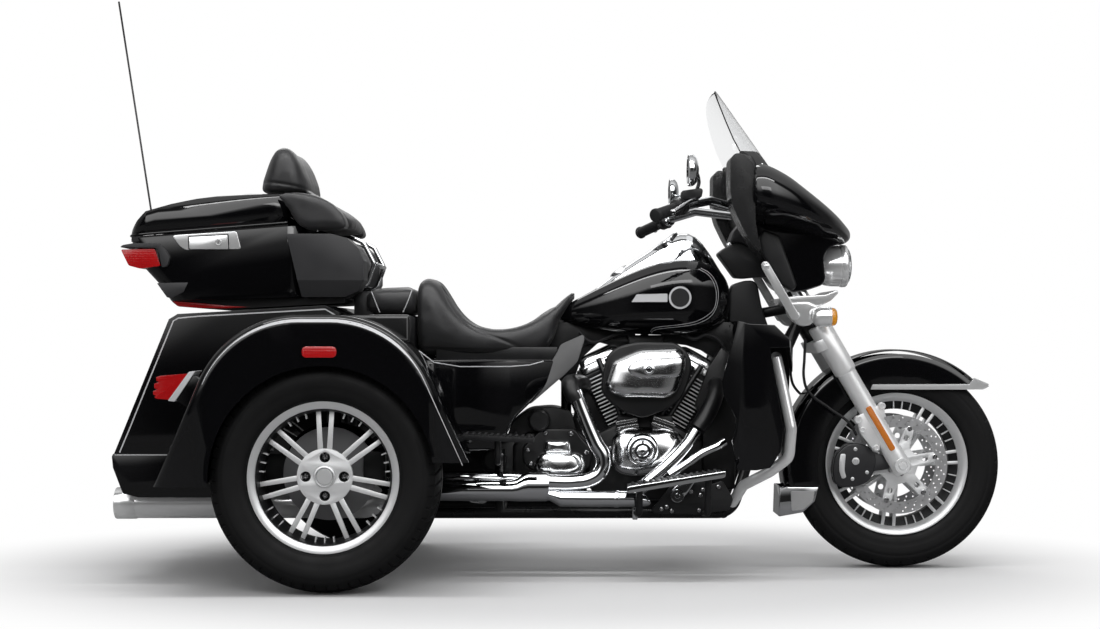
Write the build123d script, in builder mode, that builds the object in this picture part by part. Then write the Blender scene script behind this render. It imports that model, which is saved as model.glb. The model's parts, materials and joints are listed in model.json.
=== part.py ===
"""Three-wheeled touring motorcycle, full size, in millimetres.

Frame: +X forward, +Y to the rider's left, +Z up. The origin lies on the ground, midway between the
foremost and the rearmost point. Each piece is a solid of its own, written to parts/NAME.step.
"""
from build123d import *
from math import cos, radians, sin, tan
import os

os.makedirs("parts", exist_ok=True)

# ---------------------------------------------------------------- driving sizes
WHEELBASE = 1680.0
FRONT_AXLE_X = 1060.0
REAR_AXLE_X = FRONT_AXLE_X - WHEELBASE
FRONT_TYRE_R = 318.0
FRONT_TYRE_W = 130.0
FRONT_RIM_R = 203.0
REAR_TYRE_R = 322.0
REAR_TYRE_W = 205.0
REAR_RIM_R = 190.5
REAR_TRACK = 1104.0
SEAT_GAP = 0.3          # play between pieces that seat on each other
RUN_GAP = 0.3           # radial play of a shaft in its hub
MOVE_GAP = 6.0          # clear space round a piece that moves
RAKE = 26.0             # steering axis from the vertical, degrees
TRAIL = 99.0
FORK_MEET_Z = 903.0     # height at which the fork legs' line meets the steering axis
TYRE_SIDE_GAP = 15.5    # between a rear tyre and the body beside it
HALF_TRACK = REAR_TRACK / 2
BODY_HALF = HALF_TRACK - REAR_TYRE_W / 2 - TYRE_SIDE_GAP

# ---------------------------------------------------------------- helpers


def written(piece, name):
    """Labels a finished sub-part and writes it."""
    piece.label = name
    export_step(piece, f"parts/{name}.step")


def side_plane(y):
    """A plane across the vehicle at y: local x is +X, local y is +Z, and it faces the right side (-Y)."""
    return Plane(origin=(0, y, 0), x_dir=(1, 0, 0), z_dir=(0, -1, 0))


def cross_plane(x, z=0.0):
    """A plane square to the length at x: local x is +Y, local y is +Z."""
    return Plane(origin=(x, 0, z), x_dir=(0, 1, 0), z_dir=(1, 0, 0))


def add_slab(points, y_out, y_in, mode=Mode.ADD):
    """A side-view polygon, extruded across the vehicle from y_out (nearer the right side) to y_in."""
    with BuildSketch(side_plane(y_in)) as outline:
        Polygon(*points, align=None)
    extrude(outline.sketch, amount=y_in - y_out, mode=mode)


def add_tube(points, radius, bend, mode=Mode.ADD):
    """A round bar along straight runs with tangent bends."""
    with BuildLine() as route:
        if len(points) > 2:
            FilletPolyline(*points, radius=bend)
        else:
            Line(*points)
    with BuildSketch(Plane(origin=route.line @ 0, z_dir=route.line % 0)) as ring:
        Circle(radius)
    sweep(sections=ring.sketch, path=route.line, mode=mode)


def add_bar(start, end, radius, mode=Mode.ADD):
    """A straight round bar between two points."""
    span = Vector(*end) - Vector(*start)
    with BuildSketch(Plane(origin=start, z_dir=span)) as ring:
        Circle(radius)
    extrude(ring.sketch, amount=span.length, mode=mode)


def add_sections(rows, mode=Mode.ADD, ruled=False):
    """A body lofted along X. Row columns: x, half width, low z, high z, corner radius."""
    faces = []
    for x, half, low, high, corner in rows:
        with BuildSketch(cross_plane(x, (low + high) / 2)) as section:
            RectangleRounded(2 * half, high - low, corner)
        faces.append(section.sketch)
    loft(faces, ruled=ruled, mode=mode)


# ---------------------------------------------------------------- wheels
FLANGE_T = 6.0          # rim flange thickness
BARREL_T = 8.0          # rim barrel thickness
SPOKE_PAIRS = 7


def add_tyre(x, y, z, radius, width, rim_r, bead_half, flange_h):
    """A tyre as a ring with rounded walls and a gently crowned tread."""
    axle = Plane(origin=(x, y, z), x_dir=(0, 1, 0), z_dir=(1, 0, 0))
    inner = rim_r + SEAT_GAP
    over_flange = rim_r + flange_h + SEAT_GAP
    shoulder_half = width * 0.41
    shoulder_r = radius - width * 0.075
    wall_r = over_flange + 0.45 * (radius - over_flange)
    with BuildSketch(axle) as section:
        with BuildLine():
            bead_left = (-bead_half, over_flange)
            bead_right = (bead_half, over_flange)
            high_left = (-shoulder_half, shoulder_r)
            high_right = (shoulder_half, shoulder_r)
            Polyline(bead_left, (-bead_half, inner), (bead_half, inner), bead_right)
            ThreePointArc(bead_right, (width / 2, wall_r), high_right)
            ThreePointArc(high_right, (0, radius), high_left)
            ThreePointArc(high_left, (-width / 2, wall_r), bead_left)
        make_face()
    revolve(section.sketch, axis=Axis((x, y, z), (0, 1, 0)))


def add_rim(x, y, z, rim_r, flange_h, bead_half):
    """A rim channel: two flanges joined by a barrel."""
    axle = Plane(origin=(x, y, z), x_dir=(0, 1, 0), z_dir=(1, 0, 0))
    seat = bead_half + SEAT_GAP
    edge = seat + FLANGE_T
    flange_r = rim_r + flange_h
    with BuildSketch(axle) as section:
        Polygon(
            (-edge, rim_r - BARREL_T), (edge, rim_r - BARREL_T), (edge, flange_r), (seat, flange_r),
            (seat, rim_r), (-seat, rim_r), (-seat, flange_r), (-edge, flange_r), align=None,
        )
    revolve(section.sketch, axis=Axis((x, y, z), (0, 1, 0)))


def add_spokes(x, y_face, z, depth, root_r, tip_r, root_half, tip_half, spoke_w, turn):
    """Paired spokes with their outer face at y_face, towards the right side, and depth inwards."""
    face = Plane(origin=(x, y_face, z), x_dir=(1, 0, 0), z_dir=(0, -1, 0))
    with BuildSketch(face) as spokes:
        with PolarLocations(0, SPOKE_PAIRS, start_angle=turn):
            for side in (-1, 1):
                Polygon(
                    (root_r, side * root_half - spoke_w / 2), (tip_r, side * tip_half - spoke_w / 2),
                    (tip_r, side * tip_half + spoke_w / 2), (root_r, side * root_half + spoke_w / 2),
                    align=None,
                )
    extrude(spokes.sketch, amount=-depth)


def add_disc(x, y, z, radius, depth, hole_r=0.0, mode=Mode.ADD):
    """A round plate or drum whose axis lies along Y, from y towards +Y by depth."""
    with BuildSketch(Plane(origin=(x, y, z), x_dir=(1, 0, 0), z_dir=(0, 1, 0))) as disc:
        Circle(radius)
        if hole_r > 0:
            Circle(hole_r, mode=Mode.SUBTRACT)
    extrude(disc.sketch, amount=depth, mode=mode)


# Front wheel
FRONT_BEAD_HALF = 46.0
FRONT_FLANGE_H = 14.0
FRONT_HUB_R = 42.0
FRONT_HUB_HALF = 60.0
FRONT_SPOKE_DEPTH = 22.0
FRONT_SPOKE_HALF_Y = 30.0     # outer face of the spokes from the wheel's middle
AXLE_R = 12.5
FRONT_DISC_R = 150.0
FRONT_DISC_INNER_R = 114.0
FRONT_DISC_Y = 72.0           # middle of each disc
FRONT_DISC_T = 5.0

with BuildPart() as front_tyre:
    add_tyre(FRONT_AXLE_X, 0, FRONT_TYRE_R, FRONT_TYRE_R, FRONT_TYRE_W, FRONT_RIM_R, FRONT_BEAD_HALF,
             FRONT_FLANGE_H)
written(front_tyre.part, "front_tyre")

with BuildPart() as front_rim:
    add_rim(FRONT_AXLE_X, 0, FRONT_TYRE_R, FRONT_RIM_R, FRONT_FLANGE_H, FRONT_BEAD_HALF)
    for face_y in (-FRONT_SPOKE_HALF_Y, FRONT_SPOKE_HALF_Y - FRONT_SPOKE_DEPTH):
        add_spokes(FRONT_AXLE_X, face_y, FRONT_TYRE_R, FRONT_SPOKE_DEPTH, FRONT_HUB_R - 4,
                   FRONT_RIM_R - BARREL_T + 1, 17, 20, 12, 64)
    add_disc(FRONT_AXLE_X, -FRONT_HUB_HALF, FRONT_TYRE_R, FRONT_HUB_R, 2 * FRONT_HUB_HALF)
    add_disc(FRONT_AXLE_X, -FRONT_HUB_HALF, FRONT_TYRE_R, AXLE_R + RUN_GAP, 2 * FRONT_HUB_HALF,
             mode=Mode.SUBTRACT)
written(front_rim.part, "front_rim")

CARRIER_ARMS = 6
with BuildPart() as front_discs:
    for side in (-1, 1):
        y_face = side * FRONT_DISC_Y - FRONT_DISC_T / 2
        add_disc(FRONT_AXLE_X, y_face, FRONT_TYRE_R, FRONT_DISC_R, FRONT_DISC_T, FRONT_DISC_INNER_R)
        add_disc(FRONT_AXLE_X, y_face, FRONT_TYRE_R, FRONT_HUB_R + 14, FRONT_DISC_T, AXLE_R + RUN_GAP)
        arms = Plane(origin=(FRONT_AXLE_X, y_face, FRONT_TYRE_R), x_dir=(1, 0, 0), z_dir=(0, 1, 0))
        with BuildSketch(arms) as carrier:
            with PolarLocations((FRONT_HUB_R + FRONT_DISC_INNER_R) / 2 + 6, CARRIER_ARMS):
                Rectangle(FRONT_DISC_INNER_R - FRONT_HUB_R, 20)
        extrude(carrier.sketch, amount=FRONT_DISC_T)
        hub_end = FRONT_HUB_HALF + SEAT_GAP
        near = side * FRONT_DISC_Y - side * FRONT_DISC_T / 2
        add_disc(FRONT_AXLE_X, min(side * hub_end, near), FRONT_TYRE_R, FRONT_HUB_R,
                 abs(abs(near) - hub_end), AXLE_R + RUN_GAP)
written(front_discs.part, "front_discs")

# Rear wheels. The outer side is the one that faces away from the vehicle.
REAR_BEAD_HALF = 74.0
REAR_FLANGE_H = 18.0
REAR_HUB_FACE_R = 76.0
REAR_FACE_INSET = 42.0        # spoke faces behind the rim's outer edge
REAR_SPOKE_DEPTH = 20.0
REAR_HUB_R = 52.0
REAR_DISC_R = 131.0
REAR_DISC_T = 8.0
REAR_DISC_INSET = 150.0       # disc's outer face behind the rim's outer edge
STUB_R = 18.0
REAR_EDGE = REAR_BEAD_HALF + SEAT_GAP + FLANGE_T
LUG_CIRCLE_R = 54.0
LUG_HOLE_R = 11.0
LUG_COUNT = 4
CAP_R = 30.0

for side, hand in ((-1, "right"), (1, "left")):
    with BuildPart() as rear_tyre:
        add_tyre(REAR_AXLE_X, side * HALF_TRACK, REAR_TYRE_R, REAR_TYRE_R, REAR_TYRE_W, REAR_RIM_R,
                 REAR_BEAD_HALF, REAR_FLANGE_H)
    written(rear_tyre.part, f"rear_tyre_{hand}")

    rim_edge = side * (HALF_TRACK + REAR_EDGE)
    with BuildPart() as rear_rim:
        add_rim(REAR_AXLE_X, side * HALF_TRACK, REAR_TYRE_R, REAR_RIM_R, REAR_FLANGE_H, REAR_BEAD_HALF)
        outer_face = rim_edge - side * REAR_FACE_INSET
        inner_face = outer_face - side * REAR_SPOKE_DEPTH
        right_face = min(outer_face, inner_face)
        add_spokes(REAR_AXLE_X, right_face, REAR_TYRE_R, REAR_SPOKE_DEPTH, REAR_HUB_FACE_R - 16,
                   REAR_RIM_R - BARREL_T + 1, 14, 19.5, 13, 90)
        add_disc(REAR_AXLE_X, right_face, REAR_TYRE_R, REAR_HUB_FACE_R, REAR_SPOKE_DEPTH)
        disc_outer = rim_edge - side * REAR_DISC_INSET
        disc_inner = disc_outer - side * REAR_DISC_T
        add_disc(REAR_AXLE_X, min(disc_outer, disc_inner), REAR_TYRE_R, REAR_DISC_R, REAR_DISC_T)
        hub_y = sorted((outer_face - side * 2, disc_inner))
        add_disc(REAR_AXLE_X, hub_y[0], REAR_TYRE_R, REAR_HUB_R, hub_y[1] - hub_y[0])
        cap_y = sorted((outer_face + side * 12, outer_face))
        add_disc(REAR_AXLE_X, cap_y[0], REAR_TYRE_R, CAP_R, cap_y[1] - cap_y[0])
        bolts = Plane(origin=(REAR_AXLE_X, outer_face, REAR_TYRE_R), x_dir=(1, 0, 0), z_dir=(0, side, 0))
        with BuildSketch(bolts) as lugs:
            with PolarLocations(LUG_CIRCLE_R, LUG_COUNT):
                Circle(LUG_HOLE_R)
        extrude(lugs.sketch, amount=-14, mode=Mode.SUBTRACT)
        stub_y = sorted((outer_face - side * 30, disc_inner))
        add_disc(REAR_AXLE_X, stub_y[0], REAR_TYRE_R, STUB_R + RUN_GAP, stub_y[1] - stub_y[0],
                 mode=Mode.SUBTRACT)
    written(rear_rim.part, f"rear_rim_{hand}")

# Rear axle: a differential housing, two tubes, and a stub into each hub; calipers on brackets
AXLE_TUBE_R = 38.0
DIFF_R = 47.0
DISC_INNER_Y = HALF_TRACK + REAR_EDGE - REAR_DISC_INSET - REAR_DISC_T
HOUSING_END = DISC_INNER_Y - MOVE_GAP
STUB_END = HALF_TRACK + REAR_EDGE - REAR_FACE_INSET - 32
CALIPER_IN_R = 96.0
CALIPER_OUT_R = 156.0
with BuildPart() as rear_axle:
    add_disc(REAR_AXLE_X, -HOUSING_END, REAR_TYRE_R, AXLE_TUBE_R, 2 * HOUSING_END)
    add_disc(REAR_AXLE_X, -STUB_END, REAR_TYRE_R, STUB_R, 2 * STUB_END)
    add_disc(REAR_AXLE_X, -90, REAR_TYRE_R, DIFF_R, 180)
    for side in (-1, 1):
        plate_y = sorted((side * HOUSING_END, side * (HOUSING_END - 14)))
        add_disc(REAR_AXLE_X, plate_y[0], REAR_TYRE_R, 70, 14)
        middle = Plane(origin=(REAR_AXLE_X, side * (DISC_INNER_Y + REAR_DISC_T / 2), REAR_TYRE_R),
                       x_dir=(1, 0, 0), z_dir=(0, -1, 0))
        with BuildSketch(middle) as caliper:
            with Locations((127, 20)):
                Rectangle(CALIPER_OUT_R - CALIPER_IN_R, 84)
        extrude(caliper.sketch, amount=26, both=True)
        with BuildSketch(middle) as slot:
            Circle(REAR_DISC_R + MOVE_GAP)
        extrude(slot.sketch, amount=REAR_DISC_T / 2 + MOVE_GAP, both=True, mode=Mode.SUBTRACT)
        add_slab([(REAR_AXLE_X, REAR_TYRE_R - 30), (REAR_AXLE_X + 120, REAR_TYRE_R - 10),
                  (REAR_AXLE_X + 120, REAR_TYRE_R + 50), (REAR_AXLE_X, REAR_TYRE_R + 40)], plate_y[0], plate_y[1])
    add_disc(REAR_AXLE_X, -STUB_END, REAR_TYRE_R, STUB_R, 2 * STUB_END)
written(rear_axle.part, "rear_axle")

# ---------------------------------------------------------------- steering geometry
AXIS_FOOT_X = FRONT_AXLE_X + TRAIL
FORK_LEAN = (FRONT_AXLE_X - AXIS_FOOT_X + FORK_MEET_Z * tan(radians(RAKE))) / (FORK_MEET_Z - FRONT_TYRE_R)
AXIS_DIR = Vector(-sin(radians(RAKE)), 0, cos(radians(RAKE)))
AXIS_ACROSS = Vector(cos(radians(RAKE)), 0, sin(radians(RAKE)))
HEAD_LOW_Z = 700.0
HEAD_LENGTH = 170.0
HEAD_R = 32.0
STEM_R = 14.0
STEM_PLAY = 0.1
HEADSET_GAP = 1.0
YOKE_T = 34.0
FORK_Y = 112.0
FORK_TUBE_R = 22.0
SLIDER_R = 30.0
SLIDER_TOP_Z = 600.0
COVER_R = 31.0


def axis_point(along, across=0.0, y=0.0):
    """A point measured along the steering axis from the foot of the head tube."""
    foot = Vector(AXIS_FOOT_X - HEAD_LOW_Z * tan(radians(RAKE)), 0, HEAD_LOW_Z)
    return foot + AXIS_DIR * along + AXIS_ACROSS * across + Vector(0, y, 0)


def fork_point(z, y=0.0):
    """A point on the fork legs' line at height z."""
    return Vector(FRONT_AXLE_X - (z - FRONT_TYRE_R) * FORK_LEAN, y, z)


def add_yoke(start, across_low, across_high):
    """A yoke plate square to the steering axis, bored for both fork tubes."""
    centre = axis_point(start, (across_low + across_high) / 2)
    plate = Plane(origin=centre, x_dir=AXIS_ACROSS, z_dir=AXIS_DIR)
    with BuildSketch(plate) as outline:
        RectangleRounded(across_high - across_low, 2 * (FORK_Y + FORK_TUBE_R + 10), 24)
    extrude(outline.sketch, amount=YOKE_T)
    for side in (-1, 1):
        add_bar(fork_point(FORK_BOTTOM_Z, side * FORK_Y), fork_point(FORK_TOP_Z, side * FORK_Y),
                FORK_TUBE_R + SEAT_GAP, mode=Mode.SUBTRACT)


FORK_BOTTOM_Z = FRONT_TYRE_R - 18.0
FORK_TOP_Z = 905.0
YOKE_LOW_START = -HEADSET_GAP - YOKE_T
YOKE_TOP_START = HEAD_LENGTH + HEADSET_GAP
YOKE_TOP_END = YOKE_TOP_START + YOKE_T

with BuildPart() as fork_yokes:
    add_yoke(YOKE_LOW_START, -30, 50)
    add_yoke(YOKE_TOP_START, -32, 40)
    add_bar(axis_point(YOKE_LOW_START + 10), axis_point(YOKE_TOP_END - 10), STEM_R)
written(fork_yokes.part, "fork_yokes")

with BuildPart() as fork_legs:
    for side in (-1, 1):
        add_bar(fork_point(FORK_BOTTOM_Z, side * FORK_Y), fork_point(FORK_TOP_Z, side * FORK_Y),
                FORK_TUBE_R)
        add_bar(fork_point(FORK_BOTTOM_Z, side * FORK_Y), fork_point(SLIDER_TOP_Z, side * FORK_Y),
                SLIDER_R)
        add_bar(fork_point(735, side * FORK_Y), fork_point(828, side * FORK_Y), COVER_R)
    add_disc(FRONT_AXLE_X, -FORK_Y - SLIDER_R - 4, FRONT_TYRE_R, AXLE_R,
             2 * (FORK_Y + SLIDER_R + 4))
written(fork_legs.part, "fork_legs")

# ---------------------------------------------------------------- front fender
FENDER_HALF = 75.0
FENDER_WALL = 5.0
FENDER_R = FRONT_TYRE_R + 32.0
FENDER_SKIRT_R = 244.0
FENDER_CUT_Z = 557.0
FENDER_REAR_X = 701.0
FENDER_REAR_Z = 249.0


def on_wheel(radius, angle):
    """A side-view point at a radius and angle about the front axle."""
    return (FRONT_AXLE_X + radius * cos(radians(angle)), FRONT_TYRE_R + radius * sin(radians(angle)))


CROWN_ROUND = 30.0
SKIRT_LEAN = 6.0
with BuildPart() as front_fender:
    with BuildSketch(Plane(origin=(FRONT_AXLE_X, 0, FRONT_TYRE_R), x_dir=(0, 1, 0), z_dir=(1, 0, 0))) as ring:
        with Locations((0, (FENDER_SKIRT_R + FENDER_R) / 2)):
            Rectangle(2 * FENDER_HALF, FENDER_R - FENDER_SKIRT_R)
        fillet(ring.vertices().group_by(Axis.Y)[-1], CROWN_ROUND)
        with Locations((0, (FENDER_SKIRT_R + FENDER_R) / 2 - FENDER_WALL)):
            Rectangle(2 * (FENDER_HALF - FENDER_WALL), FENDER_R - FENDER_SKIRT_R, mode=Mode.SUBTRACT)
    revolve(ring.sketch, axis=Axis((FRONT_AXLE_X, 0, FRONT_TYRE_R), (0, 1, 0)))
    with BuildSketch(side_plane(FENDER_HALF + 1)) as kept:
        Polygon(
            (FRONT_AXLE_X + 300, FENDER_CUT_Z), (FRONT_AXLE_X + 300, 720), (600, 720),
            (600, FENDER_REAR_Z), (860, FENDER_REAR_Z), (FRONT_AXLE_X - 75, FENDER_CUT_Z), align=None,
        )
    extrude(kept.sketch, amount=2 * FENDER_HALF + 2, mode=Mode.INTERSECT)
    for side in (-1, 1):
        stay = fork_point(500)
        lug_y = sorted((side * (FENDER_HALF - 1), side * (FORK_Y - SLIDER_R - 0.1)))
        add_slab([(stay.X - 18, 470), (stay.X + 18, 470), (stay.X + 18, 530), (stay.X - 18, 530)],
                 lug_y[0], lug_y[1])
written(front_fender.part, "front_fender")

with BuildPart() as fender_flap:
    flap_top = FENDER_REAR_Z - SEAT_GAP
    add_slab([(700, flap_top), (818, flap_top), (806, 205), (770, 172), (697, 159)], -FENDER_HALF, FENDER_HALF)
    with BuildSketch(side_plane(FENDER_HALF - FENDER_WALL)) as inside:
        with Locations((FENDER_REAR_X + FENDER_WALL + 100, 200)):
            Rectangle(200, 200)
    extrude(inside.sketch, amount=2 * (FENDER_HALF - FENDER_WALL), mode=Mode.SUBTRACT)
written(fender_flap.part, "fender_flap")

# ---------------------------------------------------------------- front calipers
with BuildPart() as front_calipers:
    for side in (-1, 1):
        inner_y = side * 58
        outer_y = side * 104
        low_y, high_y = sorted((inner_y, outer_y))
        add_slab([(862, 262), (960, 256), (968, 372), (880, 380), (856, 340)], low_y, high_y)
        arm_y = sorted((side * 84, side * 100))
        add_slab([(960, 300), (1042, 300), (1042, 350), (960, 362)], arm_y[0], arm_y[1])
        add_disc(FRONT_AXLE_X, side * FRONT_DISC_Y - FRONT_DISC_T / 2 - MOVE_GAP, FRONT_TYRE_R,
                 FRONT_DISC_R + MOVE_GAP, FRONT_DISC_T + 2 * MOVE_GAP, mode=Mode.SUBTRACT)
        add_bar(fork_point(FORK_BOTTOM_Z - 60, side * FORK_Y), fork_point(SLIDER_TOP_Z, side * FORK_Y),
                SLIDER_R + SEAT_GAP, mode=Mode.SUBTRACT)
written(front_calipers.part, "front_calipers")

# ---------------------------------------------------------------- fairing, shield, lamps
FAIRING_WALL = 6.0
LAMP_BACK_X = 848.7
LAMP_Z = 925.0
LAMP_R = 65.0
FAIRING_ROWS = (
    # x, half width, low z, high z, corner
    (556, 322, 1080, 1272, 60),
    (640, 326, 1042, 1236, 66),
    (740, 285, 992, 1166, 70),
    (840, 190, 966, 1094, 52),
    (915, 80, 1000, 1052, 20),
)
with BuildPart() as fairing:
    add_sections(FAIRING_ROWS)
    add_slab([(765, 922), (LAMP_BACK_X, 872), (LAMP_BACK_X, 1010), (765, 1010)], -104, 104)
    add_sections([(x - 2 * (i == 0) - 6 * (i == 4), half - FAIRING_WALL, low + FAIRING_WALL, high - FAIRING_WALL,
                   corner - FAIRING_WALL) for i, (x, half, low, high, corner) in enumerate(FAIRING_ROWS)],
                 mode=Mode.SUBTRACT)
    add_slab([(540, 1030), (725, 960), (725, 1060), (540, 1110)], -190, 190, mode=Mode.SUBTRACT)
    add_bar((LAMP_BACK_X, 0, LAMP_Z), (LAMP_BACK_X + 120, 0, LAMP_Z), LAMP_R + 1, mode=Mode.SUBTRACT)
written(fairing.part, "fairing")

with BuildPart() as dash_panel:
    add_slab([(578, 1124), (604, 1124), (604, 1216), (590, 1240), (560, 1240)], -300, 300)
written(dash_panel.part, "dash_panel")

SHIELD_T = 4.0
SHIELD_ROWS = (
    # z, x at the sides, half width, x in the middle
    (1200, 600, 256, 694),
    (1466, 494, 214, 510),
)
with BuildPart() as windshield:
    for z, side_x, half, mid_x in SHIELD_ROWS:
        with BuildSketch(Plane.XY.offset(z)):
            with BuildLine():
                ThreePointArc((side_x, -half), (mid_x, 0), (side_x, half))
                Line((side_x, half), (side_x - SHIELD_T, half))
                ThreePointArc((side_x - SHIELD_T, half), (mid_x - SHIELD_T, 0), (side_x - SHIELD_T, -half))
                Line((side_x - SHIELD_T, -half), (side_x, -half))
            make_face()
    loft()
    with BuildSketch(cross_plane(760)) as front_view:
        with BuildLine():
            Polyline((-280, 1100), (280, 1100), (280, 1260), (228, 1400))
            ThreePointArc((228, 1400), (206, 1440), (160, 1456))
            ThreePointArc((160, 1456), (0, 1462), (-160, 1456))
            ThreePointArc((-160, 1456), (-206, 1440), (-228, 1400))
            Polyline((-228, 1400), (-280, 1260), (-280, 1100))
        make_face()
    extrude(front_view.sketch, amount=-320, mode=Mode.INTERSECT)
    add_sections([(x - 2 * (i == 0), half + SEAT_GAP, low, high + SEAT_GAP, corner + SEAT_GAP)
                  for i, (x, half, low, high, corner) in enumerate(FAIRING_ROWS)], mode=Mode.SUBTRACT)
written(windshield.part, "windshield")

with BuildPart() as headlamp:
    add_bar((LAMP_BACK_X + SEAT_GAP, 0, LAMP_Z), (915, 0, LAMP_Z), LAMP_R)
    add_bar((915, 0, LAMP_Z), (930, 0, LAMP_Z), LAMP_R - 6)
written(headlamp.part, "headlamp")

SIGNAL_Y = 190.0
SIGNAL_Z = 766.0
SIGNAL_R = 29.0
SIGNAL_FRONT_X = 847.0
with BuildPart() as signal_lamps:
    for side in (-1, 1):
        add_bar((784, side * SIGNAL_Y, SIGNAL_Z), (SIGNAL_FRONT_X, side * SIGNAL_Y, SIGNAL_Z), SIGNAL_R)
        add_bar((800, side * FORK_Y, SIGNAL_Z), (800, side * (SIGNAL_Y - 20), SIGNAL_Z), 9)
        add_bar(fork_point(FORK_BOTTOM_Z, side * FORK_Y), fork_point(FORK_TOP_Z, side * FORK_Y),
                COVER_R + SEAT_GAP, mode=Mode.SUBTRACT)
written(signal_lamps.part, "signal_lamps")

with BuildPart() as signal_lenses:
    for side in (-1, 1):
        front = SIGNAL_FRONT_X + SEAT_GAP
        add_bar((front, side * SIGNAL_Y, SIGNAL_Z), (front + 7, side * SIGNAL_Y, SIGNAL_Z), SIGNAL_R - 2)
written(signal_lenses.part, "signal_lenses")

# ---------------------------------------------------------------- handlebar
BAR_R = 14.0
GRIP_R = 17.5
BAR_ROUTE = ((302, 430, 1053), (385, 310, 1088), (470, 230, 1110), (600, 120, 1085), (690, 55, 935))
RIGHT_ROUTE = [(x, -y, z) for x, y, z in BAR_ROUTE]
BAR_POINTS = RIGHT_ROUTE + list(reversed(BAR_ROUTE))


def along(start, end, share):
    """A point part of the way from start to end."""
    return Vector(*start) + (Vector(*end) - Vector(*start)) * share


with BuildPart() as handlebar:
    add_tube(BAR_POINTS, BAR_R, 30)
    for side in (-1, 1):
        add_bar(axis_point(YOKE_TOP_END - 10, 0, side * 46), (688, side * 46, 936), 12)
    below = Plane(origin=axis_point(YOKE_TOP_END + SEAT_GAP), x_dir=AXIS_ACROSS, z_dir=AXIS_DIR)
    with BuildSketch(below) as seat_face:
        Rectangle(120, 200)
    extrude(seat_face.sketch, amount=-30, mode=Mode.SUBTRACT)
written(handlebar.part, "handlebar")

with BuildPart() as grips:
    for side in (-1, 1):
        end, inner = [(x, side * y, z) for x, y, z in BAR_ROUTE[:2]]
        add_bar(along(end, inner, -0.04), along(end, inner, 0.80), GRIP_R)
        add_bar(along(end, inner, 0.0), along(end, inner, 0.81), BAR_R + SEAT_GAP, mode=Mode.SUBTRACT)
written(grips.part, "grips")

with BuildPart() as hand_controls:
    for side in (-1, 1):
        end, inner = [(x, side * y, z) for x, y, z in BAR_ROUTE[:2]]
        elbow = (470, side * 230, 1110)
        add_bar(along(end, inner, 0.815), along(end, inner, 0.985), 25)
        add_bar(along(end, inner, 0.9) + Vector(16, 0, 10), (424, side * 322, 1104), 8)
        add_bar((424, side * 322, 1104), (352, side * 440, 1062), 6)
        add_bar(along(inner, elbow, 0.55), (430, side * 330, 1150), 5)
        add_bar((430, side * 330, 1150), (418, side * 400, 1180), 5)
        add_bar(along(end, inner, 0.0), along(end, inner, 1.0), BAR_R + SEAT_GAP, mode=Mode.SUBTRACT)
        add_bar(along(inner, elbow, -0.2), along(inner, elbow, 1.0), BAR_R + SEAT_GAP, mode=Mode.SUBTRACT)
written(hand_controls.part, "hand_controls")

with BuildPart() as mirrors:
    for side in (-1, 1):
        with BuildSketch(cross_plane(396)) as head:
            with Locations((side * 402, 1200)):
                RectangleRounded(132, 88, 34)
        extrude(head.sketch, amount=22)
        add_bar((418, side * 400, 1180), (430, side * 330, 1150), 6, mode=Mode.SUBTRACT)
written(mirrors.part, "mirrors")

# ---------------------------------------------------------------- frame
RAIL_Y = 150.0
RAIL_R = 16.0
RAIL_Z = 178.0
SPINE_R = 22.0
POST_X = 50.0
GEARBOX_TOP_Z = 420.0
UPRIGHT_X = -150.0
PANEL_LOW_Z = REAR_TYRE_R + DIFF_R + 3.0
with BuildPart() as chassis_frame:
    head_low = axis_point(0)
    head_high = axis_point(HEAD_LENGTH)
    add_bar(head_low, head_high, HEAD_R)
    for side in (-1, 1):
        rear_end = (REAR_AXLE_X + AXLE_TUBE_R + 40, side * RAIL_Y, REAR_TYRE_R - 20)
        add_tube([rear_end, (-400, side * RAIL_Y, RAIL_Z), (545, side * RAIL_Y, RAIL_Z),
                  (690, side * 72, 600), (775, side * 14, 768)], RAIL_R, 60)
        add_bar((UPRIGHT_X, side * RAIL_Y, RAIL_Z), (UPRIGHT_X, side * RAIL_Y, PANEL_LOW_Z - 2), RAIL_R)
        add_bar((REAR_AXLE_X, side * RAIL_Y, REAR_TYRE_R), rear_end, RAIL_R)
    for bar_x in (UPRIGHT_X, 520):
        add_bar((bar_x, -RAIL_Y, RAIL_Z), (bar_x, RAIL_Y, RAIL_Z), RAIL_R)
    add_tube([(766, 0, 800), (560, 0, 762), (POST_X, 0, 752), (POST_X, 0, GEARBOX_TOP_Z + SEAT_GAP)], RAIL_R, 24)
    add_bar(axis_point(-5), axis_point(HEAD_LENGTH + 5), STEM_R + STEM_PLAY, mode=Mode.SUBTRACT)
    add_disc(REAR_AXLE_X, -200, REAR_TYRE_R, AXLE_TUBE_R + SEAT_GAP, 400, mode=Mode.SUBTRACT)
written(chassis_frame.part, "frame")

# ---------------------------------------------------------------- engine
CRANK_X = 290.0
CRANK_Z = 350.0
CASE_HALF = 118.0
CYLINDERS = (
    # lean from the vertical towards the front
    -25.0,
    30.0,
)
DECK = 122.0
FIN_COUNT = 14
FIN_PITCH = 9.4
FIN_T = 3.4
FIN_HALF = 76.0
BORE_R = 60.0
HEAD_TOP = DECK + FIN_COUNT * FIN_PITCH + 40
ROCKER_TOP = HEAD_TOP + 48


def cylinder_plane(lean, height):
    """A plane square to a cylinder at a height above the crank: local x points forward."""
    across = (cos(radians(lean)), 0, -sin(radians(lean)))
    up = Vector(sin(radians(lean)), 0, cos(radians(lean)))
    return Plane(origin=Vector(CRANK_X, 0, CRANK_Z) + up * height, x_dir=across, z_dir=up)


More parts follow.
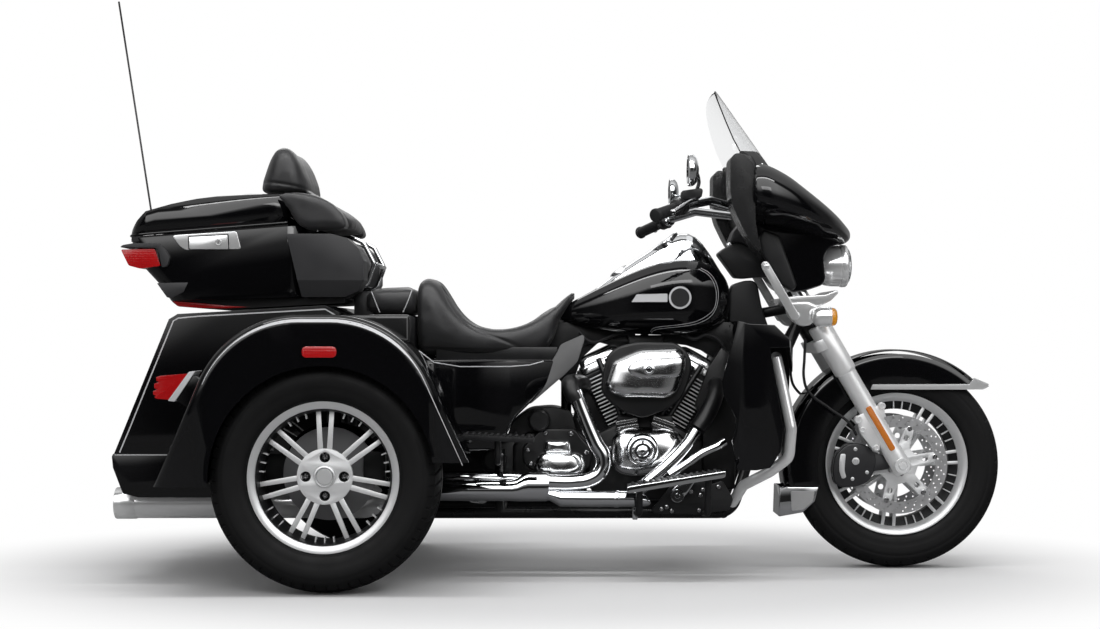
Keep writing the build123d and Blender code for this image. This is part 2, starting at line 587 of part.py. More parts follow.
def add_block(plane, length, width, corner, height, mode=Mode.ADD):
    """A rounded block standing on a plane."""
    with BuildSketch(plane) as foot:
        RectangleRounded(length, width, corner)
    extrude(foot.sketch, amount=height, mode=mode)


GEARBOX_FRONT_X = 112.0
with BuildPart() as crankcase:
    add_slab([(GEARBOX_FRONT_X, 260), (150, 212), (420, 212), (462, 262), (462, 430), (420, 500),
              (290, 500), (160, 500), (GEARBOX_FRONT_X, 430)], -CASE_HALF, CASE_HALF)
    for lean in CYLINDERS:
        add_block(cylinder_plane(lean, DECK - SEAT_GAP), 320, 300, 5, 200, mode=Mode.SUBTRACT)
written(crankcase.part, "crankcase")

with BuildPart() as gearbox:
    add_slab([(-112, 250), (-90, 218), (GEARBOX_FRONT_X - SEAT_GAP, 218), (GEARBOX_FRONT_X - SEAT_GAP, 400),
              (90, GEARBOX_TOP_Z), (-70, GEARBOX_TOP_Z), (-112, 380)], -CASE_HALF, CASE_HALF)
written(gearbox.part, "gearbox")

for lean, place in zip(CYLINDERS, ("rear", "front")):
    with BuildPart() as cylinder:
        add_block(cylinder_plane(lean, DECK), 2 * BORE_R, 2 * BORE_R, 40, HEAD_TOP - DECK - SEAT_GAP)
        for fin in range(FIN_COUNT):
            add_block(cylinder_plane(lean, DECK + 4 + fin * FIN_PITCH), 2 * FIN_HALF, 2 * FIN_HALF, 22, FIN_T)
        add_block(cylinder_plane(lean, HEAD_TOP - 34), 2 * FIN_HALF - 8, 2 * FIN_HALF - 8, 22, 34 - SEAT_GAP)
        bisector = (CYLINDERS[0] + CYLINDERS[1]) / 2
        facing = 1 if lean > bisector else -1
        other = cylinder_plane(bisector, DECK)
        with BuildSketch(other) as wedge:
            with Locations((facing * 1.5 - facing * 150, 0)):
                Rectangle(300, 300)
        extrude(wedge.sketch, amount=300, both=True, mode=Mode.SUBTRACT)
    written(cylinder.part, f"cylinder_{place}")

CAM_FACE_Y = -190.0
TUBE_Y = -98.0
with BuildPart() as engine_covers:
    for lean in CYLINDERS:
        add_block(cylinder_plane(lean, HEAD_TOP), 2 * FIN_HALF - 2, 2 * FIN_HALF - 18, 30, 26)
        add_block(cylinder_plane(lean, HEAD_TOP + 20), 2 * FIN_HALF - 30, 2 * FIN_HALF - 46, 26, 28)
    add_slab([(180, 330), (225, 290), (325, 300), (400, 330), (410, 400), (370, 430), (215, 430), (172, 400)],
             CAM_FACE_Y + 12, -CASE_HALF - SEAT_GAP)
    add_disc(276, CAM_FACE_Y, 368, 53, 20)
    for block_x, tube_top_x, tube_top_z in ((232, 160, 640), (338, 446, 616)):
        add_block(Plane(origin=(block_x, -140, 425), x_dir=(1, 0, 0), z_dir=(0, 0, 1)), 62, 42, 8, 34)
        for shift in (-13, 13):
            add_bar((block_x + shift, -138, 455), (tube_top_x + shift, TUBE_Y + 14, tube_top_z), 8.5)
    for lean in CYLINDERS:
        add_block(cylinder_plane(lean, DECK - 60), 2 * FIN_HALF - 2, 2 * FIN_HALF + 1, 20, HEAD_TOP - DECK + 60,
                  mode=Mode.SUBTRACT)
written(engine_covers.part, "engine_covers")

with BuildPart() as gearbox_cover:
    with BuildSketch(side_plane(-CASE_HALF - SEAT_GAP)) as plate:
        with Locations((30, 345)):
            RectangleRounded(132, 104, 34)
    extrude(plate.sketch, amount=56)
written(gearbox_cover.part, "gearbox_cover")

with BuildPart() as primary_cover:
    with BuildSketch(side_plane(CASE_HALF + SEAT_GAP)) as plate:
        with Locations((160, 348)):
            RectangleRounded(530, 226, 104)
    extrude(plate.sketch, amount=-96)
    with BuildSketch(side_plane(CASE_HALF + 96)) as bulge:
        with Locations((300, 348)):
            Circle(84)
        with Locations((0, 348)):
            Circle(72)
    extrude(bulge.sketch, amount=-22)
    add_bar((-180, RAIL_Y, RAIL_Z), (560, RAIL_Y, RAIL_Z), RAIL_R + 2, mode=Mode.SUBTRACT)
written(primary_cover.part, "primary_cover")

FILTER_FACE_Y = -250.0
FILTER_BACK_Y = -208.0
with BuildPart() as air_filter_base:
    add_slab([(184, 520), (366, 520), (392, 560), (392, 640), (352, 662), (206, 658), (172, 620), (172, 560)],
             FILTER_BACK_Y + SEAT_GAP, -128)
    add_slab([(262, 560), (322, 560), (322, 620), (262, 620)], -130, -40)
    for lean in CYLINDERS:
        add_block(cylinder_plane(lean, DECK - 60), 2 * FIN_HALF + 1, 2 * FIN_HALF + 1, 20, 400, mode=Mode.SUBTRACT)
written(air_filter_base.part, "air_filter_base")

with BuildPart() as air_filter_cover:
    add_slab([(163, 548), (182, 526), (345, 523), (380, 540), (406, 598), (404, 638), (370, 662), (222, 674),
              (182, 660), (166, 590)], FILTER_FACE_Y, FILTER_BACK_Y)
written(air_filter_cover.part, "air_filter_cover")

# ---------------------------------------------------------------- exhaust
PIPE_R = 22.0
MUFFLER_R = 44.0
MUFFLER_Y = 300.0
MUFFLER_Z = REAR_TYRE_R - AXLE_TUBE_R - MUFFLER_R - 18.0
EXHAUST_TIP_X = -1264.0
with BuildPart() as exhaust:
    for side in (-1, 1):
        add_tube([(-300, side * 262, MUFFLER_Z), (-420, side * MUFFLER_Y, MUFFLER_Z),
                  (-520, side * MUFFLER_Y, MUFFLER_Z)], PIPE_R, 60)
        add_bar((-500, side * MUFFLER_Y, MUFFLER_Z), (EXHAUST_TIP_X, side * MUFFLER_Y, MUFFLER_Z), MUFFLER_R)
        add_bar((-1100, side * MUFFLER_Y, MUFFLER_Z), (EXHAUST_TIP_X - 1, side * MUFFLER_Y, MUFFLER_Z),
                MUFFLER_R - 5, mode=Mode.SUBTRACT)
    add_tube([(100, -95, 560), (60, -262, 560), (140, -262, 380), (205, -262, 284), (-250, -262, 284),
              (-330, -262, MUFFLER_Z + 8)], PIPE_R, 34)
    add_tube([(505, -60, 545), (560, -130, 520), (500, -205, 232), (200, -240, MUFFLER_Z), (-300, -262, MUFFLER_Z)],
             PIPE_R, 44)
    add_tube([(-200, -262, MUFFLER_Z), (-235, -100, MUFFLER_Z + 6), (-235, 100, MUFFLER_Z + 6),
              (-300, 262, MUFFLER_Z)], PIPE_R - 2, 40)
    for lean in CYLINDERS:
        add_block(cylinder_plane(lean, DECK - 60), 2 * FIN_HALF + 1, 2 * FIN_HALF + 1, 20, 400, mode=Mode.SUBTRACT)
written(exhaust.part, "exhaust")

# ---------------------------------------------------------------- tank and seats
CONSOLE_HALF = 62.0
CONSOLE_FLOOR = ((70, 826), (120, 822), (236, 884), (352, 922), (440, 926), (500, 900), (540, 880))
TANK_ROWS = (
    # x, half width, low z, high z, corner
    (34, 52, 760, 794, 14),
    (120, 108, 730, 842, 46),
    (245, 152, 716, 902, 74),
    (370, 165, 712, 940, 86),
    (480, 146, 722, 932, 78),
    (546, 84, 776, 862, 38),
)
with BuildPart() as fuel_tank:
    add_sections(TANK_ROWS)
    add_slab([(20, 700), (570, 700), (570, 796), (20, 778)], -RAIL_R - 8, RAIL_R + 8, mode=Mode.SUBTRACT)
    groove = [(x, z - SEAT_GAP) for x, z in CONSOLE_FLOOR]
    add_slab([(60, 1000)] + groove + [(560, 1000)], -CONSOLE_HALF - SEAT_GAP, CONSOLE_HALF + SEAT_GAP,
             mode=Mode.SUBTRACT)
written(fuel_tank.part, "fuel_tank")

with BuildPart() as tank_console:
    add_slab(list(CONSOLE_FLOOR[1:]) + [(516, 925), (477, 981), (437, 1022), (389, 1024), (318, 981), (264, 945),
             (120, 838)], -CONSOLE_HALF, CONSOLE_HALF)
written(tank_console.part, "tank_console")

SEAT_HALF = 190.0
with BuildPart() as rider_seat:
    add_slab([(-399, 879), (-362, 895), (-327, 870), (-280, 792), (-232, 748), (-161, 734), (-83, 748),
              (-35, 772), (30, 818), (26, 713), (-4, 657), (-35, 646), (-399, 646)], -SEAT_HALF, SEAT_HALF)
    with BuildSketch(Plane.XY.offset(600)) as plan:
        Polygon((-450, -SEAT_HALF), (-200, -SEAT_HALF), (0, -122), (90, -80), (90, 80), (0, 122),
                (-200, SEAT_HALF), (-450, SEAT_HALF), align=None)
    extrude(plan.sketch, amount=400, mode=Mode.INTERSECT)
written(rider_seat.part, "rider_seat")

PANEL_TOP_Z = 640.0
PASSENGER_BACK_X = -552.0
PASSENGER_FRONT_X = -399.0 - 1.0
BODY_SHELF_Z = 770.0
with BuildPart() as passenger_seat:
    add_slab([(PASSENGER_BACK_X, BODY_SHELF_Z + SEAT_GAP), (PASSENGER_FRONT_X, BODY_SHELF_Z + SEAT_GAP),
              (PASSENGER_FRONT_X, 862), (-440, 858), (PASSENGER_BACK_X, 850)], -SEAT_HALF - 8, SEAT_HALF + 8)
written(passenger_seat.part, "passenger_seat")

# ---------------------------------------------------------------- body
TRUNK_WALL = 12.0
TRUNK_FRONT_X = -600.0
TRUNK_LOW_Z = REAR_TYRE_R + DIFF_R + 5.0
DOOR_HALF = 300.0
DOOR_GAP = 6.0
DOOR_T = 12.0
REAR_FOOT = Vector(-1240, 0, TRUNK_LOW_Z)
REAR_HEAD = Vector(-1085, 0, 757)
REAR_SLOPE = (REAR_HEAD - REAR_FOOT).normalized()
REAR_OUT = Vector(-REAR_SLOPE.Z, 0, REAR_SLOPE.X)


def on_rear(up, inward):
    """A side-view point measured up the sloping rear face and inwards from it."""
    point = REAR_FOOT + REAR_SLOPE * up - REAR_OUT * inward
    return (point.X, point.Z)


DOOR_LOW = 20.0
DOOR_HIGH = 392.0
DOOR_PIVOT = on_rear(DOOR_LOW, 0)
DOOR_HINGE_Y = (196.0, 264.0)
EAR_W = 10.0
DOOR_EAR_Y = (200.0, 250.0)
HINGE_PIN_R = 3.0
HINGE_R = 7.0
PIN_PLAY = 0.1
with BuildPart() as trunk_body:
    add_slab([on_rear(0, 0), (REAR_HEAD.X, REAR_HEAD.Z), (-1060, 772), (-640, 796), (TRUNK_FRONT_X, 776),
              (TRUNK_FRONT_X, TRUNK_LOW_Z)], -BODY_HALF, BODY_HALF)
    add_slab([on_rear(TRUNK_WALL, TRUNK_WALL), on_rear(404, TRUNK_WALL), (-1054, 760), (-640, 784),
              (TRUNK_FRONT_X - TRUNK_WALL, 768), (TRUNK_FRONT_X - TRUNK_WALL, TRUNK_LOW_Z + TRUNK_WALL)],
             -BODY_HALF + TRUNK_WALL, BODY_HALF - TRUNK_WALL, mode=Mode.SUBTRACT)
    add_slab([on_rear(DOOR_LOW - DOOR_GAP, -5), on_rear(DOOR_HIGH + DOOR_GAP, -5),
              on_rear(DOOR_HIGH + DOOR_GAP, 30), on_rear(DOOR_LOW - DOOR_GAP, 30)],
             -DOOR_HALF - DOOR_GAP, DOOR_HALF + DOOR_GAP, mode=Mode.SUBTRACT)
    for side in (-1, 1):
        hinge = (*DOOR_HINGE_Y, *DOOR_EAR_Y)
        add_disc(DOOR_PIVOT[0], min(side * hinge[0], side * hinge[1]) - 1, DOOR_PIVOT[1], HINGE_R + 5,
                 hinge[1] - hinge[0] + 2, mode=Mode.SUBTRACT)
        for ear_y in (hinge[2], hinge[3]):
            low_y = min(side * ear_y, side * (ear_y + EAR_W))
            add_disc(DOOR_PIVOT[0], low_y, DOOR_PIVOT[1], HINGE_R, EAR_W)
            add_slab([on_rear(DOOR_LOW - 4, 0), on_rear(DOOR_LOW - 4, 11), on_rear(DOOR_LOW - 12, 11),
                      on_rear(DOOR_LOW - 12, 0)], low_y, low_y + EAR_W)
        pin_y = sorted((side * hinge[2], side * (hinge[3] + EAR_W)))
        add_disc(DOOR_PIVOT[0], pin_y[0], DOOR_PIVOT[1], HINGE_PIN_R, pin_y[1] - pin_y[0])
written(trunk_body.part, "trunk_body")

with BuildPart() as trunk_door:
    add_slab([on_rear(DOOR_LOW, 0), on_rear(DOOR_HIGH, 0), on_rear(DOOR_HIGH, DOOR_T), on_rear(DOOR_LOW, DOOR_T)],
             -DOOR_HALF, DOOR_HALF)
    for side in (-1, 1):
        hinge = (*DOOR_HINGE_Y, *DOOR_EAR_Y)
        for ear_y in (hinge[2], hinge[3]):
            add_disc(DOOR_PIVOT[0], min(side * ear_y, side * (ear_y + EAR_W)) - 2, DOOR_PIVOT[1], HINGE_R + 2,
                     EAR_W + 4, mode=Mode.SUBTRACT)
        knuckle_y = sorted((side * (hinge[2] + EAR_W + 2), side * (hinge[3] - 2)))
        add_disc(DOOR_PIVOT[0], knuckle_y[0], DOOR_PIVOT[1], HINGE_R, knuckle_y[1] - knuckle_y[0])
        bore_y = sorted((side * (hinge[0] - 4), side * (hinge[1] + 4)))
        add_disc(DOOR_PIVOT[0], bore_y[0], DOOR_PIVOT[1], HINGE_PIN_R + PIN_PLAY, bore_y[1] - bore_y[0],
                 mode=Mode.SUBTRACT)
written(trunk_door.part, "trunk_door")

VALANCE_T = 10.0
PLATE_X = -1264.0
PLATE_T = 4.0
PLATE_HOLES = 178.0
PLATE_HOLE_Z = 328.0
PLATE_HOLE_R = 3.5
with BuildPart() as rear_valance:
    add_slab([(-1243, TRUNK_LOW_Z - SEAT_GAP), (-1257, 366), (-1243, 335), (-1215, 262), (-1170, 250), (-960, 250),
              (-900, TRUNK_LOW_Z - SEAT_GAP)], -BODY_HALF, BODY_HALF)
    add_slab([(-1233, TRUNK_LOW_Z - 12), (-1206, 272), (-1165, 240), (-960, 240), (-890, TRUNK_LOW_Z - 12),
              ], -BODY_HALF + VALANCE_T, BODY_HALF - VALANCE_T, mode=Mode.SUBTRACT)
    for side in (-1, 1):
        add_bar((-1300, side * MUFFLER_Y, MUFFLER_Z), (-850, side * MUFFLER_Y, MUFFLER_Z), MUFFLER_R + 8,
                mode=Mode.SUBTRACT)
    add_slab([(PLATE_X, 266), (PLATE_X + PLATE_T, 266), (PLATE_X + PLATE_T, 346), (PLATE_X, 346)], -108, 108)
    add_slab([(PLATE_X + 1, 290), (-1222, 290), (-1222, 322), (PLATE_X + 1, 322)], -40, 40)
    for side in (-1, 1):
        add_bar((PLATE_X - 10, side * PLATE_HOLES / 2, PLATE_HOLE_Z), (PLATE_X + 10, side * PLATE_HOLES / 2,
                PLATE_HOLE_Z), PLATE_HOLE_R, mode=Mode.SUBTRACT)
written(rear_valance.part, "rear_valance")

with BuildPart() as side_panels:
    add_slab([(TRUNK_FRONT_X + SEAT_GAP, PANEL_LOW_Z), (-154, PANEL_LOW_Z), (-100, 470), (POST_X - RAIL_R - 1, 600),
              (POST_X - RAIL_R - 1, PANEL_TOP_Z), (-399, PANEL_TOP_Z), (-399, BODY_SHELF_Z),
              (TRUNK_FRONT_X + SEAT_GAP, BODY_SHELF_Z)], -BODY_HALF, BODY_HALF)
    with BuildSketch(Plane.XY.offset(300)) as plan:
        Polygon((-640, -BODY_HALF), (-330, -BODY_HALF), (-262, -322), (-120, -250), (60, -150), (60, 150),
                (-120, 250), (-262, 322), (-330, BODY_HALF), (-640, BODY_HALF), align=None)
    extrude(plan.sketch, amount=600, mode=Mode.INTERSECT)
written(side_panels.part, "side_panels")

# ---------------------------------------------------------------- rear fenders
FENDER_OUT_Y = 686.0
FENDER_IN_Y = BODY_HALF + SEAT_GAP
REAR_WALL = 5.0
OPENING_R = REAR_TYRE_R - 16.0
WELL_R = REAR_TYRE_R + 14
ARCH = ((-1077, 300), (-880, 768), (-403, 768), (-221, 366))
ARCH_BEND = 300.0
CROWN_R = 28.0


def arch_block(y_in, y_out, inset, edge_r):
    """The fender's solid form between two planes, drawn in by inset, with its outer edge rounded."""
    with BuildPart() as block:
        with BuildSketch(side_plane(y_in)) as contour:
            with BuildLine():
                FilletPolyline(*ARCH, radius=ARCH_BEND)
                Polyline(ARCH[-1], (REAR_AXLE_X, ARCH[-1][1]), (REAR_AXLE_X, ARCH[0][1]), ARCH[0])
            make_face()
            if inset > 0:
                offset(amount=-inset, kind=Kind.INTERSECTION)
        extrude(contour.sketch, amount=y_in - y_out)
        outer = block.faces().filter_by(Axis.Y).sort_by(Axis.Y)[0 if y_out < y_in else -1]
        rim = outer.edges().filter_by(lambda edge: edge.center().Z > ARCH[-1][1] + 20)
        fillet(rim, edge_r)
    return block.part


with BuildPart() as rear_fenders:
    for side in (-1, 1):
        outer_y = side * FENDER_OUT_Y
        inner_y = side * FENDER_IN_Y
        add(arch_block(inner_y, outer_y, 0, CROWN_R))
        add(arch_block(inner_y, outer_y - side * REAR_WALL, REAR_WALL, CROWN_R - REAR_WALL), mode=Mode.SUBTRACT)
        well_y = sorted((inner_y, outer_y - side * REAR_WALL))
        add_disc(REAR_AXLE_X, well_y[0], REAR_TYRE_R, WELL_R, well_y[1] - well_y[0], mode=Mode.SUBTRACT)
        skin_y = sorted((outer_y - side * 20, outer_y + side * 2))
        add_disc(REAR_AXLE_X, skin_y[0], REAR_TYRE_R, OPENING_R, 22, mode=Mode.SUBTRACT)
written(rear_fenders.part, "rear_fenders")

# ---------------------------------------------------------------- top box
CASE_HALF_Y = 285.0
CASE_WALL = 6.0
CASE_FRONT_X = -721.0
CASE_CORNER = 52.0
LID_GAP = 6.0
LID_FRONT_X = -766.0
LID_CORNER = 60.0
LID_EDGE = 46.0
CASE_LEVELS = (
    # rear x, rear z, front z
    (-1119, 812, 824),
    (-1156, 865, 880),
    (-1197, 909, 930),
    (-1239, 994, 1034),
)
LID_PROFILE = ((-1240, 1000), (-1230, 1022), (-1213, 1050), (-1186, 1080), (-1110, 1104), (-1039, 1121),
               (-960, 1133), (-880, 1140), (LID_FRONT_X, 1140), (LID_FRONT_X, 1037.6))


def case_block(inset, raise_low, raise_high):
    """The case's outer form, drawn in by inset on its sides, with its lowest and highest level moved."""
    faces = []
    for level, (rear_x, rear_z, front_z) in enumerate(CASE_LEVELS):
        shift = raise_low * (level == 0) + raise_high * (level == len(CASE_LEVELS) - 1)
        rear = Vector(rear_x + inset, 0, rear_z + shift)
        front = Vector(CASE_FRONT_X - inset, 0, front_z + shift)
        run = front - rear
        middle = (front + rear) * 0.5
        with BuildSketch(Plane(origin=middle, x_dir=run, z_dir=(-run.Z, 0, run.X))) as level_face:
            RectangleRounded(run.length, 2 * (CASE_HALF_Y - inset), CASE_CORNER - inset)
        faces.append(level_face.sketch)
    with BuildPart() as block:
        loft(faces, ruled=True)
    return block.part


def lid_block(inset, drop):
    """The lid's outer form, drawn in by inset, with its lower edge dropped."""
    with BuildPart() as block:
        with BuildSketch(side_plane(CASE_HALF_Y)) as profile:
            Polygon(*LID_PROFILE, align=None)
            if inset > 0:
                offset(amount=-inset, kind=Kind.INTERSECTION)
        extrude(profile.sketch, amount=2 * CASE_HALF_Y)
        if drop > 0:
            lowest = (LID_PROFILE[0][0] + inset, LID_PROFILE[0][1] + 30)
            add_slab([lowest, (LID_FRONT_X - inset, 1068), (LID_FRONT_X - inset, 1037 - drop),
                      (lowest[0], LID_PROFILE[0][1] - drop)], -CASE_HALF_Y, CASE_HALF_Y)
        with BuildSketch(Plane.XY.offset(900)) as plan:
            with Locations(((LID_PROFILE[0][0] + LID_FRONT_X) / 2, 0)):
                RectangleRounded(LID_FRONT_X - LID_PROFILE[0][0] - 2 * inset, 2 * (CASE_HALF_Y - inset),
                                 LID_CORNER - inset)
        extrude(plan.sketch, amount=400, mode=Mode.INTERSECT)
        with BuildSketch(cross_plane(-1300)) as end_view:
            with Locations((0, 1000)):
                RectangleRounded(2 * (CASE_HALF_Y - inset), 280 - 2 * inset, LID_EDGE - inset)
        extrude(end_view.sketch, amount=700, mode=Mode.INTERSECT)
    return block.part


HINGE_Y = CASE_HALF_Y + 15.0
EAR = 16.0
HINGE_ENDS = (-1120, -840)


def hinge_point(x, z_shift=0.0):
    """A point on the lid's hinge axis, which runs along the seam on the left side."""
    seam = (LID_PROFILE[0][1] - 3) + (x - LID_PROFILE[0][0]) * 37 / 467
    return (x, HINGE_Y, seam + z_shift)


def add_web(start_x, end_x, low, high):
    """A plate between the box's side and the hinge, between two heights from the axis."""
    add_slab([(start_x, hinge_point(start_x, low)[2]), (end_x, hinge_point(end_x, low)[2]),
              (end_x, hinge_point(end_x, high)[2]), (start_x, hinge_point(start_x, high)[2])],
             CASE_HALF_Y - 3, HINGE_Y)


with BuildPart() as box_case:
    add(case_block(0, 0, 0))
    for end_x in (HINGE_ENDS[0], HINGE_ENDS[1] - EAR):
        add_bar(hinge_point(end_x), hinge_point(end_x + EAR), HINGE_R)
        add_web(end_x, end_x + EAR, -26, -4)
    add_bar(hinge_point(HINGE_ENDS[0]), hinge_point(HINGE_ENDS[1]), HINGE_PIN_R)
    add(case_block(CASE_WALL, CASE_WALL, 2 * CASE_WALL), mode=Mode.SUBTRACT)
written(box_case.part, "box_case")

with BuildPart() as box_lid:
    add(lid_block(0, 0))
    add_bar(hinge_point(HINGE_ENDS[0] + EAR + 2), hinge_point(HINGE_ENDS[1] - EAR - 2), HINGE_R)
    add_web(HINGE_ENDS[0] + EAR + 2, HINGE_ENDS[1] - EAR - 2, 4, 26)
    add_bar(hinge_point(HINGE_ENDS[0] - 10), hinge_point(HINGE_ENDS[1] + 10), HINGE_PIN_R + PIN_PLAY,
            mode=Mode.SUBTRACT)
    add(lid_block(CASE_WALL, 20), mode=Mode.SUBTRACT)
written(box_lid.part, "box_lid")

with BuildPart() as box_carrier:
    add_slab([(-1000, 792), (-760, 792), (-760, 823), (-1000, 814)], -150, 150)
    add_slab([(-1080, 600), (-630, 600), (-630, 795.8), (-640, 796.3), (-1060, 772.3), (-1080, 760)], -500, 500,
             mode=Mode.SUBTRACT)
    add_slab([(-1119, 811.7), (-721, 823.7), (-721, 900), (-1119, 900)], -500, 500, mode=Mode.SUBTRACT)
written(box_carrier.part, "box_carrier")

POD_IN_Y = 172.0
POD_OUT_Y = CASE_HALF_Y + 17.0
POD_PROFILE = ((-720.7, 823), (-600, 823), (-562, 840), (-545, 872), (-545, 930), (-562, 968), (-592, 995),
               (-640, 1008), (-720.7, 1008))
with BuildPart() as speaker_pods:
    for side in (-1, 1):
        full = sorted((side * POD_IN_Y, side * POD_OUT_Y))
        skin = sorted((side * (CASE_HALF_Y + SEAT_GAP), side * POD_OUT_Y))
        add_slab(POD_PROFILE, full[0], full[1])
        add_slab([(-768, 840), (-752, 823), (-700, 823), (-700, 1008), (-752, 1008), (-768, 990)], skin[0], skin[1])
written(speaker_pods.part, "speaker_pods")

with BuildPart() as lumbar_pad:
    add_slab([(-720.7, 866), (-600, 866), (-560, 880), (-545, 930), (-570, 985), (-600, 998), (-720.7, 998)],
             -POD_IN_Y + 6, POD_IN_Y - 6)
written(lumbar_pad.part, "lumbar_pad")

HOOP_R = 7.0
with BuildPart() as backrest_rail:
    for side in (-1, 1):
        add_tube([(-600, side * (POD_IN_Y - 14), 1005.5), (-560, side * (POD_IN_Y - 14), 990),
                  (-527, side * (POD_IN_Y - 14), 925), (-552, side * (POD_IN_Y - 14), 857.5),
                  (-640, side * (POD_IN_Y - 14), 857.5)], HOOP_R, 24)
    add_bar((-527, -POD_IN_Y + 14, 925), (-527, POD_IN_Y - 14, 925), HOOP_R)
written(backrest_rail.part, "backrest_rail")

PAD_HALF = 200.0
LID_TOP_Z = LID_PROFILE[-2][1]
with BuildPart() as backrest_pad:
    add_slab([(-876, LID_TOP_Z + SEAT_GAP), (-862, 1216), (-838, 1268), (-814, 1286), (-786, 1276), (-752, 1215),
              (-716, LID_TOP_Z + SEAT_GAP)], -PAD_HALF, PAD_HALF)
    add_slab([(-714, LID_TOP_Z), (LID_FRONT_X + SEAT_GAP, LID_TOP_Z), (LID_FRONT_X + SEAT_GAP, 1042),
              (-714, 1042)], -PAD_HALF, PAD_HALF)
    add_slab([(-713.7, LID_TOP_Z), (-640, 1092), (-592, 1060), (-575, 1018), (-713.7, 1018)], -PAD_HALF, PAD_HALF)
written(backrest_pad.part, "backrest_pad")

with BuildPart() as arm_rests:
    for side in (-1, 1):
        arm_y = sorted((side * (PAD_HALF + SEAT_GAP), side * (CASE_HALF_Y - 3)))
        add_slab([(LID_FRONT_X + SEAT_GAP, 1141), (-714, 1128), (-714, 1042), (LID_FRONT_X + SEAT_GAP, 1042)],
                 arm_y[0], arm_y[1])
        add_slab([(-713.7, 1128), (-690, 1118), (-630, 1098), (-592, 1053), (-592, 1020), (-713.7, 1020)],
                 arm_y[0], arm_y[1])
written(arm_rests.part, "arm_rests")

ANTENNA_Y = 165.0
ANTENNA_R = 3.0
ANTENNA_TIP_X = -(FRONT_AXLE_X + FRONT_TYRE_R)
with BuildPart() as antenna:
    add_tube([(-1226, ANTENNA_Y, 950), (-1252, ANTENNA_Y, 962), (-1258, ANTENNA_Y, 1030),
              (ANTENNA_TIP_X + ANTENNA_R, ANTENNA_Y, 1775)], ANTENNA_R, 8)
    add_bar((-1226, ANTENNA_Y, 950), (-1246, ANTENNA_Y, 959), 10)
    add(case_block(0, 0, 0), mode=Mode.SUBTRACT)
written(antenna.part, "antenna")

# ---------------------------------------------------------------- lamps at the rear
with BuildPart() as red_lenses:
    for side in (-1, 1):
        lamp_y = sorted((side * (FENDER_OUT_Y + SEAT_GAP), side * (FENDER_OUT_Y + 8)))
        with BuildSketch(side_plane(lamp_y[1])) as marker:
            with Locations((-624, 666)):
                RectangleRounded(94, 31, 15)
        extrude(marker.sketch, amount=lamp_y[1] - lamp_y[0])
        box_y = sorted((side * 200, side * (CASE_HALF_Y + 14)))
        add_slab([(-1259, 900), (-1141, 925), (-1141, 962), (-1259, 962)], box_y[0], box_y[1])
        add(case_block(0, 0, 0), mode=Mode.SUBTRACT)
written(red_lenses.part, "red_lenses")

TAIL_Y = 560.0
TAIL_ANGLE = 145.0
TAIL_R = 46.0
with BuildPart() as tail_lamps:
    for side in (-1, 1):
        out = Vector(cos(radians(TAIL_ANGLE)), 0, sin(radians(TAIL_ANGLE)))
        foot = Vector(-960, side * TAIL_Y, 540)
        add_bar(foot, foot + out * 76, TAIL_R)
        add(arch_block(side * (FENDER_IN_Y + 1), side * (FENDER_OUT_Y - 1), 0, CROWN_R), mode=Mode.SUBTRACT)
written(tail_lamps.part, "tail_lamps")

with BuildPart() as tail_lenses:
    for side in (-1, 1):
        foot = Vector(-960, side * TAIL_Y, 540) + out * (76 + SEAT_GAP)
        add_bar(foot, foot + out * 28, TAIL_R - 5)
written(tail_lenses.part, "tail_lenses")

# ---------------------------------------------------------------- guards, shields and boards
GUARD_R = 16.0
GUARD_POINTS = ((545, 150, 205), (575, 200, 265), (645, 280, 312), (694, 326, 356), (700, 334, 440),
                (660, 310, 648))
GUARD_INNER = (650, 90, 560)
SHIELD_SIDE = ((575, 744), (647, 741), (700, 690), (705, 625), (696, 496), (680, 383), (645, 316), (595, 290),
               (540, 288), (526, 405), (540, 464), (502, 540), (498, 578), (543, 753))
with BuildPart() as engine_guard:
    for side in (-1, 1):
        route = [(x, side * y, z) for x, y, z in GUARD_POINTS]
        add_tube(route, GUARD_R, 36)
        add_bar(route[-1], (GUARD_INNER[0], side * GUARD_INNER[1], GUARD_INNER[2]), GUARD_R)
    for side in (-1, 1):
        add_tube([(rear_x, side * y, z) for rear_x, y, z in ((-400, RAIL_Y, RAIL_Z), (545, RAIL_Y, RAIL_Z),
                 (690, 72, 600), (775, 14, 768))], RAIL_R + SEAT_GAP, 60, mode=Mode.SUBTRACT)
written(engine_guard.part, "engine_guard")

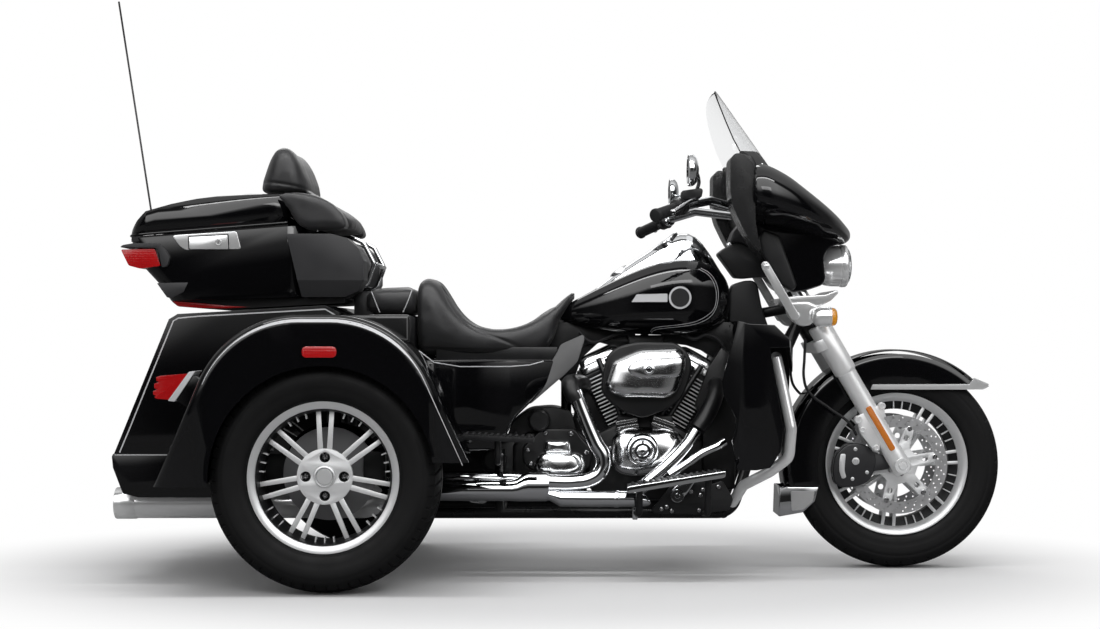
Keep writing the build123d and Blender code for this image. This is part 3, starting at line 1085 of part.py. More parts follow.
SHIELD_IN_Y = 170.0
SHIELD_OUT_Y = 375.0
SHIELD_GROOVE = ((634, 676), (692, 676), (730, 440), (724, 350), (690, 280), (620, 280), (664, 376), (672, 440))
SHIELD_PLAN = ((490, SHIELD_IN_Y), (610, SHIELD_IN_Y), (652, 205), (700, 275), (708, 320), (690, SHIELD_OUT_Y),
               (560, SHIELD_OUT_Y), (490, 340))
with BuildPart() as leg_shields:
    for side in (-1, 1):
        shield_y = sorted((side * SHIELD_IN_Y, side * SHIELD_OUT_Y))
        add_slab(SHIELD_SIDE, shield_y[0], shield_y[1])
    with BuildSketch(Plane.XY.offset(250)) as plan:
        for side in (-1, 1):
            Polygon(*[(x, side * y) for x, y in SHIELD_PLAN], align=None)
    extrude(plan.sketch, amount=600, mode=Mode.INTERSECT)
    for side in (-1, 1):
        groove_y = sorted((side * 285, side * (SHIELD_OUT_Y + 10)))
        add_slab(SHIELD_GROOVE, groove_y[0], groove_y[1], mode=Mode.SUBTRACT)
        add_bar((GUARD_POINTS[-1][0], side * GUARD_POINTS[-1][1], GUARD_POINTS[-1][2]),
                (GUARD_INNER[0], side * GUARD_INNER[1], GUARD_INNER[2]), GUARD_R + 2, mode=Mode.SUBTRACT)
        hollow_y = sorted((side * (SHIELD_IN_Y - 10), side * 340))
        add_slab([(480, 280), (600, 280), (600, 690), (480, 690)], hollow_y[0], hollow_y[1], mode=Mode.SUBTRACT)
        under_y = sorted((side * (SHIELD_IN_Y - 10), side * 315))
        add_slab([(560, 270), (700, 270), (700, 350), (560, 350)], under_y[0], under_y[1], mode=Mode.SUBTRACT)
written(leg_shields.part, "leg_shields")

BOARD_T = 14.0
with BuildPart() as footboards:
    for side in (-1, 1):
        rider_y = sorted((side * 275, side * 400))
        add_slab([(226, 262), (497, 305), (497, 305 + BOARD_T), (226, 262 + BOARD_T)], rider_y[0], rider_y[1])
        add_tube([(260, side * (RAIL_Y), RAIL_Z), (260, side * 300, RAIL_Z + 14), (260, side * 330, 268)], 10, 24)
        add_tube([(460, side * (RAIL_Y), RAIL_Z), (460, side * 300, RAIL_Z + 14), (460, side * 330, 300)], 10, 24)
        rear_y = sorted((side * 330, side * (BODY_HALF - 6)))
        add_slab([(-250, 414), (-46, 404), (-46, 404 + BOARD_T), (-250, 414 + BOARD_T)], rear_y[0], rear_y[1])
        add_tube([(UPRIGHT_X, side * RAIL_Y, 345), (UPRIGHT_X, side * 380, 345), (UPRIGHT_X, side * 380, 409)], 10, 24)
        add_bar((-170, side * RAIL_Y, RAIL_Z), (540, side * RAIL_Y, RAIL_Z), RAIL_R + SEAT_GAP, mode=Mode.SUBTRACT)
        add_bar((UPRIGHT_X, side * RAIL_Y, RAIL_Z), (UPRIGHT_X, side * RAIL_Y, PANEL_LOW_Z), RAIL_R + SEAT_GAP,
                mode=Mode.SUBTRACT)
written(footboards.part, "footboards")
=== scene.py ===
# %% [markdown]
# # A touring trike, finished in Blender
#
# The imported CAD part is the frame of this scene: every piece below sits on it and moves with it.
# The cells go from the stage and the finishes to the bodywork, the wheels, the seats, the trim, the
# fork, the engine and the exhaust. Drawings are in millimetres and meshes in metres; +X is forward
# and +Y is the rider's left.

import bmesh
import bpy
import json
from math import atan2, cos, pi, radians, sin, sqrt, tan
from mathutils import Matrix, Vector
from mathutils.bvhtree import BVHTree

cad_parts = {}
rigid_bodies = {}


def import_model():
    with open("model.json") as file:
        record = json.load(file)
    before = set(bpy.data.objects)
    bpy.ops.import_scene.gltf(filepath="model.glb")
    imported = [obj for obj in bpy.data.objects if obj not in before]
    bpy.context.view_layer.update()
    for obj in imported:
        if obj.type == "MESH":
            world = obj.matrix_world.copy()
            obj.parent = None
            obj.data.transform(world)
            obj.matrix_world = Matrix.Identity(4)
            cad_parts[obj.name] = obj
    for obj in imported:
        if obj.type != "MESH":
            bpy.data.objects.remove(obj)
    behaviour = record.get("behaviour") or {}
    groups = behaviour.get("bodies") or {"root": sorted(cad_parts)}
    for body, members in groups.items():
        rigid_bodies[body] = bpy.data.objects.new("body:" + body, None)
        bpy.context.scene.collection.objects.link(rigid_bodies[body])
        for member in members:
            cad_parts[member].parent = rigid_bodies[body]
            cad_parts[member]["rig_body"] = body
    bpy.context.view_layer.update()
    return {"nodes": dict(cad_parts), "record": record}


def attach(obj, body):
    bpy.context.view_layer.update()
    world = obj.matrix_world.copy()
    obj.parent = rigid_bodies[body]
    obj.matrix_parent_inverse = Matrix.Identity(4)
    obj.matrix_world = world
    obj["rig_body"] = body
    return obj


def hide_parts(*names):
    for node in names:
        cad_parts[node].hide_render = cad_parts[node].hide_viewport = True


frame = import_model()
NODES = frame["nodes"]
BODY_OF = {name: node["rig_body"] for name, node in NODES.items()}
SLOT_OF = {row["node"]: row["material_slot"] for row in frame["record"]["subparts"]}

# %% [markdown]
# ## The stage
#
# A studio for a black, chromed vehicle is made of what the paint reflects, more than of the light
# on it. The world gives soft even light, shows white to the camera, and gives mirrors a room: dim
# straight behind the camera, so that black lacquer stays black, with a long bright softbox above
# that and to its sides, which draws the pale bands along each shoulder, and white behind the
# vehicle.

# %% The world
SCENE = bpy.context.scene
SCENE.view_settings.view_transform = "Standard"


def maker_of(tree):
    """A maker of nodes for a tree. An input that is a socket is linked; any other is a value."""
    def make(kind, inputs=None, **settings):
        node = tree.nodes.new(kind)
        for key, value in settings.items():
            setattr(node, key, value)
        for key, value in (inputs or {}).items():
            if isinstance(value, bpy.types.NodeSocket):
                tree.links.new(value, node.inputs[key])
            else:
                node.inputs[key].default_value = value
        return node

    return make


def node_tree(owner):
    """Clears an owner's node tree, and gives the makers of its nodes and of its links."""
    owner.use_nodes = True
    owner.node_tree.nodes.clear()
    return maker_of(owner.node_tree), owner.node_tree.links.new


def ramp_of(make, stops):
    """A colour ramp with grey stops: (position, value)."""
    ramp = make("ShaderNodeValToRGB")
    ramp.color_ramp.interpolation = "LINEAR"
    elements = ramp.color_ramp.elements
    while len(elements) < len(stops):
        elements.new(0.5)
    for element, (place, value) in zip(elements, stops):
        element.position = place
        element.color = (value, value, value, 1)
    return ramp


def build_world():
    """White for the camera, a soft even light for diffuse rays, and a room for mirrors."""
    SCENE.world = world = bpy.data.worlds.new("studio_room")
    make, link = node_tree(world)

    def spread(source, low, high, to_low=0.0, to_high=1.0):
        """A value spread from one range to another, and held there."""
        return make("ShaderNodeMapRange", {"From Min": low, "From Max": high, "To Min": to_low,
            "To Max": to_high, "Value": source}, clamp=True).outputs[0]

    def math(operation, first, second):
        """Two values brought together."""
        return make("ShaderNodeMath", {0: first, 1: second}, operation=operation).outputs[0]

    def mixed(factor, first, second):
        """A mix of two colours, each a socket or a grey."""
        first, second = [(v, v, v, 1) if isinstance(v, float) else v for v in (first, second)]
        return make("ShaderNodeMix", {"Factor": factor, "A": first, "B": second},
            data_type="RGBA").outputs["Result"]

    direction = make("ShaderNodeTexCoord").outputs["Generated"]
    split = make("ShaderNodeSeparateXYZ", {0: direction})
    depth = ramp_of(make, [(0.0, 0.11), (0.022, 0.11), (0.055, 0.75), (0.32, 0.9), (0.36, 0.08),
        (0.46, 0.08), (0.52, 0.85), (0.75, 0.5), (1.0, 0.22)])
    link(spread(split.outputs["Y"], -1, 1), depth.inputs[0])
    height = ramp_of(make, [(0.0, 0.4), (0.16, 0.3), (0.28, 0.12), (0.53, 0.12), (0.60, 1.0),
        (1.0, 1.0)])
    link(spread(split.outputs["Z"], -1, 1), height.inputs[0])
    behind = spread(split.outputs["Y"], -0.15, 0.05)
    level = mixed(behind, height.outputs[0], 1.0)
    softbox = math("MULTIPLY", spread(split.outputs["Z"], 0.1, 0.35),
        spread(split.outputs["Y"], -0.3, -0.2, 1.0, 0.0))
    sideways = make("ShaderNodeMath", {0: split.outputs["X"]}, operation="ABSOLUTE")
    ends = spread(sideways.outputs[0], 0.62, 0.93, 1.0, 0.16)
    room = math("MULTIPLY", math("MULTIPLY", depth.outputs[0], level),
        spread(softbox, 0.0, 1.0, 1.0, 3.2))
    room = math("MULTIPLY", room, ends)
    ray = make("ShaderNodeLightPath")
    soft = mixed(ray.outputs["Is Glossy Ray"], 0.48, room)
    through = math("MAXIMUM", ray.outputs["Is Camera Ray"], ray.outputs["Is Transmission Ray"])
    background = make("ShaderNodeBackground")
    link(mixed(through, soft, 1.0), background.inputs["Color"])
    make("ShaderNodeOutputWorld", {"Surface": background.outputs[0]})


build_world()
print("world", SCENE.world.name)


# %% Lamps and camera
def soft_lamp(name, place, aim, size_x, size_y, power):
    """A rectangular soft lamp at a place, aimed at a point."""
    lamp = bpy.data.lights.new(name, "AREA")
    lamp.shape = "RECTANGLE"
    lamp.size, lamp.size_y, lamp.energy = size_x, size_y, power
    holder = bpy.data.objects.new(name, lamp)
    SCENE.collection.objects.link(holder)
    holder.location = place
    holder.rotation_euler = (Vector(aim) - Vector(place)).to_track_quat("-Z", "Y").to_euler()


soft_lamp("overhead_strip", (0.0, -0.9, 3.4), (0.0, -0.2, 0.5), 4.4, 0.30, 42)
soft_lamp("front_panel", (0.6, -4.2, 2.6), (0.0, 0.0, 0.5), 3.0, 0.9, 30)
soft_lamp("rear_panel", (-0.5, 3.2, 2.8), (0.0, 0.0, 0.6), 3.0, 1.2, 26)

EYE = Vector((0.0, -5.5, 0.712))
SENSOR = 36.0
FOCAL_PIXELS = 1780.0
FRAME_WIDTH, FRAME_HEIGHT = 1100, 629
HORIZON_ROW = 335.0
lens = bpy.data.cameras.new("side_view")
lens.sensor_fit = "HORIZONTAL"
lens.sensor_width = SENSOR
lens.lens = FOCAL_PIXELS / FRAME_WIDTH * SENSOR
lens.clip_end = 100
eye = bpy.data.objects.new("side_view", lens)
SCENE.collection.objects.link(eye)
eye.location = EYE
eye.rotation_euler = (pi / 2 + atan2(HORIZON_ROW - FRAME_HEIGHT / 2, FOCAL_PIXELS), 0, 0)
SCENE.camera = eye
print("lens", round(lens.lens, 2), "mm")


# %% [markdown]
# ## The floor
#
# The floor is a plain white sheet just under the tyres. It keeps the soft shadow near the vehicle
# and melts into the white behind it: towards its rim the sheet shows the same white as the world.

# %% The floor
FLOOR_Z = -0.0005  # just under the tyres


def build_floor():
    """A white sheet with a rim that fades into the background."""
    mesh = bpy.data.meshes.new("studio_floor")
    floor = bpy.data.objects.new("studio_floor", mesh)
    SCENE.collection.objects.link(floor)
    mesh.from_pydata([(x, y, FLOOR_Z) for x, y in ((-9, -2.2), (9, -2.2), (9, 9), (-9, 9))], [],
        [(0, 1, 2, 3)])
    paint = bpy.data.materials.new("studio_floor")
    make = node_tree(paint)[0]
    coords = make("ShaderNodeTexCoord")
    squeeze = make("ShaderNodeMapping", {"Scale": (1 / 2.1, 1 / 1.55, 1),
        0: coords.outputs["Object"]})
    length = make("ShaderNodeVectorMath", {0: squeeze.outputs[0]}, operation="LENGTH")
    fade = make("ShaderNodeMapRange", {"From Min": 0.55, "From Max": 1.0,
        "Value": length.outputs["Value"]}, clamp=True, interpolation_type="SMOOTHSTEP")
    ray = make("ShaderNodeLightPath")
    glossy = ray.outputs["Is Glossy Ray"]
    seen = make("ShaderNodeMath", {0: ray.outputs["Is Camera Ray"],
        1: ray.outputs["Is Transmission Ray"]}, operation="MAXIMUM")
    all_seen = make("ShaderNodeMath", {0: seen.outputs[0], 1: glossy}, operation="MAXIMUM")
    weight = make("ShaderNodeMath", {0: fade.outputs[0], 1: all_seen.outputs[0]},
        operation="MULTIPLY")
    tone = make("ShaderNodeMix", {"A": (0.93, 0.93, 0.935, 1), "B": (0.20, 0.20, 0.205, 1),
        "Factor": glossy}, data_type="RGBA")
    sheet = make("ShaderNodeBsdfDiffuse", {"Color": tone.outputs["Result"]})
    strength = make("ShaderNodeMapRange", {"To Min": 1.0, "To Max": 0.14, "Value": glossy})
    white = make("ShaderNodeEmission", {"Color": (1, 1, 1, 1), "Strength": strength.outputs[0]})
    mix = make("ShaderNodeMixShader", {0: weight.outputs[0], 1: sheet.outputs[0],
        2: white.outputs[0]})
    make("ShaderNodeOutputMaterial", {"Surface": mix.outputs[0]})
    mesh.materials.append(paint)


build_floor()
print("floor ready")


# %% [markdown]
# ## The finishes
#
# Each finish is one shader with the detail the real surface has: the faint orange peel of lacquer,
# the haze on chrome, the speckle of a cast wheel, the grain of vinyl. The patterns read Object
# coordinates, so they keep their size on every piece and in every view.

# %% A helper for finishes
FINISH = {}


def finish(name, color, rough, metal=0.0, specular=0.5, coat=0.0, coat_rough=0.03, grain=0.0,
        grain_size=0.002, kind="noise", haze=0.0, haze_size=0.05, shade=0.0, **sockets):
    """A named finish: a base colour that varies, a bump grain and a haze in its roughness."""
    paint = bpy.data.materials.new(name)
    make, link = node_tree(paint)
    shader = make("ShaderNodeBsdfPrincipled", {"Base Color": (*color, 1), "Roughness": rough,
        "Metallic": metal, "Specular IOR Level": specular, "Coat Weight": coat,
        "Coat Roughness": coat_rough, **{socket.replace("_", " "): value
        for socket, value in sockets.items()}})
    make("ShaderNodeOutputMaterial", {"Surface": shader.outputs[0]})
    coords = make("ShaderNodeTexCoord").outputs["Object"]
    if grain > 0:
        if kind == "leather":
            pattern = make("ShaderNodeTexVoronoi", feature="DISTANCE_TO_EDGE")
        else:
            pattern = make("ShaderNodeTexNoise", {"Detail": 3})
        pattern.inputs["Scale"].default_value = 1 / grain_size
        link(coords, pattern.inputs["Vector"])
        bump = make("ShaderNodeBump", {"Strength": 1.0, "Distance": grain,
            "Height": pattern.outputs[0]})
        link(bump.outputs[0], shader.inputs["Normal"])
    cloud = make("ShaderNodeTexNoise", {"Scale": 1 / haze_size, "Detail": 4, "Vector": coords})
    if haze > 0:
        spread = make("ShaderNodeMapRange", {"From Min": 0.3, "From Max": 0.7,
            "To Min": max(0.0, rough - haze), "To Max": rough + haze, "Value": cloud.outputs[0]})
        link(spread.outputs[0], shader.inputs["Roughness"])
    if shade > 0:
        tone = make("ShaderNodeMix", {"A": (*[c * (1 - shade) for c in color], 1),
            "B": (*[min(1, c * (1 + shade)) for c in color], 1), "Factor": cloud.outputs[0]},
            data_type="RGBA")
        link(tone.outputs["Result"], shader.inputs["Base Color"])
    FINISH[name] = paint
    return paint


# %% Paint, metal, plastic, rubber and vinyl
finish("gloss_black", (0.003, 0.003, 0.0036), 0.05, specular=0.62, grain=0.00002, grain_size=0.006,
    haze=0.02, haze_size=0.12)
finish("chrome", (0.86, 0.87, 0.885), 0.055, metal=1.0, haze=0.03, haze_size=0.03, grain=0.00001,
    grain_size=0.01)
finish("cast_wheel", (0.76, 0.765, 0.77), 0.44, metal=0.45, haze=0.015, haze_size=0.02,
    grain=0.00002, grain_size=0.0016, shade=0.03)
finish("machined_rim", (0.72, 0.725, 0.73), 0.38, metal=0.6, haze=0.02, haze_size=0.02,
    grain=0.00001, grain_size=0.001)
# Chrome given a white diffuse share: a painted reflection, so that it reads bright as if it
# mirrored the white studio.
finish("chrome_with_painted_reflection", (0.93, 0.935, 0.94), 0.14, metal=0.55, haze=0.01, haze_size=0.03)
finish("disc_dark", (0.19, 0.19, 0.195), 0.45, metal=0.3, haze=0.04, haze_size=0.03, shade=0.05)
finish("fork_satin", (0.86, 0.865, 0.87), 0.34, metal=0.35, haze=0.01, haze_size=0.02)
finish("disc_steel", (0.60, 0.60, 0.61), 0.36, metal=0.85, haze=0.04, haze_size=0.02, shade=0.03)
finish("frame_black", (0.006, 0.006, 0.0065), 0.30, specular=0.35, grain=0.00003, grain_size=0.002,
    haze=0.06)
finish("caliper_black", (0.022, 0.022, 0.024), 0.38, specular=0.45, grain=0.00005,
    grain_size=0.0014, haze=0.06)
finish("engine_black", (0.007, 0.007, 0.0076), 0.40, specular=0.4, grain=0.0001, grain_size=0.0022,
    haze=0.08)
finish("trim_black", (0.010, 0.010, 0.011), 0.42, specular=0.4, grain=0.00008, grain_size=0.0012,
    haze=0.05, shade=0.15)
finish("satin_panel", (0.030, 0.030, 0.032), 0.46, specular=0.4, grain=0.00006, grain_size=0.0012,
    haze=0.05, shade=0.10)
finish("rubber", (0.014, 0.014, 0.015), 0.62, specular=0.3, grain=0.0001, grain_size=0.0015,
    shade=0.2)
finish("tyre", (0.0035, 0.0035, 0.0038), 0.62, specular=0.20, grain=0.00018, grain_size=0.003,
    haze=0.08, haze_size=0.06, shade=0.25)
finish("seat_black", (0.020, 0.020, 0.0212), 0.42, specular=0.5, grain=0.00022, grain_size=0.0028,
    kind="leather", haze=0.07, haze_size=0.05, shade=0.18, Sheen_Weight=0.06)
finish("steel_bolt", (0.60, 0.60, 0.61), 0.25, metal=1.0, haze=0.08, haze_size=0.004)
# Silver for real trim and badges, and for the stripes that paint highlights on the bodywork.
finish("silver_trim_and_highlight", (0.66, 0.665, 0.68), 0.42, metal=0.1)
finish("polished_alloy", (0.87, 0.875, 0.885), 0.17, metal=1.0, haze=0.03, haze_size=0.03)
finish("fin_edge", (0.60, 0.60, 0.61), 0.42, metal=0.6, haze=0.06, haze_size=0.01)
finish("deflector_grey", (0.075, 0.075, 0.077), 0.42, haze=0.05, haze_size=0.03)
finish("lobe_black", (0.012, 0.012, 0.0125), 0.26, haze=0.03, haze_size=0.05)
finish("mirror_glass", (0.80, 0.82, 0.84), 0.01, metal=1.0, haze=0.004)
finish("reflector_amber", (0.62, 0.18, 0.015), 0.22, specular=0.5, grain=0.0004, grain_size=0.0022,
    kind="leather")
finish("grey_pad", (0.36, 0.36, 0.365), 0.5, specular=0.4, grain=0.00005, grain_size=0.001,
    shade=0.06)
print("finishes", len(FINISH))


# %% [markdown]
# ## Lenses and the screen
#
# A moulded lamp lens is clear plastic with prisms inside. Seen from outside it is a deep colour
# with a grid of small bright facets, so the shader adds a stepped bump under a smooth coat. The
# wind screen is clear acrylic: it lets the light through and greys it a little.

# %% Lenses and glass
def lens_finish(name, color, cell):
    """A coloured lens with moulded prisms under a smooth outer skin."""
    paint = finish(name, color, 0.12, specular=0.5, coat=0.8, coat_rough=0.02)
    tree = paint.node_tree
    shader = next(n for n in tree.nodes if n.type == "BSDF_PRINCIPLED")
    coords = next(n for n in tree.nodes if n.type == "TEX_COORD")
    make = maker_of(tree)
    prisms = make("ShaderNodeTexVoronoi", {"Randomness": 0.0, "Scale": 1 / cell,
        "Vector": coords.outputs["Object"]}, distance="CHEBYCHEV")
    bump = make("ShaderNodeBump", {"Distance": cell * 0.18, "Height": prisms.outputs["Distance"]})
    tree.links.new(bump.outputs[0], shader.inputs["Normal"])
    tone = make("ShaderNodeMix", {"A": (*color, 1), "B": (*[c * 0.45 for c in color], 1),
        "Factor": prisms.outputs["Distance"]}, data_type="RGBA")
    tree.links.new(tone.outputs["Result"], shader.inputs["Base Color"])


lens_finish("red_lens", (0.62, 0.006, 0.008), 0.007)
lens_finish("amber_lens", (1.0, 0.40, 0.015), 0.006)
finish("clear_screen", (0.90, 0.905, 0.91), 0.0, specular=0.5, Transmission_Weight=1.0, IOR=1.12)
finish("lamp_glass", (0.95, 0.96, 0.97), 0.02, specular=0.5, Transmission_Weight=1.0, IOR=1.3,
    grain=0.0002, grain_size=0.01)
print("finishes", len(FINISH))


# %% [markdown]
# ## Turning CAD facets into surfaces
#
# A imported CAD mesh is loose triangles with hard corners. A pressed or moulded panel has a small
# radius on every edge, and that radius is what catches the light. So each piece is a copy of its
# node: its doubles are merged, flat facets are joined, the corners get a bevel, and the shading is
# smooth except across sharp edges.

# %% A helper for refined copies
def new_object(name, mesh):
    """An object at the origin that holds a mesh."""
    made = bpy.data.objects.new(name, mesh)
    SCENE.collection.objects.link(made)
    return made


def merged_copy(node_name, name, flat=0.6):
    """A copy of a CAD node's mesh with its doubles merged and its flat facets joined."""
    mesh = NODES[node_name].data.copy()
    mesh.name = name
    work = bmesh.new()
    work.from_mesh(mesh)
    bmesh.ops.remove_doubles(work, verts=work.verts, dist=2e-6)
    bmesh.ops.dissolve_degenerate(work, edges=work.edges, dist=1e-6)
    if flat > 0:
        bmesh.ops.dissolve_limit(work, angle_limit=radians(flat), verts=work.verts,
            edges=work.edges)
    work.to_mesh(mesh)
    work.free()
    mesh.materials.clear()
    return mesh


def smooth_shading(mesh, angle=32.0):
    """Smooth shading that keeps edges sharper than an angle."""
    mesh.shade_smooth()
    mesh.set_sharp_from_angle(angle=radians(angle))


def bevel_mesh(obj, width, segments=2, angle=35.0):
    """Rounds an object's edges, and bakes the bevel into its mesh."""
    step = obj.modifiers.new("edge_radius", "BEVEL")
    step.width = width
    step.segments = segments
    step.limit_method = "ANGLE"
    step.angle_limit = radians(angle)
    step.use_clamp_overlap = True
    step.miter_outer = "MITER_ARC"
    bake(obj)


def bake(obj):
    """Replaces an object's mesh by its evaluated one, and removes its modifiers."""
    graph = bpy.context.evaluated_depsgraph_get()
    made = bpy.data.meshes.new_from_object(obj.evaluated_get(graph))
    old = obj.data
    obj.modifiers.clear()
    obj.data = made
    made.name = old.name
    bpy.data.meshes.remove(old)


def refined(node_name, material, bevel, segments, flat):
    """A refined copy that stands for a CAD node, in its place and on its body."""
    mesh = merged_copy(node_name, node_name + "_skin", flat)
    piece = new_object(node_name + "_skin", mesh)
    piece.data.materials.append(FINISH[material or SLOT_OF[node_name]])
    if bevel > 0:
        bevel_mesh(piece, bevel, segments)
    smooth_shading(piece.data)
    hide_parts(node_name)
    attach(piece, BODY_OF[node_name])
    return piece


# %% Every node as a refined copy
PLAIN = (0.0, 2, 0.0)
# A row is the bevel in metres, its segments and the facet joining in degrees.
REFINE = {"fuel_tank": PLAIN, "front_fender": (0.0015, 2, 0.0), "rear_fenders": PLAIN,
    "trunk_body": (0.010, 3, 0.6), "trunk_door": (0.004, 3, 0.6), "rear_valance": (0.006, 3, 0.6),
    "side_panels": (0.010, 3, 0.6), "box_case": (0.004, 2, 0.0), "box_lid": PLAIN,
    "leg_shields": (0.012, 4, 0.6), "primary_cover": (0.008, 3, 0.6),
    "air_filter_base": (0.005, 2, 0.6), "crankcase": (0.010, 3, 0.6), "gearbox": (0.010, 3, 0.6),
    "cylinder_rear": PLAIN, "cylinder_front": PLAIN, "dash_panel": (0.008, 3, 0.6),
    "handlebar": PLAIN, "grips": (0.002, 2, 0.0), "fender_flap": (0.003, 2, 0.6),
    "fork_yokes": (0.004, 2, 0.0), "frame": PLAIN, "rear_axle": (0.002, 2, 0.0),
    "engine_guard": PLAIN, "footboards": (0.002, 2, 0.0), "backrest_rail": PLAIN, "antenna": PLAIN}
MATERIAL = {"fork_yokes": "fork_satin", "engine_guard": "chrome_with_painted_reflection"}
SKIN = {}
for node_name, (width, segments, flat) in REFINE.items():
    SKIN[node_name] = refined(node_name, MATERIAL.get(node_name), width, segments, flat)
LID_WAIST, LID_DOME = 1.03, 0.90  # the lid's dome is lowered above its waist
VALANCE_REAR, VALANCE_FOOT = -1.246, 0.33  # the valance's rear face leans in below its foot
SHIELD_HEM, SHIELD_TUCK = 0.34, 0.35  # the leg shields' hem is drawn up
for vertex in SKIN["box_lid"].data.vertices:
    if vertex.co.z > LID_WAIST:
        vertex.co.z = LID_WAIST + (vertex.co.z - LID_WAIST) * LID_DOME
smooth_shading(SKIN["box_lid"].data, 55)
for vertex in SKIN["rear_valance"].data.vertices:
    if vertex.co.x < -1.15:
        vertex.co.x = max(vertex.co.x, VALANCE_REAR + max(0.0, VALANCE_FOOT - vertex.co.z) * 0.25)
for vertex in SKIN["leg_shields"].data.vertices:
    if vertex.co.z < SHIELD_HEM:
        vertex.co.z = SHIELD_HEM + (vertex.co.z - SHIELD_HEM) * SHIELD_TUCK
print("refined", len(SKIN), "left", sorted(set(NODES) - set(REFINE)))


# %% [markdown]
# ## A small workshop
#
# Most fittings come from five ways of working: a plate cut from a side drawing, a turned part, a
# bent tube, a form lofted through sections, and a stripe laid on a panel. Each helper takes
# millimetres in the vehicle's frame, puts the place into the mesh, and hands back one object that
# rides on its body.

# %% Plates, turned parts, tubes, lofts
MM = 0.001


def settle(piece, finish_name, body, replaces=(), angle=32.0):
    """Gives a finished mesh its finish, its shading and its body."""
    piece.data.materials.clear()
    piece.data.materials.append(FINISH[finish_name])
    smooth_shading(piece.data, angle)
    if replaces:
        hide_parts(*replaces)
    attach(piece, body)
    return piece


def mesh_of(name, verts, faces):
    """A mesh from vertices in millimetres, closed and with its normals outwards."""
    mesh = bpy.data.meshes.new(name)
    mesh.from_pydata([[c * MM for c in v] for v in verts], [], faces)
    work = bmesh.new()
    work.from_mesh(mesh)
    bmesh.ops.remove_doubles(work, verts=work.verts, dist=1e-6)
    bmesh.ops.recalc_face_normals(work, faces=work.faces)
    work.to_mesh(mesh)
    work.free()
    return mesh


def joined(name, pieces):
    """Several objects as one."""
    work = bmesh.new()
    for piece in pieces:
        work.from_mesh(piece.data)
    mesh = bpy.data.meshes.new(name)
    work.to_mesh(mesh)
    work.free()
    for piece in pieces:
        old = piece.data
        bpy.data.objects.remove(piece)
        bpy.data.meshes.remove(old)
    return new_object(name, mesh)


def flat_plate(name, loops, y_low, y_high, bevel=0.0, segments=2):
    """A plate between two planes across the vehicle. Inner side-view outlines are holes."""
    drawing = bpy.data.curves.new(name, "CURVE")
    drawing.dimensions = "2D"
    drawing.fill_mode = "BOTH"
    for loop in loops:
        spline = drawing.splines.new("POLY")
        spline.points.add(len(loop) - 1)
        for point, (x, z) in zip(spline.points, loop):
            point.co = (x * MM, z * MM, 0, 1)
        spline.use_cyclic_u = True
    drawing.extrude = abs(y_high - y_low) / 2 * MM
    holder = new_object(name + "_drawing", drawing)
    mesh = bpy.data.meshes.new_from_object(holder.evaluated_get(
        bpy.context.evaluated_depsgraph_get()))
    bpy.data.objects.remove(holder)
    bpy.data.curves.remove(drawing)
    mesh.transform(Matrix(((1, 0, 0, 0), (0, 0, -1, (y_low + y_high) / 2 * MM), (0, 1, 0, 0),
        (0, 0, 0, 1))))
    work = bmesh.new()
    work.from_mesh(mesh)
    bmesh.ops.remove_doubles(work, verts=work.verts, dist=1e-6)
    bmesh.ops.dissolve_limit(work, angle_limit=radians(0.2), verts=work.verts, edges=work.edges)
    bmesh.ops.recalc_face_normals(work, faces=work.faces)
    work.to_mesh(mesh)
    work.free()
    mesh.name = name
    piece = new_object(name, mesh)
    if bevel > 0:
        bevel_mesh(piece, bevel * MM, segments, 30)
    return piece


def turned(name, profile, centre, axis=(0, 1, 0), segments=64):
    """A turned part: profile rows are (radius, distance along the axis from the centre)."""
    axis = Vector(axis).normalized()
    across = axis.orthogonal().normalized()
    other = axis.cross(across)
    verts, faces = [], []
    for step in range(segments):
        angle = 2 * pi * step / segments
        spoke = across * cos(angle) + other * sin(angle)
        for radius, along in profile:
            verts.append(Vector(centre) + axis * along + spoke * radius)
    rows = len(profile)
    for step in range(segments):
        after = (step + 1) % segments
        for row in range(rows - 1):
            faces.append((step * rows + row, after * rows + row, after * rows + row + 1,
                step * rows + row + 1))
    return new_object(name, mesh_of(name, verts, faces))


def tube(name, points, radius, smooth=True, sides=6):
    """A round tube or hose along a smooth line through its points."""
    line = bpy.data.curves.new(name, "CURVE")
    line.dimensions = "3D"
    line.bevel_depth = radius * MM
    line.bevel_resolution = sides
    line.use_fill_caps = True
    line.resolution_u = 10
    if smooth and len(points) > 2:
        spline = line.splines.new("BEZIER")
        spline.bezier_points.add(len(points) - 1)
        for knot, place in zip(spline.bezier_points, points):
            knot.co = [c * MM for c in place]
            knot.handle_left_type = knot.handle_right_type = "AUTO"
    else:
        spline = line.splines.new("POLY")
        spline.points.add(len(points) - 1)
        for knot, place in zip(spline.points, points):
            knot.co = (*[c * MM for c in place], 1)
    holder = new_object(name + "_line", line)
    mesh = bpy.data.meshes.new_from_object(holder.evaluated_get(
        bpy.context.evaluated_depsgraph_get()))
    bpy.data.objects.remove(holder)
    bpy.data.curves.remove(line)
    mesh.name = name
    return new_object(name, mesh)


def lofted(name, rings):
    """A form through rings with the same number of points."""
    count = len(rings[0])
    verts = [point for ring in rings for point in ring]
    faces = []
    for row in range(len(rings) - 1):
        for step in range(count):
            after = (step + 1) % count
            faces.append((row * count + step, row * count + after, (row + 1) * count + after,
                (row + 1) * count + step))
    faces.append(tuple(range(count)))
    faces.append(tuple(reversed(range((len(rings) - 1) * count, len(rings) * count))))
    return new_object(name, mesh_of(name, verts, faces))


CORNER_SHARE = 0.48  # a corner takes at most this share of each edge it joins


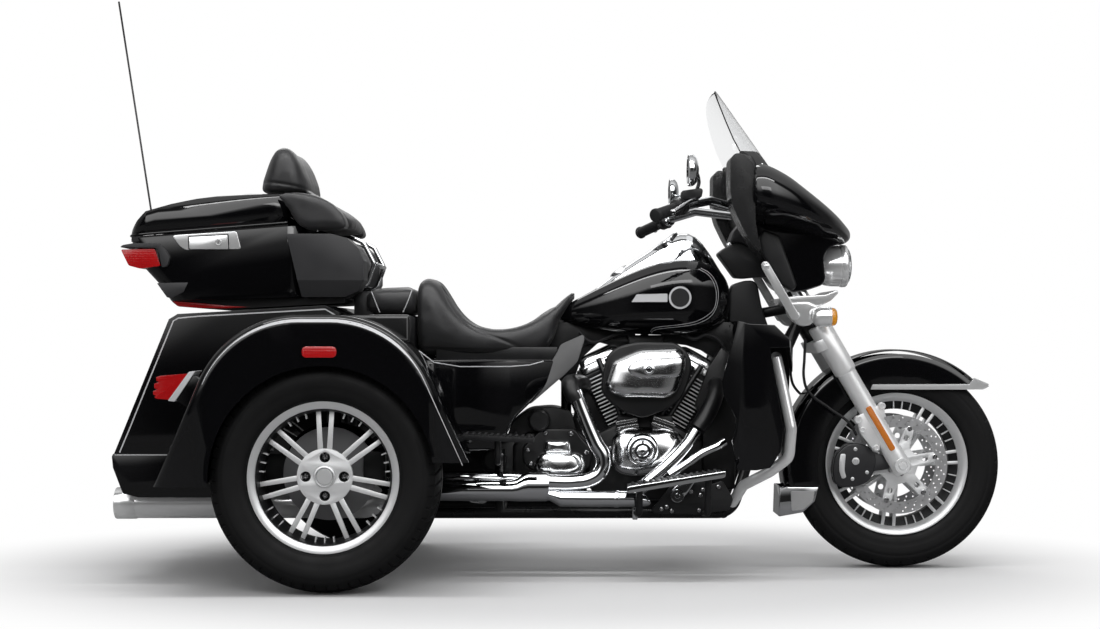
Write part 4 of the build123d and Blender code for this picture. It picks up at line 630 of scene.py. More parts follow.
def rounded(points, radius, steps=5):
    """A closed outline with its corners rounded."""
    made = []
    count = len(points)
    for i in range(count):
        here = Vector(points[i]).to_2d()
        before = Vector(points[i - 1]).to_2d() - here
        after = Vector(points[(i + 1) % count]).to_2d() - here
        reach = min(radius, before.length * CORNER_SHARE, after.length * CORNER_SHARE)
        start, end = here + before.normalized() * reach, here + after.normalized() * reach
        for step in range(steps + 1):
            t = step / steps
            made.append(tuple(start * (1 - t) ** 2 + here * 2 * t * (1 - t) + end * t * t))
    return made


def round_steps(steps, shift=0.0):
    """Cosine and sine at even steps round a ring."""
    return [(cos(a), sin(a)) for a in [2 * pi * (step + shift) / steps for step in range(steps)]]


def squared(value, power):
    """A cosine or sine drawn towards a squarer corner by a power, its sign kept."""
    return abs(value) ** power * (1 if value > 0 else -1)


def circle(x, z, radius, steps=24):
    """A round outline in side view."""
    return [(x + radius * c, z + radius * s) for c, s in round_steps(steps)]


def smooth_line(points, steps=8):
    """A Catmull-Rom line through 2-D or 3-D points."""
    places = [Vector(p) for p in points]
    made = []
    for i in range(len(places) - 1):
        a = places[max(i - 1, 0)]
        b, c = places[i], places[i + 1]
        d = places[min(i + 2, len(places) - 1)]
        for step in range(steps):
            t = step / steps
            made.append(0.5 * (2 * b + (c - a) * t + (2 * a - 5 * b + 4 * c - d) * t * t
                + (3 * b - a - 3 * c + d) * t ** 3))
    made.append(places[-1])
    return made


def stripe(name, points, y, width, proud=0.5, steps=8, smooth=True):
    """A stripe of paint or of painted highlight along a side-view line, on a panel at y. Width may
    vary.
    """
    line = smooth_line(points, steps) if smooth else [Vector(p) for p in points]
    widths = width if hasattr(width, "__len__") else [width]
    side = -1 if y < 0 else 1
    verts, faces = [], []
    for i, here in enumerate(line):
        run = (line[min(i + 1, len(line) - 1)] - line[max(i - 1, 0)]).normalized()
        across = Vector((-run.y, run.x))
        place = i / (len(line) - 1) * (len(widths) - 1)
        low = int(min(place, len(widths) - 2)) if len(widths) > 1 else 0
        half = (widths[low] + (widths[min(low + 1, len(widths) - 1)] - widths[low]) * (
            place - low)) / 2
        for level in (y - side * 0.2, y + side * proud):
            for way in (-1, 1):
                edge = here + across * half * way
                verts.append((edge.x, level, edge.y))
    for i in range(len(line) - 1):
        a, b = 4 * i, 4 * i + 4
        faces += [(a + 2, a + 3, b + 3, b + 2), (a, b, b + 1, a + 1), (a, a + 2, b + 2, b),
            (a + 1, b + 1, b + 3, a + 3)]
    end = 4 * (len(line) - 1)
    faces += [(0, 1, 3, 2), (end, end + 2, end + 3, end + 1)]
    return new_object(name, mesh_of(name, verts, faces))


def plate(name, outline, corner, y_low, y_high, bevel=0.0, segments=2):
    """A plate cut from one side-view outline with rounded corners."""
    return flat_plate(name, [rounded(outline, corner)], y_low, y_high, bevel, segments)


def both_sides(name, make):
    """A piece made for each side and joined: make(side) gives one."""
    return joined(name, [make(-1), make(1)])


def plate_pair(name, outline, near, far, bevel=0.0, segments=2, corner=0):
    """A plate on each side, between two distances from the middle, with rounded corners."""
    loop = rounded(outline, corner) if corner else outline
    return both_sides(name, lambda side: flat_plate("part", [loop], side * near, side * far, bevel,
        segments))


print("workshop ready")


# %% [markdown]
# ## Tyres
#
# A road tyre is a ring with smooth walls, fine rings moulded on them, and a tread cut by slanted
# grooves. The grooves repeat round the wheel, so Geometry Nodes cut them: the tree reads each
# point's angle and height across the tread, and sinks the points that lie in a groove. Sizes are
# its inputs.

# %% The tread tree
def tree_with(name, sockets):
    """A geometry tree with named inputs, each a name, a kind of socket and a default."""
    tree = bpy.data.node_groups.new(name, "GeometryNodeTree")
    tree.interface.new_socket("Geometry", in_out="INPUT", socket_type="NodeSocketGeometry")
    for label, kind, default in sockets:
        made = tree.interface.new_socket(label, in_out="INPUT", socket_type="NodeSocket" + kind)
        if default is not None:
            made.default_value = default
    tree.interface.new_socket("Geometry", in_out="OUTPUT", socket_type="NodeSocketGeometry")
    return tree, tree.nodes.new("NodeGroupInput"), tree.nodes.new("NodeGroupOutput")


def run_tree(piece, tree, values):
    """Runs a geometry tree on a piece with its inputs set, and keeps the plain mesh."""
    step = piece.modifiers.new(tree.name, "NODES")
    step.node_group = tree
    for item in tree.interface.items_tree:
        if item.item_type == "SOCKET" and item.in_out == "INPUT" and item.name in values:
            step[item.identifier] = values[item.name]
    bake(piece)


RING_HALF = 0.0028  # half the width of the groove that runs round the tread


def tread_tree():
    """Sinks slanted grooves and one ring groove into a tyre that turns about Y at its centre."""
    tree, given, result = tree_with("tread_grooves", [("Centre X", "Float", 0.0),
        ("Centre Y", "Float", 0.0), ("Centre Z", "Float", 0.0), ("Grooves", "Float", 60.0),
        ("Slant", "Float", 20.0), ("Width", "Float", 0.2), ("Depth", "Float", 0.004),
        ("Tread radius", "Float", 0.3), ("Middle half", "Float", 0.012),
        ("Material", "Material", None)])
    make = maker_of(tree)

    def of(operation, first, second=None):
        """A math node between sockets or numbers."""
        return make("ShaderNodeMath", {0: first} if second is None else {0: first, 1: second},
            operation=operation).outputs[0]

    place = make("GeometryNodeInputPosition")
    split = make("ShaderNodeSeparateXYZ", {0: place.outputs[0]})
    x, y, z = [of("SUBTRACT", split.outputs[i], given.outputs["Centre " + "XYZ"[i]])
        for i in range(3)]
    angle = of("DIVIDE", of("ARCTAN2", z, x), 2 * pi)
    reach = of("SQRT", of("ADD", of("MULTIPLY", x, x), of("MULTIPLY", z, z)))
    away = of("ABSOLUTE", y)
    phase = of("ADD", of("MULTIPLY", angle, given.outputs["Grooves"]),
        of("MULTIPLY", away, given.outputs["Slant"]))
    side = of("MULTIPLY", of("GREATER_THAN", y, 0.0), 0.5)
    saw = of("FRACT", of("ADD", phase, side))
    slant = of("LESS_THAN", saw, given.outputs["Width"])
    outside = of("GREATER_THAN", away, given.outputs["Middle half"])
    on_tread = of("GREATER_THAN", reach, given.outputs["Tread radius"])
    cut = of("MULTIPLY", of("MULTIPLY", slant, outside), on_tread)
    ring = of("LESS_THAN", of("ABSOLUTE", of("SUBTRACT", away, given.outputs["Middle half"])),
        RING_HALF)
    both = of("MAXIMUM", cut, of("MULTIPLY", ring, on_tread))
    sink = of("MULTIPLY", both, given.outputs["Depth"])
    inward = of("MULTIPLY", of("DIVIDE", sink, reach), -1.0)
    move = make("ShaderNodeCombineXYZ", {0: of("MULTIPLY", x, inward),
        2: of("MULTIPLY", z, inward)})
    shift = make("GeometryNodeSetPosition", {"Geometry": given.outputs["Geometry"],
        "Offset": move.outputs[0]})
    real = make("GeometryNodeRealizeInstances", {0: shift.outputs[0]})
    coat = make("GeometryNodeSetMaterial", {"Geometry": real.outputs[0],
        "Material": given.outputs["Material"]})
    tree.links.new(coat.outputs[0], result.inputs[0])
    return tree


TREAD = tread_tree()
print("tread tree nodes", len(TREAD.nodes))


# %% Three tyres
def tyre_profile(radius, width, rim_r, bead_half, flange_h, tread_steps):
    """Rows of (radius, place across) round a tyre's section."""
    over_flange = rim_r + flange_h + 0.3
    shoulder_half, shoulder_r = width * 0.41, radius - width * 0.075
    wall_r = over_flange + 0.45 * (radius - over_flange)
    half = [(rim_r + 0.4, 0.0), (rim_r + 0.4, bead_half), (over_flange, bead_half)]
    wall = smooth_line([(over_flange, bead_half), (over_flange + 0.2 * (wall_r - over_flange),
        width / 2 * 0.90), (wall_r, width / 2 - 1.0), (wall_r + 0.55 * (shoulder_r - wall_r),
        width / 2 * 0.955), (shoulder_r, shoulder_half)], 7)[1:-1]
    half += [tuple(p) for p in wall]
    for step in range(tread_steps + 1):
        t = step / tread_steps
        half.append((shoulder_r + (radius - shoulder_r) * (1 - (1 - t) ** 2.2),
            shoulder_half * (1 - t)))
    return half + [(r, -y) for r, y in reversed(half[:-1])]


def make_tyre(name, node_name, centre, radius, width, rim_r, bead_half, flange_h, segments, grooves,
        slant, middle):
    """A tyre with moulded rings and a cut tread."""
    profile = tyre_profile(radius, width, rim_r, bead_half, flange_h, 14)
    made = []
    for r, y in profile:
        ring = 0.0
        for at in (0.30, 0.62):
            place = rim_r + flange_h + at * (radius - rim_r - flange_h)
            if abs(r - place) < 1.8 and abs(y) > bead_half:
                ring = 0.9
        made.append((r, y - (ring if y > 0 else -ring)))
    piece = turned(name, made, centre, (0, 1, 0), segments)
    run_tree(piece, TREAD, {"Centre X": centre[0] * MM, "Centre Y": centre[1] * MM,
        "Centre Z": centre[2] * MM, "Grooves": float(grooves), "Slant": float(slant), "Width": 0.17,
        "Depth": 0.0042, "Tread radius": (radius - width * 0.13) * MM, "Middle half": middle * MM,
        "Material": FINISH["tyre"]})
    settle(piece, "tyre", BODY_OF[node_name], (node_name,), 28)


FRONT_HUB = (1060.0, 0.0, 318.0)
HUB_X, HUB_Z = FRONT_HUB[0], FRONT_HUB[2]
REAR_HUB = {"right": (-620.0, -552.0, 322.0), "left": (-620.0, 552.0, 322.0)}
make_tyre("front_tyre_rubber", "front_tyre", FRONT_HUB, 318, 130, 203, 46, 14, 720, 44, 16, 12)
for hand, hub in REAR_HUB.items():
    make_tyre("rear_tyre_rubber_" + hand, "rear_tyre_" + hand, hub, 322, 205, 190.5, 74, 18, 720,
        60, 9, 26)
print("tyres done")


# %% [markdown]
# ## Cast wheels
#
# The wheels are cast in one piece: a deep barrel, a bright machined lip, seven pairs of straight
# spokes, and a flat hub face. Between the spokes the barrel carries short ribs. The lip and barrel
# are turned, a spoke is a tapered bar with rounded edges, and the hub face is a plate with bolt
# wells.

# %% Wheels
BAR_FACES = ((0, 1, 5, 4), (2, 6, 7, 3), (0, 4, 6, 2), (1, 3, 7, 5), (0, 2, 3, 1), (4, 5, 7, 6))


def spoke_bar(hub, angle, shift, root_r, tip_r, root_shift, half_width, face_y, depth, side,
        tip_sink=0.0):
    """One spoke's eight corners. Shift is its offset from the pair's middle at the tip."""
    out = Vector((cos(angle), 0, sin(angle)))
    across = Vector((-sin(angle), 0, cos(angle)))
    verts = []
    for r, s, sink, wide in ((root_r, root_shift, 0.0, half_width * 1.05),
            (tip_r, shift, tip_sink, half_width * 0.9)):
        for y in (face_y - side * sink, face_y - side * (depth + sink)):
            for way in (-1, 1):
                edge = wide if y == face_y - side * sink else wide * 0.75
                verts.append(Vector(hub) + out * r + across * (s + way * edge)
                    + Vector((0, y - hub[1], 0)))
    return verts


def cast_spokes(name, hub, turn, root_r, tip_r, root_gap, tip_gap, half_width, face_y, depth, side,
        tip_sink=0.0):
    """Seven pairs of spokes with rounded edges."""
    verts, faces = [], []
    for pair in range(7):
        angle = radians(turn) + 2 * pi * pair / 7
        for way in (-1, 1):
            faces += [tuple(i + len(verts) for i in face) for face in BAR_FACES]
            verts += spoke_bar(hub, angle, way * tip_gap, root_r, tip_r, way * root_gap, half_width,
                face_y, depth, side, tip_sink)
    piece = new_object(name, mesh_of(name, verts, faces))
    bevel_mesh(piece, 2.0 * MM, 2, 30)
    return piece


def barrel_ribs(hub, turn, inner_r, outer_r, y_low, y_high):
    """Short ribs on the barrel between the spoke pairs."""
    verts, faces = [], []
    for pair in range(7):
        for shift in (17.5, 25.7, 33.9):
            angle = radians(turn + shift) + 2 * pi * pair / 7
            out, across = Vector((cos(angle), 0, sin(angle))), Vector((-sin(angle), 0, cos(angle)))
            start = len(verts)
            for r in (inner_r, outer_r):
                for y in (y_low, y_high):
                    for way in (-1.6, 1.6):
                        verts.append(Vector((hub[0], y, hub[2])) + out * r + across * way)
            faces += [tuple(i + start for i in face) for face in BAR_FACES]
    return new_object("ribs", mesh_of("ribs", verts, faces))


REAR_HALF = 80.3  # half the rear rim's width
STUDS = [(53 * cos(a), 53 * sin(a)) for a in (0, pi / 2, pi, 1.5 * pi)]
for hand, hub in REAR_HUB.items():
    side = -1 if hand == "right" else 1
    rim, wheel_body = "rear_rim_" + hand, BODY_OF["rear_rim_" + hand]
    edge, face = REAR_HALF, REAR_HALF - 40
    turned_rows = [(208.5, edge), (203, edge - 0.4), (196, edge - 2.5), (189, edge - 7),
        (187.5, edge - 12), (190.5, edge - 12), (190.5, edge - 6), (208.5, edge - 6), (208.5, edge)]
    barrel_rows = [(188.5, edge - 10), (185, edge - 14), (182.5, edge - 24), (181.5, edge - 34),
        (178.5, face - 10), (178.5, face - 40), (182.5, -40), (182.5, -edge), (208.5, -edge),
        (208.5, -edge + 6), (190.5, -edge + 6), (190.5, edge - 10), (188.5, edge - 10)]
    barrel = turned("rear_wheel_barrel_" + hand, [(r, side * y) for r, y in barrel_rows], hub,
        (0, 1, 0), 128)
    settle(barrel, "engine_black", wheel_body, (rim,), 24)
    lip = turned("rear_wheel_lip_" + hand, [(r, side * y) for r, y in turned_rows], hub, (0, 1, 0),
        128)
    settle(lip, "machined_rim", wheel_body, (rim,), 24)
    spokes = cast_spokes("rear_wheel_spokes_" + hand, hub, 90, 62, 186, 12, 19, 7.6,
        hub[1] + side * (face + 2), 17, side, 4)
    ribs = barrel_ribs(hub, 90, 167, 184, hub[1] + side * (face - 16), hub[1] + side * (face + 4))
    disc = [circle(hub[0], hub[2], 77, 96)]
    wells = [circle(hub[0] + dx, hub[2] + dz, 14.5, 28) for dx, dz in STUDS]
    y_face = hub[1] + side * (face + 3)
    hub_face = flat_plate("hub_face", disc + wells, y_face, y_face - side * 21, 1.6)
    body = joined("rear_wheel_casting_" + hand, [spokes, ribs, hub_face])
    settle(body, "cast_wheel", wheel_body, (rim,), 28)
    cap_rows = [(0, face + 12), (20.5, face + 12), (21.8, face + 10.8), (21.8, face + 2),
        (25, face + 2), (25, face + 11.6), (26.2, face + 12.6), (29.5, face + 11.6),
        (31.5, face + 3), (31.5, face - 2), (0, face - 2)]
    cap = turned("rear_wheel_cap_" + hand, [(r, side * y) for r, y in cap_rows], hub, (0, 1, 0), 64)
    settle(cap, "machined_rim", wheel_body, (), 24)
    bolts, wells_in = [], []
    for dx, dz in STUDS:
        centre = (hub[0] + dx, hub[1], hub[2] + dz)
        bolts.append(turned("lug", [(r, side * (face + y)) for r, y in ((0, -16), (8.6, -16),
            (8.6, -3), (6.8, -1), (3.6, -1), (3.6, -6), (0, -6))], centre, (0, 1, 0), 18))
        wells_in.append(turned("well", [(r, side * (face + y)) for r, y in ((0, -17), (14.2, -17),
            (14.2, 2.2), (12.6, 2.2), (12.6, -14), (0, -14))], centre, (0, 1, 0), 24))
    settle(joined("rear_wheel_wells_" + hand, wells_in), "engine_black", wheel_body,
        (), 30)
    settle(joined("rear_wheel_bolts_" + hand, bolts), "steel_bolt", wheel_body, (),
        30)
    back = [(40, face - 18), (52, face - 20), (52, -65), (131, -69.7), (131, -77.7), (60, -77.7),
        (60, -70), (19, -70), (19, face - 30), (40, face - 18)]
    disc_piece = turned("rear_brake_disc_" + hand, [(r, side * y) for r, y in back], hub, (0, 1, 0),
        96)
    settle(disc_piece, "disc_dark", wheel_body, (), 24)

FRONT_TURN = 57.5
lip_rows = [(217, 52.3), (214, 52.2), (208, 50), (201, 45), (197, 40), (192, 34), (192, 26),
    (195, 12), (195, -12), (192, -26), (192, -34), (197, -40), (201, -45), (208, -50), (214, -52.2),
    (217, -52.3), (217, -46.3), (203, -46.3), (203, 46.3), (217, 46.3), (217, 52.3)]
ring = turned("front_wheel_barrel", [(167, 14), (190, 27), (193, 27), (193, -27), (190, -27),
    (167, -14), (167, 14)], FRONT_HUB, (0, 1, 0), 96)
settle(ring, "engine_black", "front_wheel", ("front_rim",), 24)
lip = turned("front_wheel_lip", lip_rows, FRONT_HUB, (0, 1, 0), 128)
settle(lip, "machined_rim", "front_wheel", ("front_rim",), 24)
parts = []
for side in (-1, 1):
    parts.append(cast_spokes("spokes", FRONT_HUB, FRONT_TURN, 36, 197, 9, 18, 5.6, side * 30, 20,
        side, 0))
    parts.append(barrel_ribs(FRONT_HUB, FRONT_TURN, 168, 195, *sorted((side * 10, side * 30))))
hub_rows = [(12.9, -59.8), (40, -59.8), (42, -57), (42, -34), (36, -28), (36, 28), (42, 34),
    (42, 57), (40, 59.8), (12.9, 59.8), (12.9, -59.8)]
parts.append(turned("hub", hub_rows, FRONT_HUB, (0, 1, 0), 48))
settle(joined("front_wheel_casting", parts), "cast_wheel", "front_wheel",
    ("front_rim",), 28)
print("wheels done")


# %% [markdown]
# ## Front brakes
#
# Each front disc is a drilled steel ring held on an alloy carrier by round bobbins, so that it can
# grow when it is hot. The ring is cut from a drawing with all its holes; the bobbins and the
# caliper's bolts are turned. The caliper is a painted block with a machined pad pin cover.

# %% Discs and calipers
def round_hub(radius, angle):
    """A side-view point at an angle round the front wheel's centre."""
    return HUB_X + radius * cos(angle), HUB_Z + radius * sin(angle)


def drilled_disc(y_mid):
    """The steel ring with three rows of holes."""
    holes = []
    for count, radius, turn in ((30, 143, 0.0), (30, 133, 4.0), (30, 123, 8.0)):
        for i in range(count):
            a = radians(turn) + 2 * pi * i / count
            holes.append(circle(*round_hub(radius, a), 2.9, 8))
    return flat_plate("drilled_ring", [circle(HUB_X, HUB_Z, 150, 120),
        circle(HUB_X, HUB_Z, 114, 96)] + holes, y_mid - 2.4, y_mid + 2.4)


ARMS = [radians(12) + 2 * pi * i / 6 for i in range(6)]
ARM_OUTLINE = ((60, -0.30), (108, -0.13), (114.5, -0.12), (114.5, 0.12), (108, 0.13), (60, 0.30))
BOBBIN = [(0, 5.2), (6.5, 5.0), (8.2, 3.6), (8.2, -3.6), (6.5, -5.0), (0, -5.2)]
rings, carriers, bobbins = [], [], []
for side in (-1, 1):
    y_mid = side * 72
    rings.append(drilled_disc(y_mid))
    star = [round_hub(r, a + turn) for a in ARMS for r, turn in ARM_OUTLINE]
    windows = [circle(*round_hub(84, a), 9, 16) for a in ARMS]
    carriers.append(flat_plate("carrier", [star] + windows + [circle(HUB_X, HUB_Z, 13.2, 32)],
        y_mid - 3.4, y_mid + 3.4, 0.8))
    for a in ARMS:
        x, z = round_hub(114, a)
        bobbins.append(turned("bobbin", BOBBIN, (x, y_mid, z), (0, 1, 0), 20))
    for i in range(5):
        x, z = round_hub(30, 2 * pi * i / 5)
        bobbins.append(turned("disc_bolt", [(0, side * 8.4), (6, side * 8.2), (7.4, side * 6),
            (7.4, 0), (0, 0)], (x, y_mid, z), (0, 1, 0), 16))
    low, high = sorted((side * 60.2, side * 69.6))
    carriers.append(turned("spacer", [(13.2, low), (41, low), (41, high), (13.2, high),
        (13.2, low)], FRONT_HUB, (0, 1, 0), 40))
settle(joined("front_disc_rings", rings), "disc_steel", "front_wheel",
    ("front_discs",), 30)
settle(joined("front_disc_carriers", carriers), "cast_wheel", "front_wheel",
    ("front_discs",), 30)
settle(joined("front_disc_bobbins", bobbins), "steel_bolt", "front_wheel", (), 30)

CALIPER = [(862, 262), (884, 250), (930, 252), (966, 268), (984, 300), (990, 340), (972, 372),
    (940, 384), (900, 382), (866, 350), (856, 306)]
# A row is the outline, its corners' radius, the near and far planes, the bevel and its segments.
CALIPER_PARTS = ((CALIPER, 14, 79, 103, 5, 3), (CALIPER, 14, 58, 65.5, 3, 2),
    ([(858, 282), (886, 262), (900, 286), (896, 330), (872, 346)], 6, 58.5, 100, 3, 2),
    ([(960, 296), (1030, 306), (1036, 336), (968, 364)], 8, 82, 101, 2, 2))
PAD_COVER = [(880, 352), (896, 352), (893, 318), (892, 300), (898, 280), (884, 276), (876, 300),
    (876, 330)]
shells, brights = [], []
for side in (-1, 1):
    for outline, corner, near, far, bevel, segments in CALIPER_PARTS:
        shells.append(plate("caliper", outline, corner, side * near, side * far, bevel, segments))
    face = side * 103
    brights.append(plate("pad_cover", PAD_COVER, 6, face - side, face + side * 2.4, 1.0, 2))
    for x, z, r in ((926, 330, 11), (925, 366, 5.5), (916, 276, 5.5), (960, 296, 5.5)):
        brights.append(turned("caliper_bolt", [(0, side * 4.5), (r * 0.45, side * 4.5),
            (r * 0.5, side * 2.6), (r * 0.62, side * 4.4), (r, side * 3.6), (r * 1.05, 0), (0, 0)],
            (x, face, z), (0, 1, 0), 20))
settle(joined("caliper_castings", shells), "caliper_black", "steering",
    ("front_calipers",), 30)
settle(joined("caliper_bolts", brights), "machined_rim", "steering", (), 30)
print("front brakes done")

# %% Inner guards behind the rear wheels
guards = plate_pair("inner_guards", [(-1010, 430), (-690, 430), (-690, 300), (-760, 262),
    (-930, 262), (-1010, 300)], 396, 401, 1.5, 2, 20)
settle(guards, "trim_black", "chassis")
print("guards", len(guards.data.polygons))


# %% [markdown]
# ## Seats and pads
#
# A touring seat is foam under vinyl: wide flanks, a dished middle and a raised bolster behind the
# rider, with one crease where the dish meets the flank. Each pad starts as a plain form a little
# smaller than the space it may fill. It is remeshed into small even faces and blown up by a cloth
# pressure, which crowns the flats and rounds the corners as foam does. Creases are pressed in
# after.

# %% Blowing up a pad
def remeshed(piece, voxel):
    """Small even faces on a closed form, in its own mesh."""
    step = piece.modifiers.new("even_faces", "REMESH")
    step.mode = "VOXEL"
    step.voxel_size = voxel
    bake(piece)


def relaxed(mesh, rounds, factor=0.5):
    """Rounds a remeshed form's corners a little by averaging neighbours."""
    work = bmesh.new()
    work.from_mesh(mesh)
    for _ in range(rounds):
        bmesh.ops.smooth_vert(work, verts=work.verts, factor=factor, use_axis_x=True,
            use_axis_y=True, use_axis_z=True)
    work.to_mesh(mesh)
    work.free()


PRESSURE, FRAMES = 3.0, 16  # the cloth's inner pressure, and how many frames it swells for
VOXEL = 0.0075  # the size of a pad's faces before they are refined


def blown_up(piece, voxel, rounds, cap):
    """Remeshes and rounds a pad, swells it as cloth by at most cap, and refines it."""
    remeshed(piece, voxel)
    relaxed(piece.data, rounds)
    start = [v.co.copy() for v in piece.data.vertices]
    cloth = piece.modifiers.new("foam", "CLOTH")
    cloth.settings.use_pressure = True
    cloth.settings.uniform_pressure_force = PRESSURE
    cloth.settings.quality = 4
    cloth.settings.mass = 0.3
    cloth.settings.tension_stiffness = cloth.settings.compression_stiffness = 20
    cloth.settings.effector_weights.gravity = 0
    cloth.collision_settings.use_collision = False
    cloth.point_cache.frame_start, cloth.point_cache.frame_end = 1, FRAMES
    for step in range(1, FRAMES + 1):
        SCENE.frame_set(step)
    made = bpy.data.meshes.new_from_object(piece.evaluated_get(
        bpy.context.evaluated_depsgraph_get()))
    moved = [v.co.copy() for v in made.vertices]
    piece.modifiers.clear()
    bpy.data.meshes.remove(made)
    for vertex, before, after in zip(piece.data.vertices, start, moved):
        step_vector = after - before
        if step_vector.length > cap:
            step_vector *= cap / step_vector.length
        vertex.co = before + step_vector
    SCENE.frame_set(1)
    relaxed(piece.data, 2)
    step = piece.modifiers.new("fine_faces", "SUBSURF")
    step.levels = step.render_levels = 1
    bake(piece)


BELL = 2.718  # the base of a crease's bell-shaped section


def press_crease(piece, line, depth, width, where=None):
    """Presses a sewn crease into a pad along a side-view line. Where picks the points."""
    curve = smooth_line(line, 10)
    mesh = piece.data
    normals = [Vector(n.vector) for n in mesh.vertex_normals]
    for vertex, normal in zip(mesh.vertices, normals):
        place = vertex.co / MM
        if where and not where(place):
            continue
        flat = Vector((place.x, place.z))
        near = 1e9
        for i in range(len(curve) - 1):
            a, b = curve[i], curve[i + 1]
            run = b - a
            t = max(0.0, min(1.0, (flat - a).dot(run) / max(run.length_squared, 1e-9)))
            near = min(near, (flat - a - run * t).length)
        if near < 3 * width:
            vertex.co -= normal * depth * MM * (BELL ** (-(near / width) ** 2))


def ring_at(x, half, low, high, dish, power, steps=40):
    """A seat's cross-section: a rounded block with a dished top."""
    points = []
    mid, tall = (low + high) / 2, (high - low) / 2
    for c, s in round_steps(steps, 0.5):
        y = half * squared(c, 2 / power)
        z = tall * squared(s, 2 / power)
        share = 1 - min(1.0, abs(y) / max(half * 0.85, 1))
        z -= dish * share * (1 if s > 0.3 else 0)
        points.append((x, y, mid + z))
    return points


def pad_ring(row, steps, shift=0.5, powers=(0.5, 0.45), bow=0.0):
    """A level ring of a standing pad, bowed back in its middle, from a row of sizes."""
    z, rear, front, half = row
    ring = []
    for c, s in round_steps(steps, shift):
        x = (rear + front) / 2 + (front - rear) / 2 * squared(c, powers[0])
        y = half * squared(s, powers[1])
        arch = bow * (1 - (y / half) ** 2)
        ring.append((x - arch * (0.6 if c < 0 else 1.0), y, z))
    return ring


def between(rows, x):
    """Values of a table at x, by smooth steps between its rows."""
    if x <= rows[0][0]:
        return rows[0][1:]
    for low, high in zip(rows, rows[1:]):
        if x <= high[0]:
            t = (x - low[0]) / (high[0] - low[0])
            return [a + (b - a) * t for a, b in zip(low[1:], high[1:])]
    return rows[-1][1:]


SEAT_TOP = smooth_line([(-396, 866), (-385, 884), (-366, 891), (-344, 882), (-327, 862),
    (-304, 824), (-280, 790), (-256, 764), (-226, 744), (-194, 735), (-161, 731), (-120, 734),
    (-83, 744), (-56, 757), (-35, 770), (-10, 788), (10, 803), (24, 811)], 6)
SEAT_PLAN = [(-396, 176), (-380, 184), (-200, 184), (-100, 152), (0, 112), (24, 92)]
SEAT_LOW = [(-396, 652), (-60, 652), (-35, 656), (-4, 676), (14, 712), (24, 752)]
seat_rows = []
for place in SEAT_TOP[::2]:
    x, top = place
    half = between(SEAT_PLAN, x)[0]
    low = between(SEAT_LOW, x)[0]
    dish = 16 if -300 < x < -40 else 6
    seat_rows.append(ring_at(x, half, low, top, dish, 4.2, 48))
rider_seat = lofted("rider_saddle", seat_rows)
blown_up(rider_seat, VOXEL, 4, 0.0035)
DISH_LINE = [(-322, 858), (-300, 808), (-262, 757), (-220, 727), (-170, 708), (-120, 688),
    (-72, 664)]
press_crease(rider_seat, DISH_LINE, 3.2, 4.5, lambda p: abs(p.y) > 110)
press_crease(rider_seat, [(-392, 672), (-250, 668), (-100, 667), (-30, 672)], 1.6, 3.0,
    lambda p: abs(p.y) > 90)
settle(rider_seat, "seat_black", "chassis", ("rider_seat",), 60)
print("rider seat", len(rider_seat.data.polygons))

# %% Pillion, backrest, arm rests, lumbar pad
pillion_rows = []
for x, half, low, top in ((-550, 176, 776, 838), (-540, 188, 774, 848), (-500, 192, 773, 854),
        (-450, 192, 773, 856), (-415, 190, 773, 858), (-404, 180, 778, 850)):
    pillion_rows.append(ring_at(x, half, low, top, 5, 4.5))
pillion = lofted("pillion_seat", pillion_rows)
blown_up(pillion, VOXEL, 4, 0.003)
settle(pillion, "seat_black", "chassis", ("passenger_seat",), 60)


ARM_SIDE = [(-806, 1126), (-760, 1134), (-700, 1124), (-650, 1106), (-612, 1074), (-596, 1042),
    (-598, 1024), (-640, 1022), (-716, 1023), (-738, 1032), (-770, 1080)]


def arm_rest(side):
    """An arm rest: its side view extruded across, less a notch that clears the lid."""
    piece = plate("arm_rest", ARM_SIDE, 16, side * 204, side * 293)
    inner, outer = sorted((side * 150, side * 286.5))
    corners = [(x, y, z) for x in (-900, -762) for y in (inner, outer) for z in (950, 1200)]
    faces = [(0, 1, 3, 2), (4, 6, 7, 5), (0, 4, 5, 1), (2, 3, 7, 6), (0, 2, 6, 4), (1, 5, 7, 3)]
    cutter = new_object("cutter", mesh_of("cutter", corners, faces))
    step = piece.modifiers.new("notch", "BOOLEAN")
    step.operation, step.object, step.solver = "DIFFERENCE", cutter, "EXACT"
    bake(piece)
    old = cutter.data
    bpy.data.objects.remove(cutter)
    bpy.data.meshes.remove(old)
    blown_up(piece, 0.0058, 4, 0.0025)
    return piece


# A row is the height, the rear x, the front x and the half width. The foot spreads over the lid.
FOOT_ROWS = [(1028, -700, -588, 178), (1040, -702, -582, 186), (1060, -706, -590, 190),
    (1085, -708, -624, 192), (1105, -716, -660, 193), (1124, -722, -690, 193),
    (1136, -730, -712, 193)]
BACK_ROWS = [(1143, -868, -716, 192), (1150, -872, -712, 195), (1170, -868, -716, 196),
    (1200, -856, -728, 196), (1228, -848, -740, 193), (1250, -840, -754, 186),
    (1268, -832, -768, 172), (1278, -822, -782, 150), (1281, -814, -794, 120)]
back_top = lofted("backrest_top", [pad_ring(row, 56, 0.5, (0.62, 0.5), 16) for row in BACK_ROWS])
back_foot = lofted("backrest_foot", [pad_ring(row, 44, 0) for row in FOOT_ROWS])
backrest = joined("backrest_cushion", [back_top, back_foot])
blown_up(backrest, 0.0078, 5, 0.003)
press_crease(backrest, [(-868, 1172), (-820, 1166), (-770, 1158), (-716, 1146)], 2.6, 4.0,
    lambda p: p.z > 1130)
settle(backrest, "seat_black", "box_lid_body", ("backrest_pad",), 60)

arm_rests = both_sides("arm_rest_pads", arm_rest)
settle(arm_rests, "seat_black", "box_lid_body", ("arm_rests",), 60)

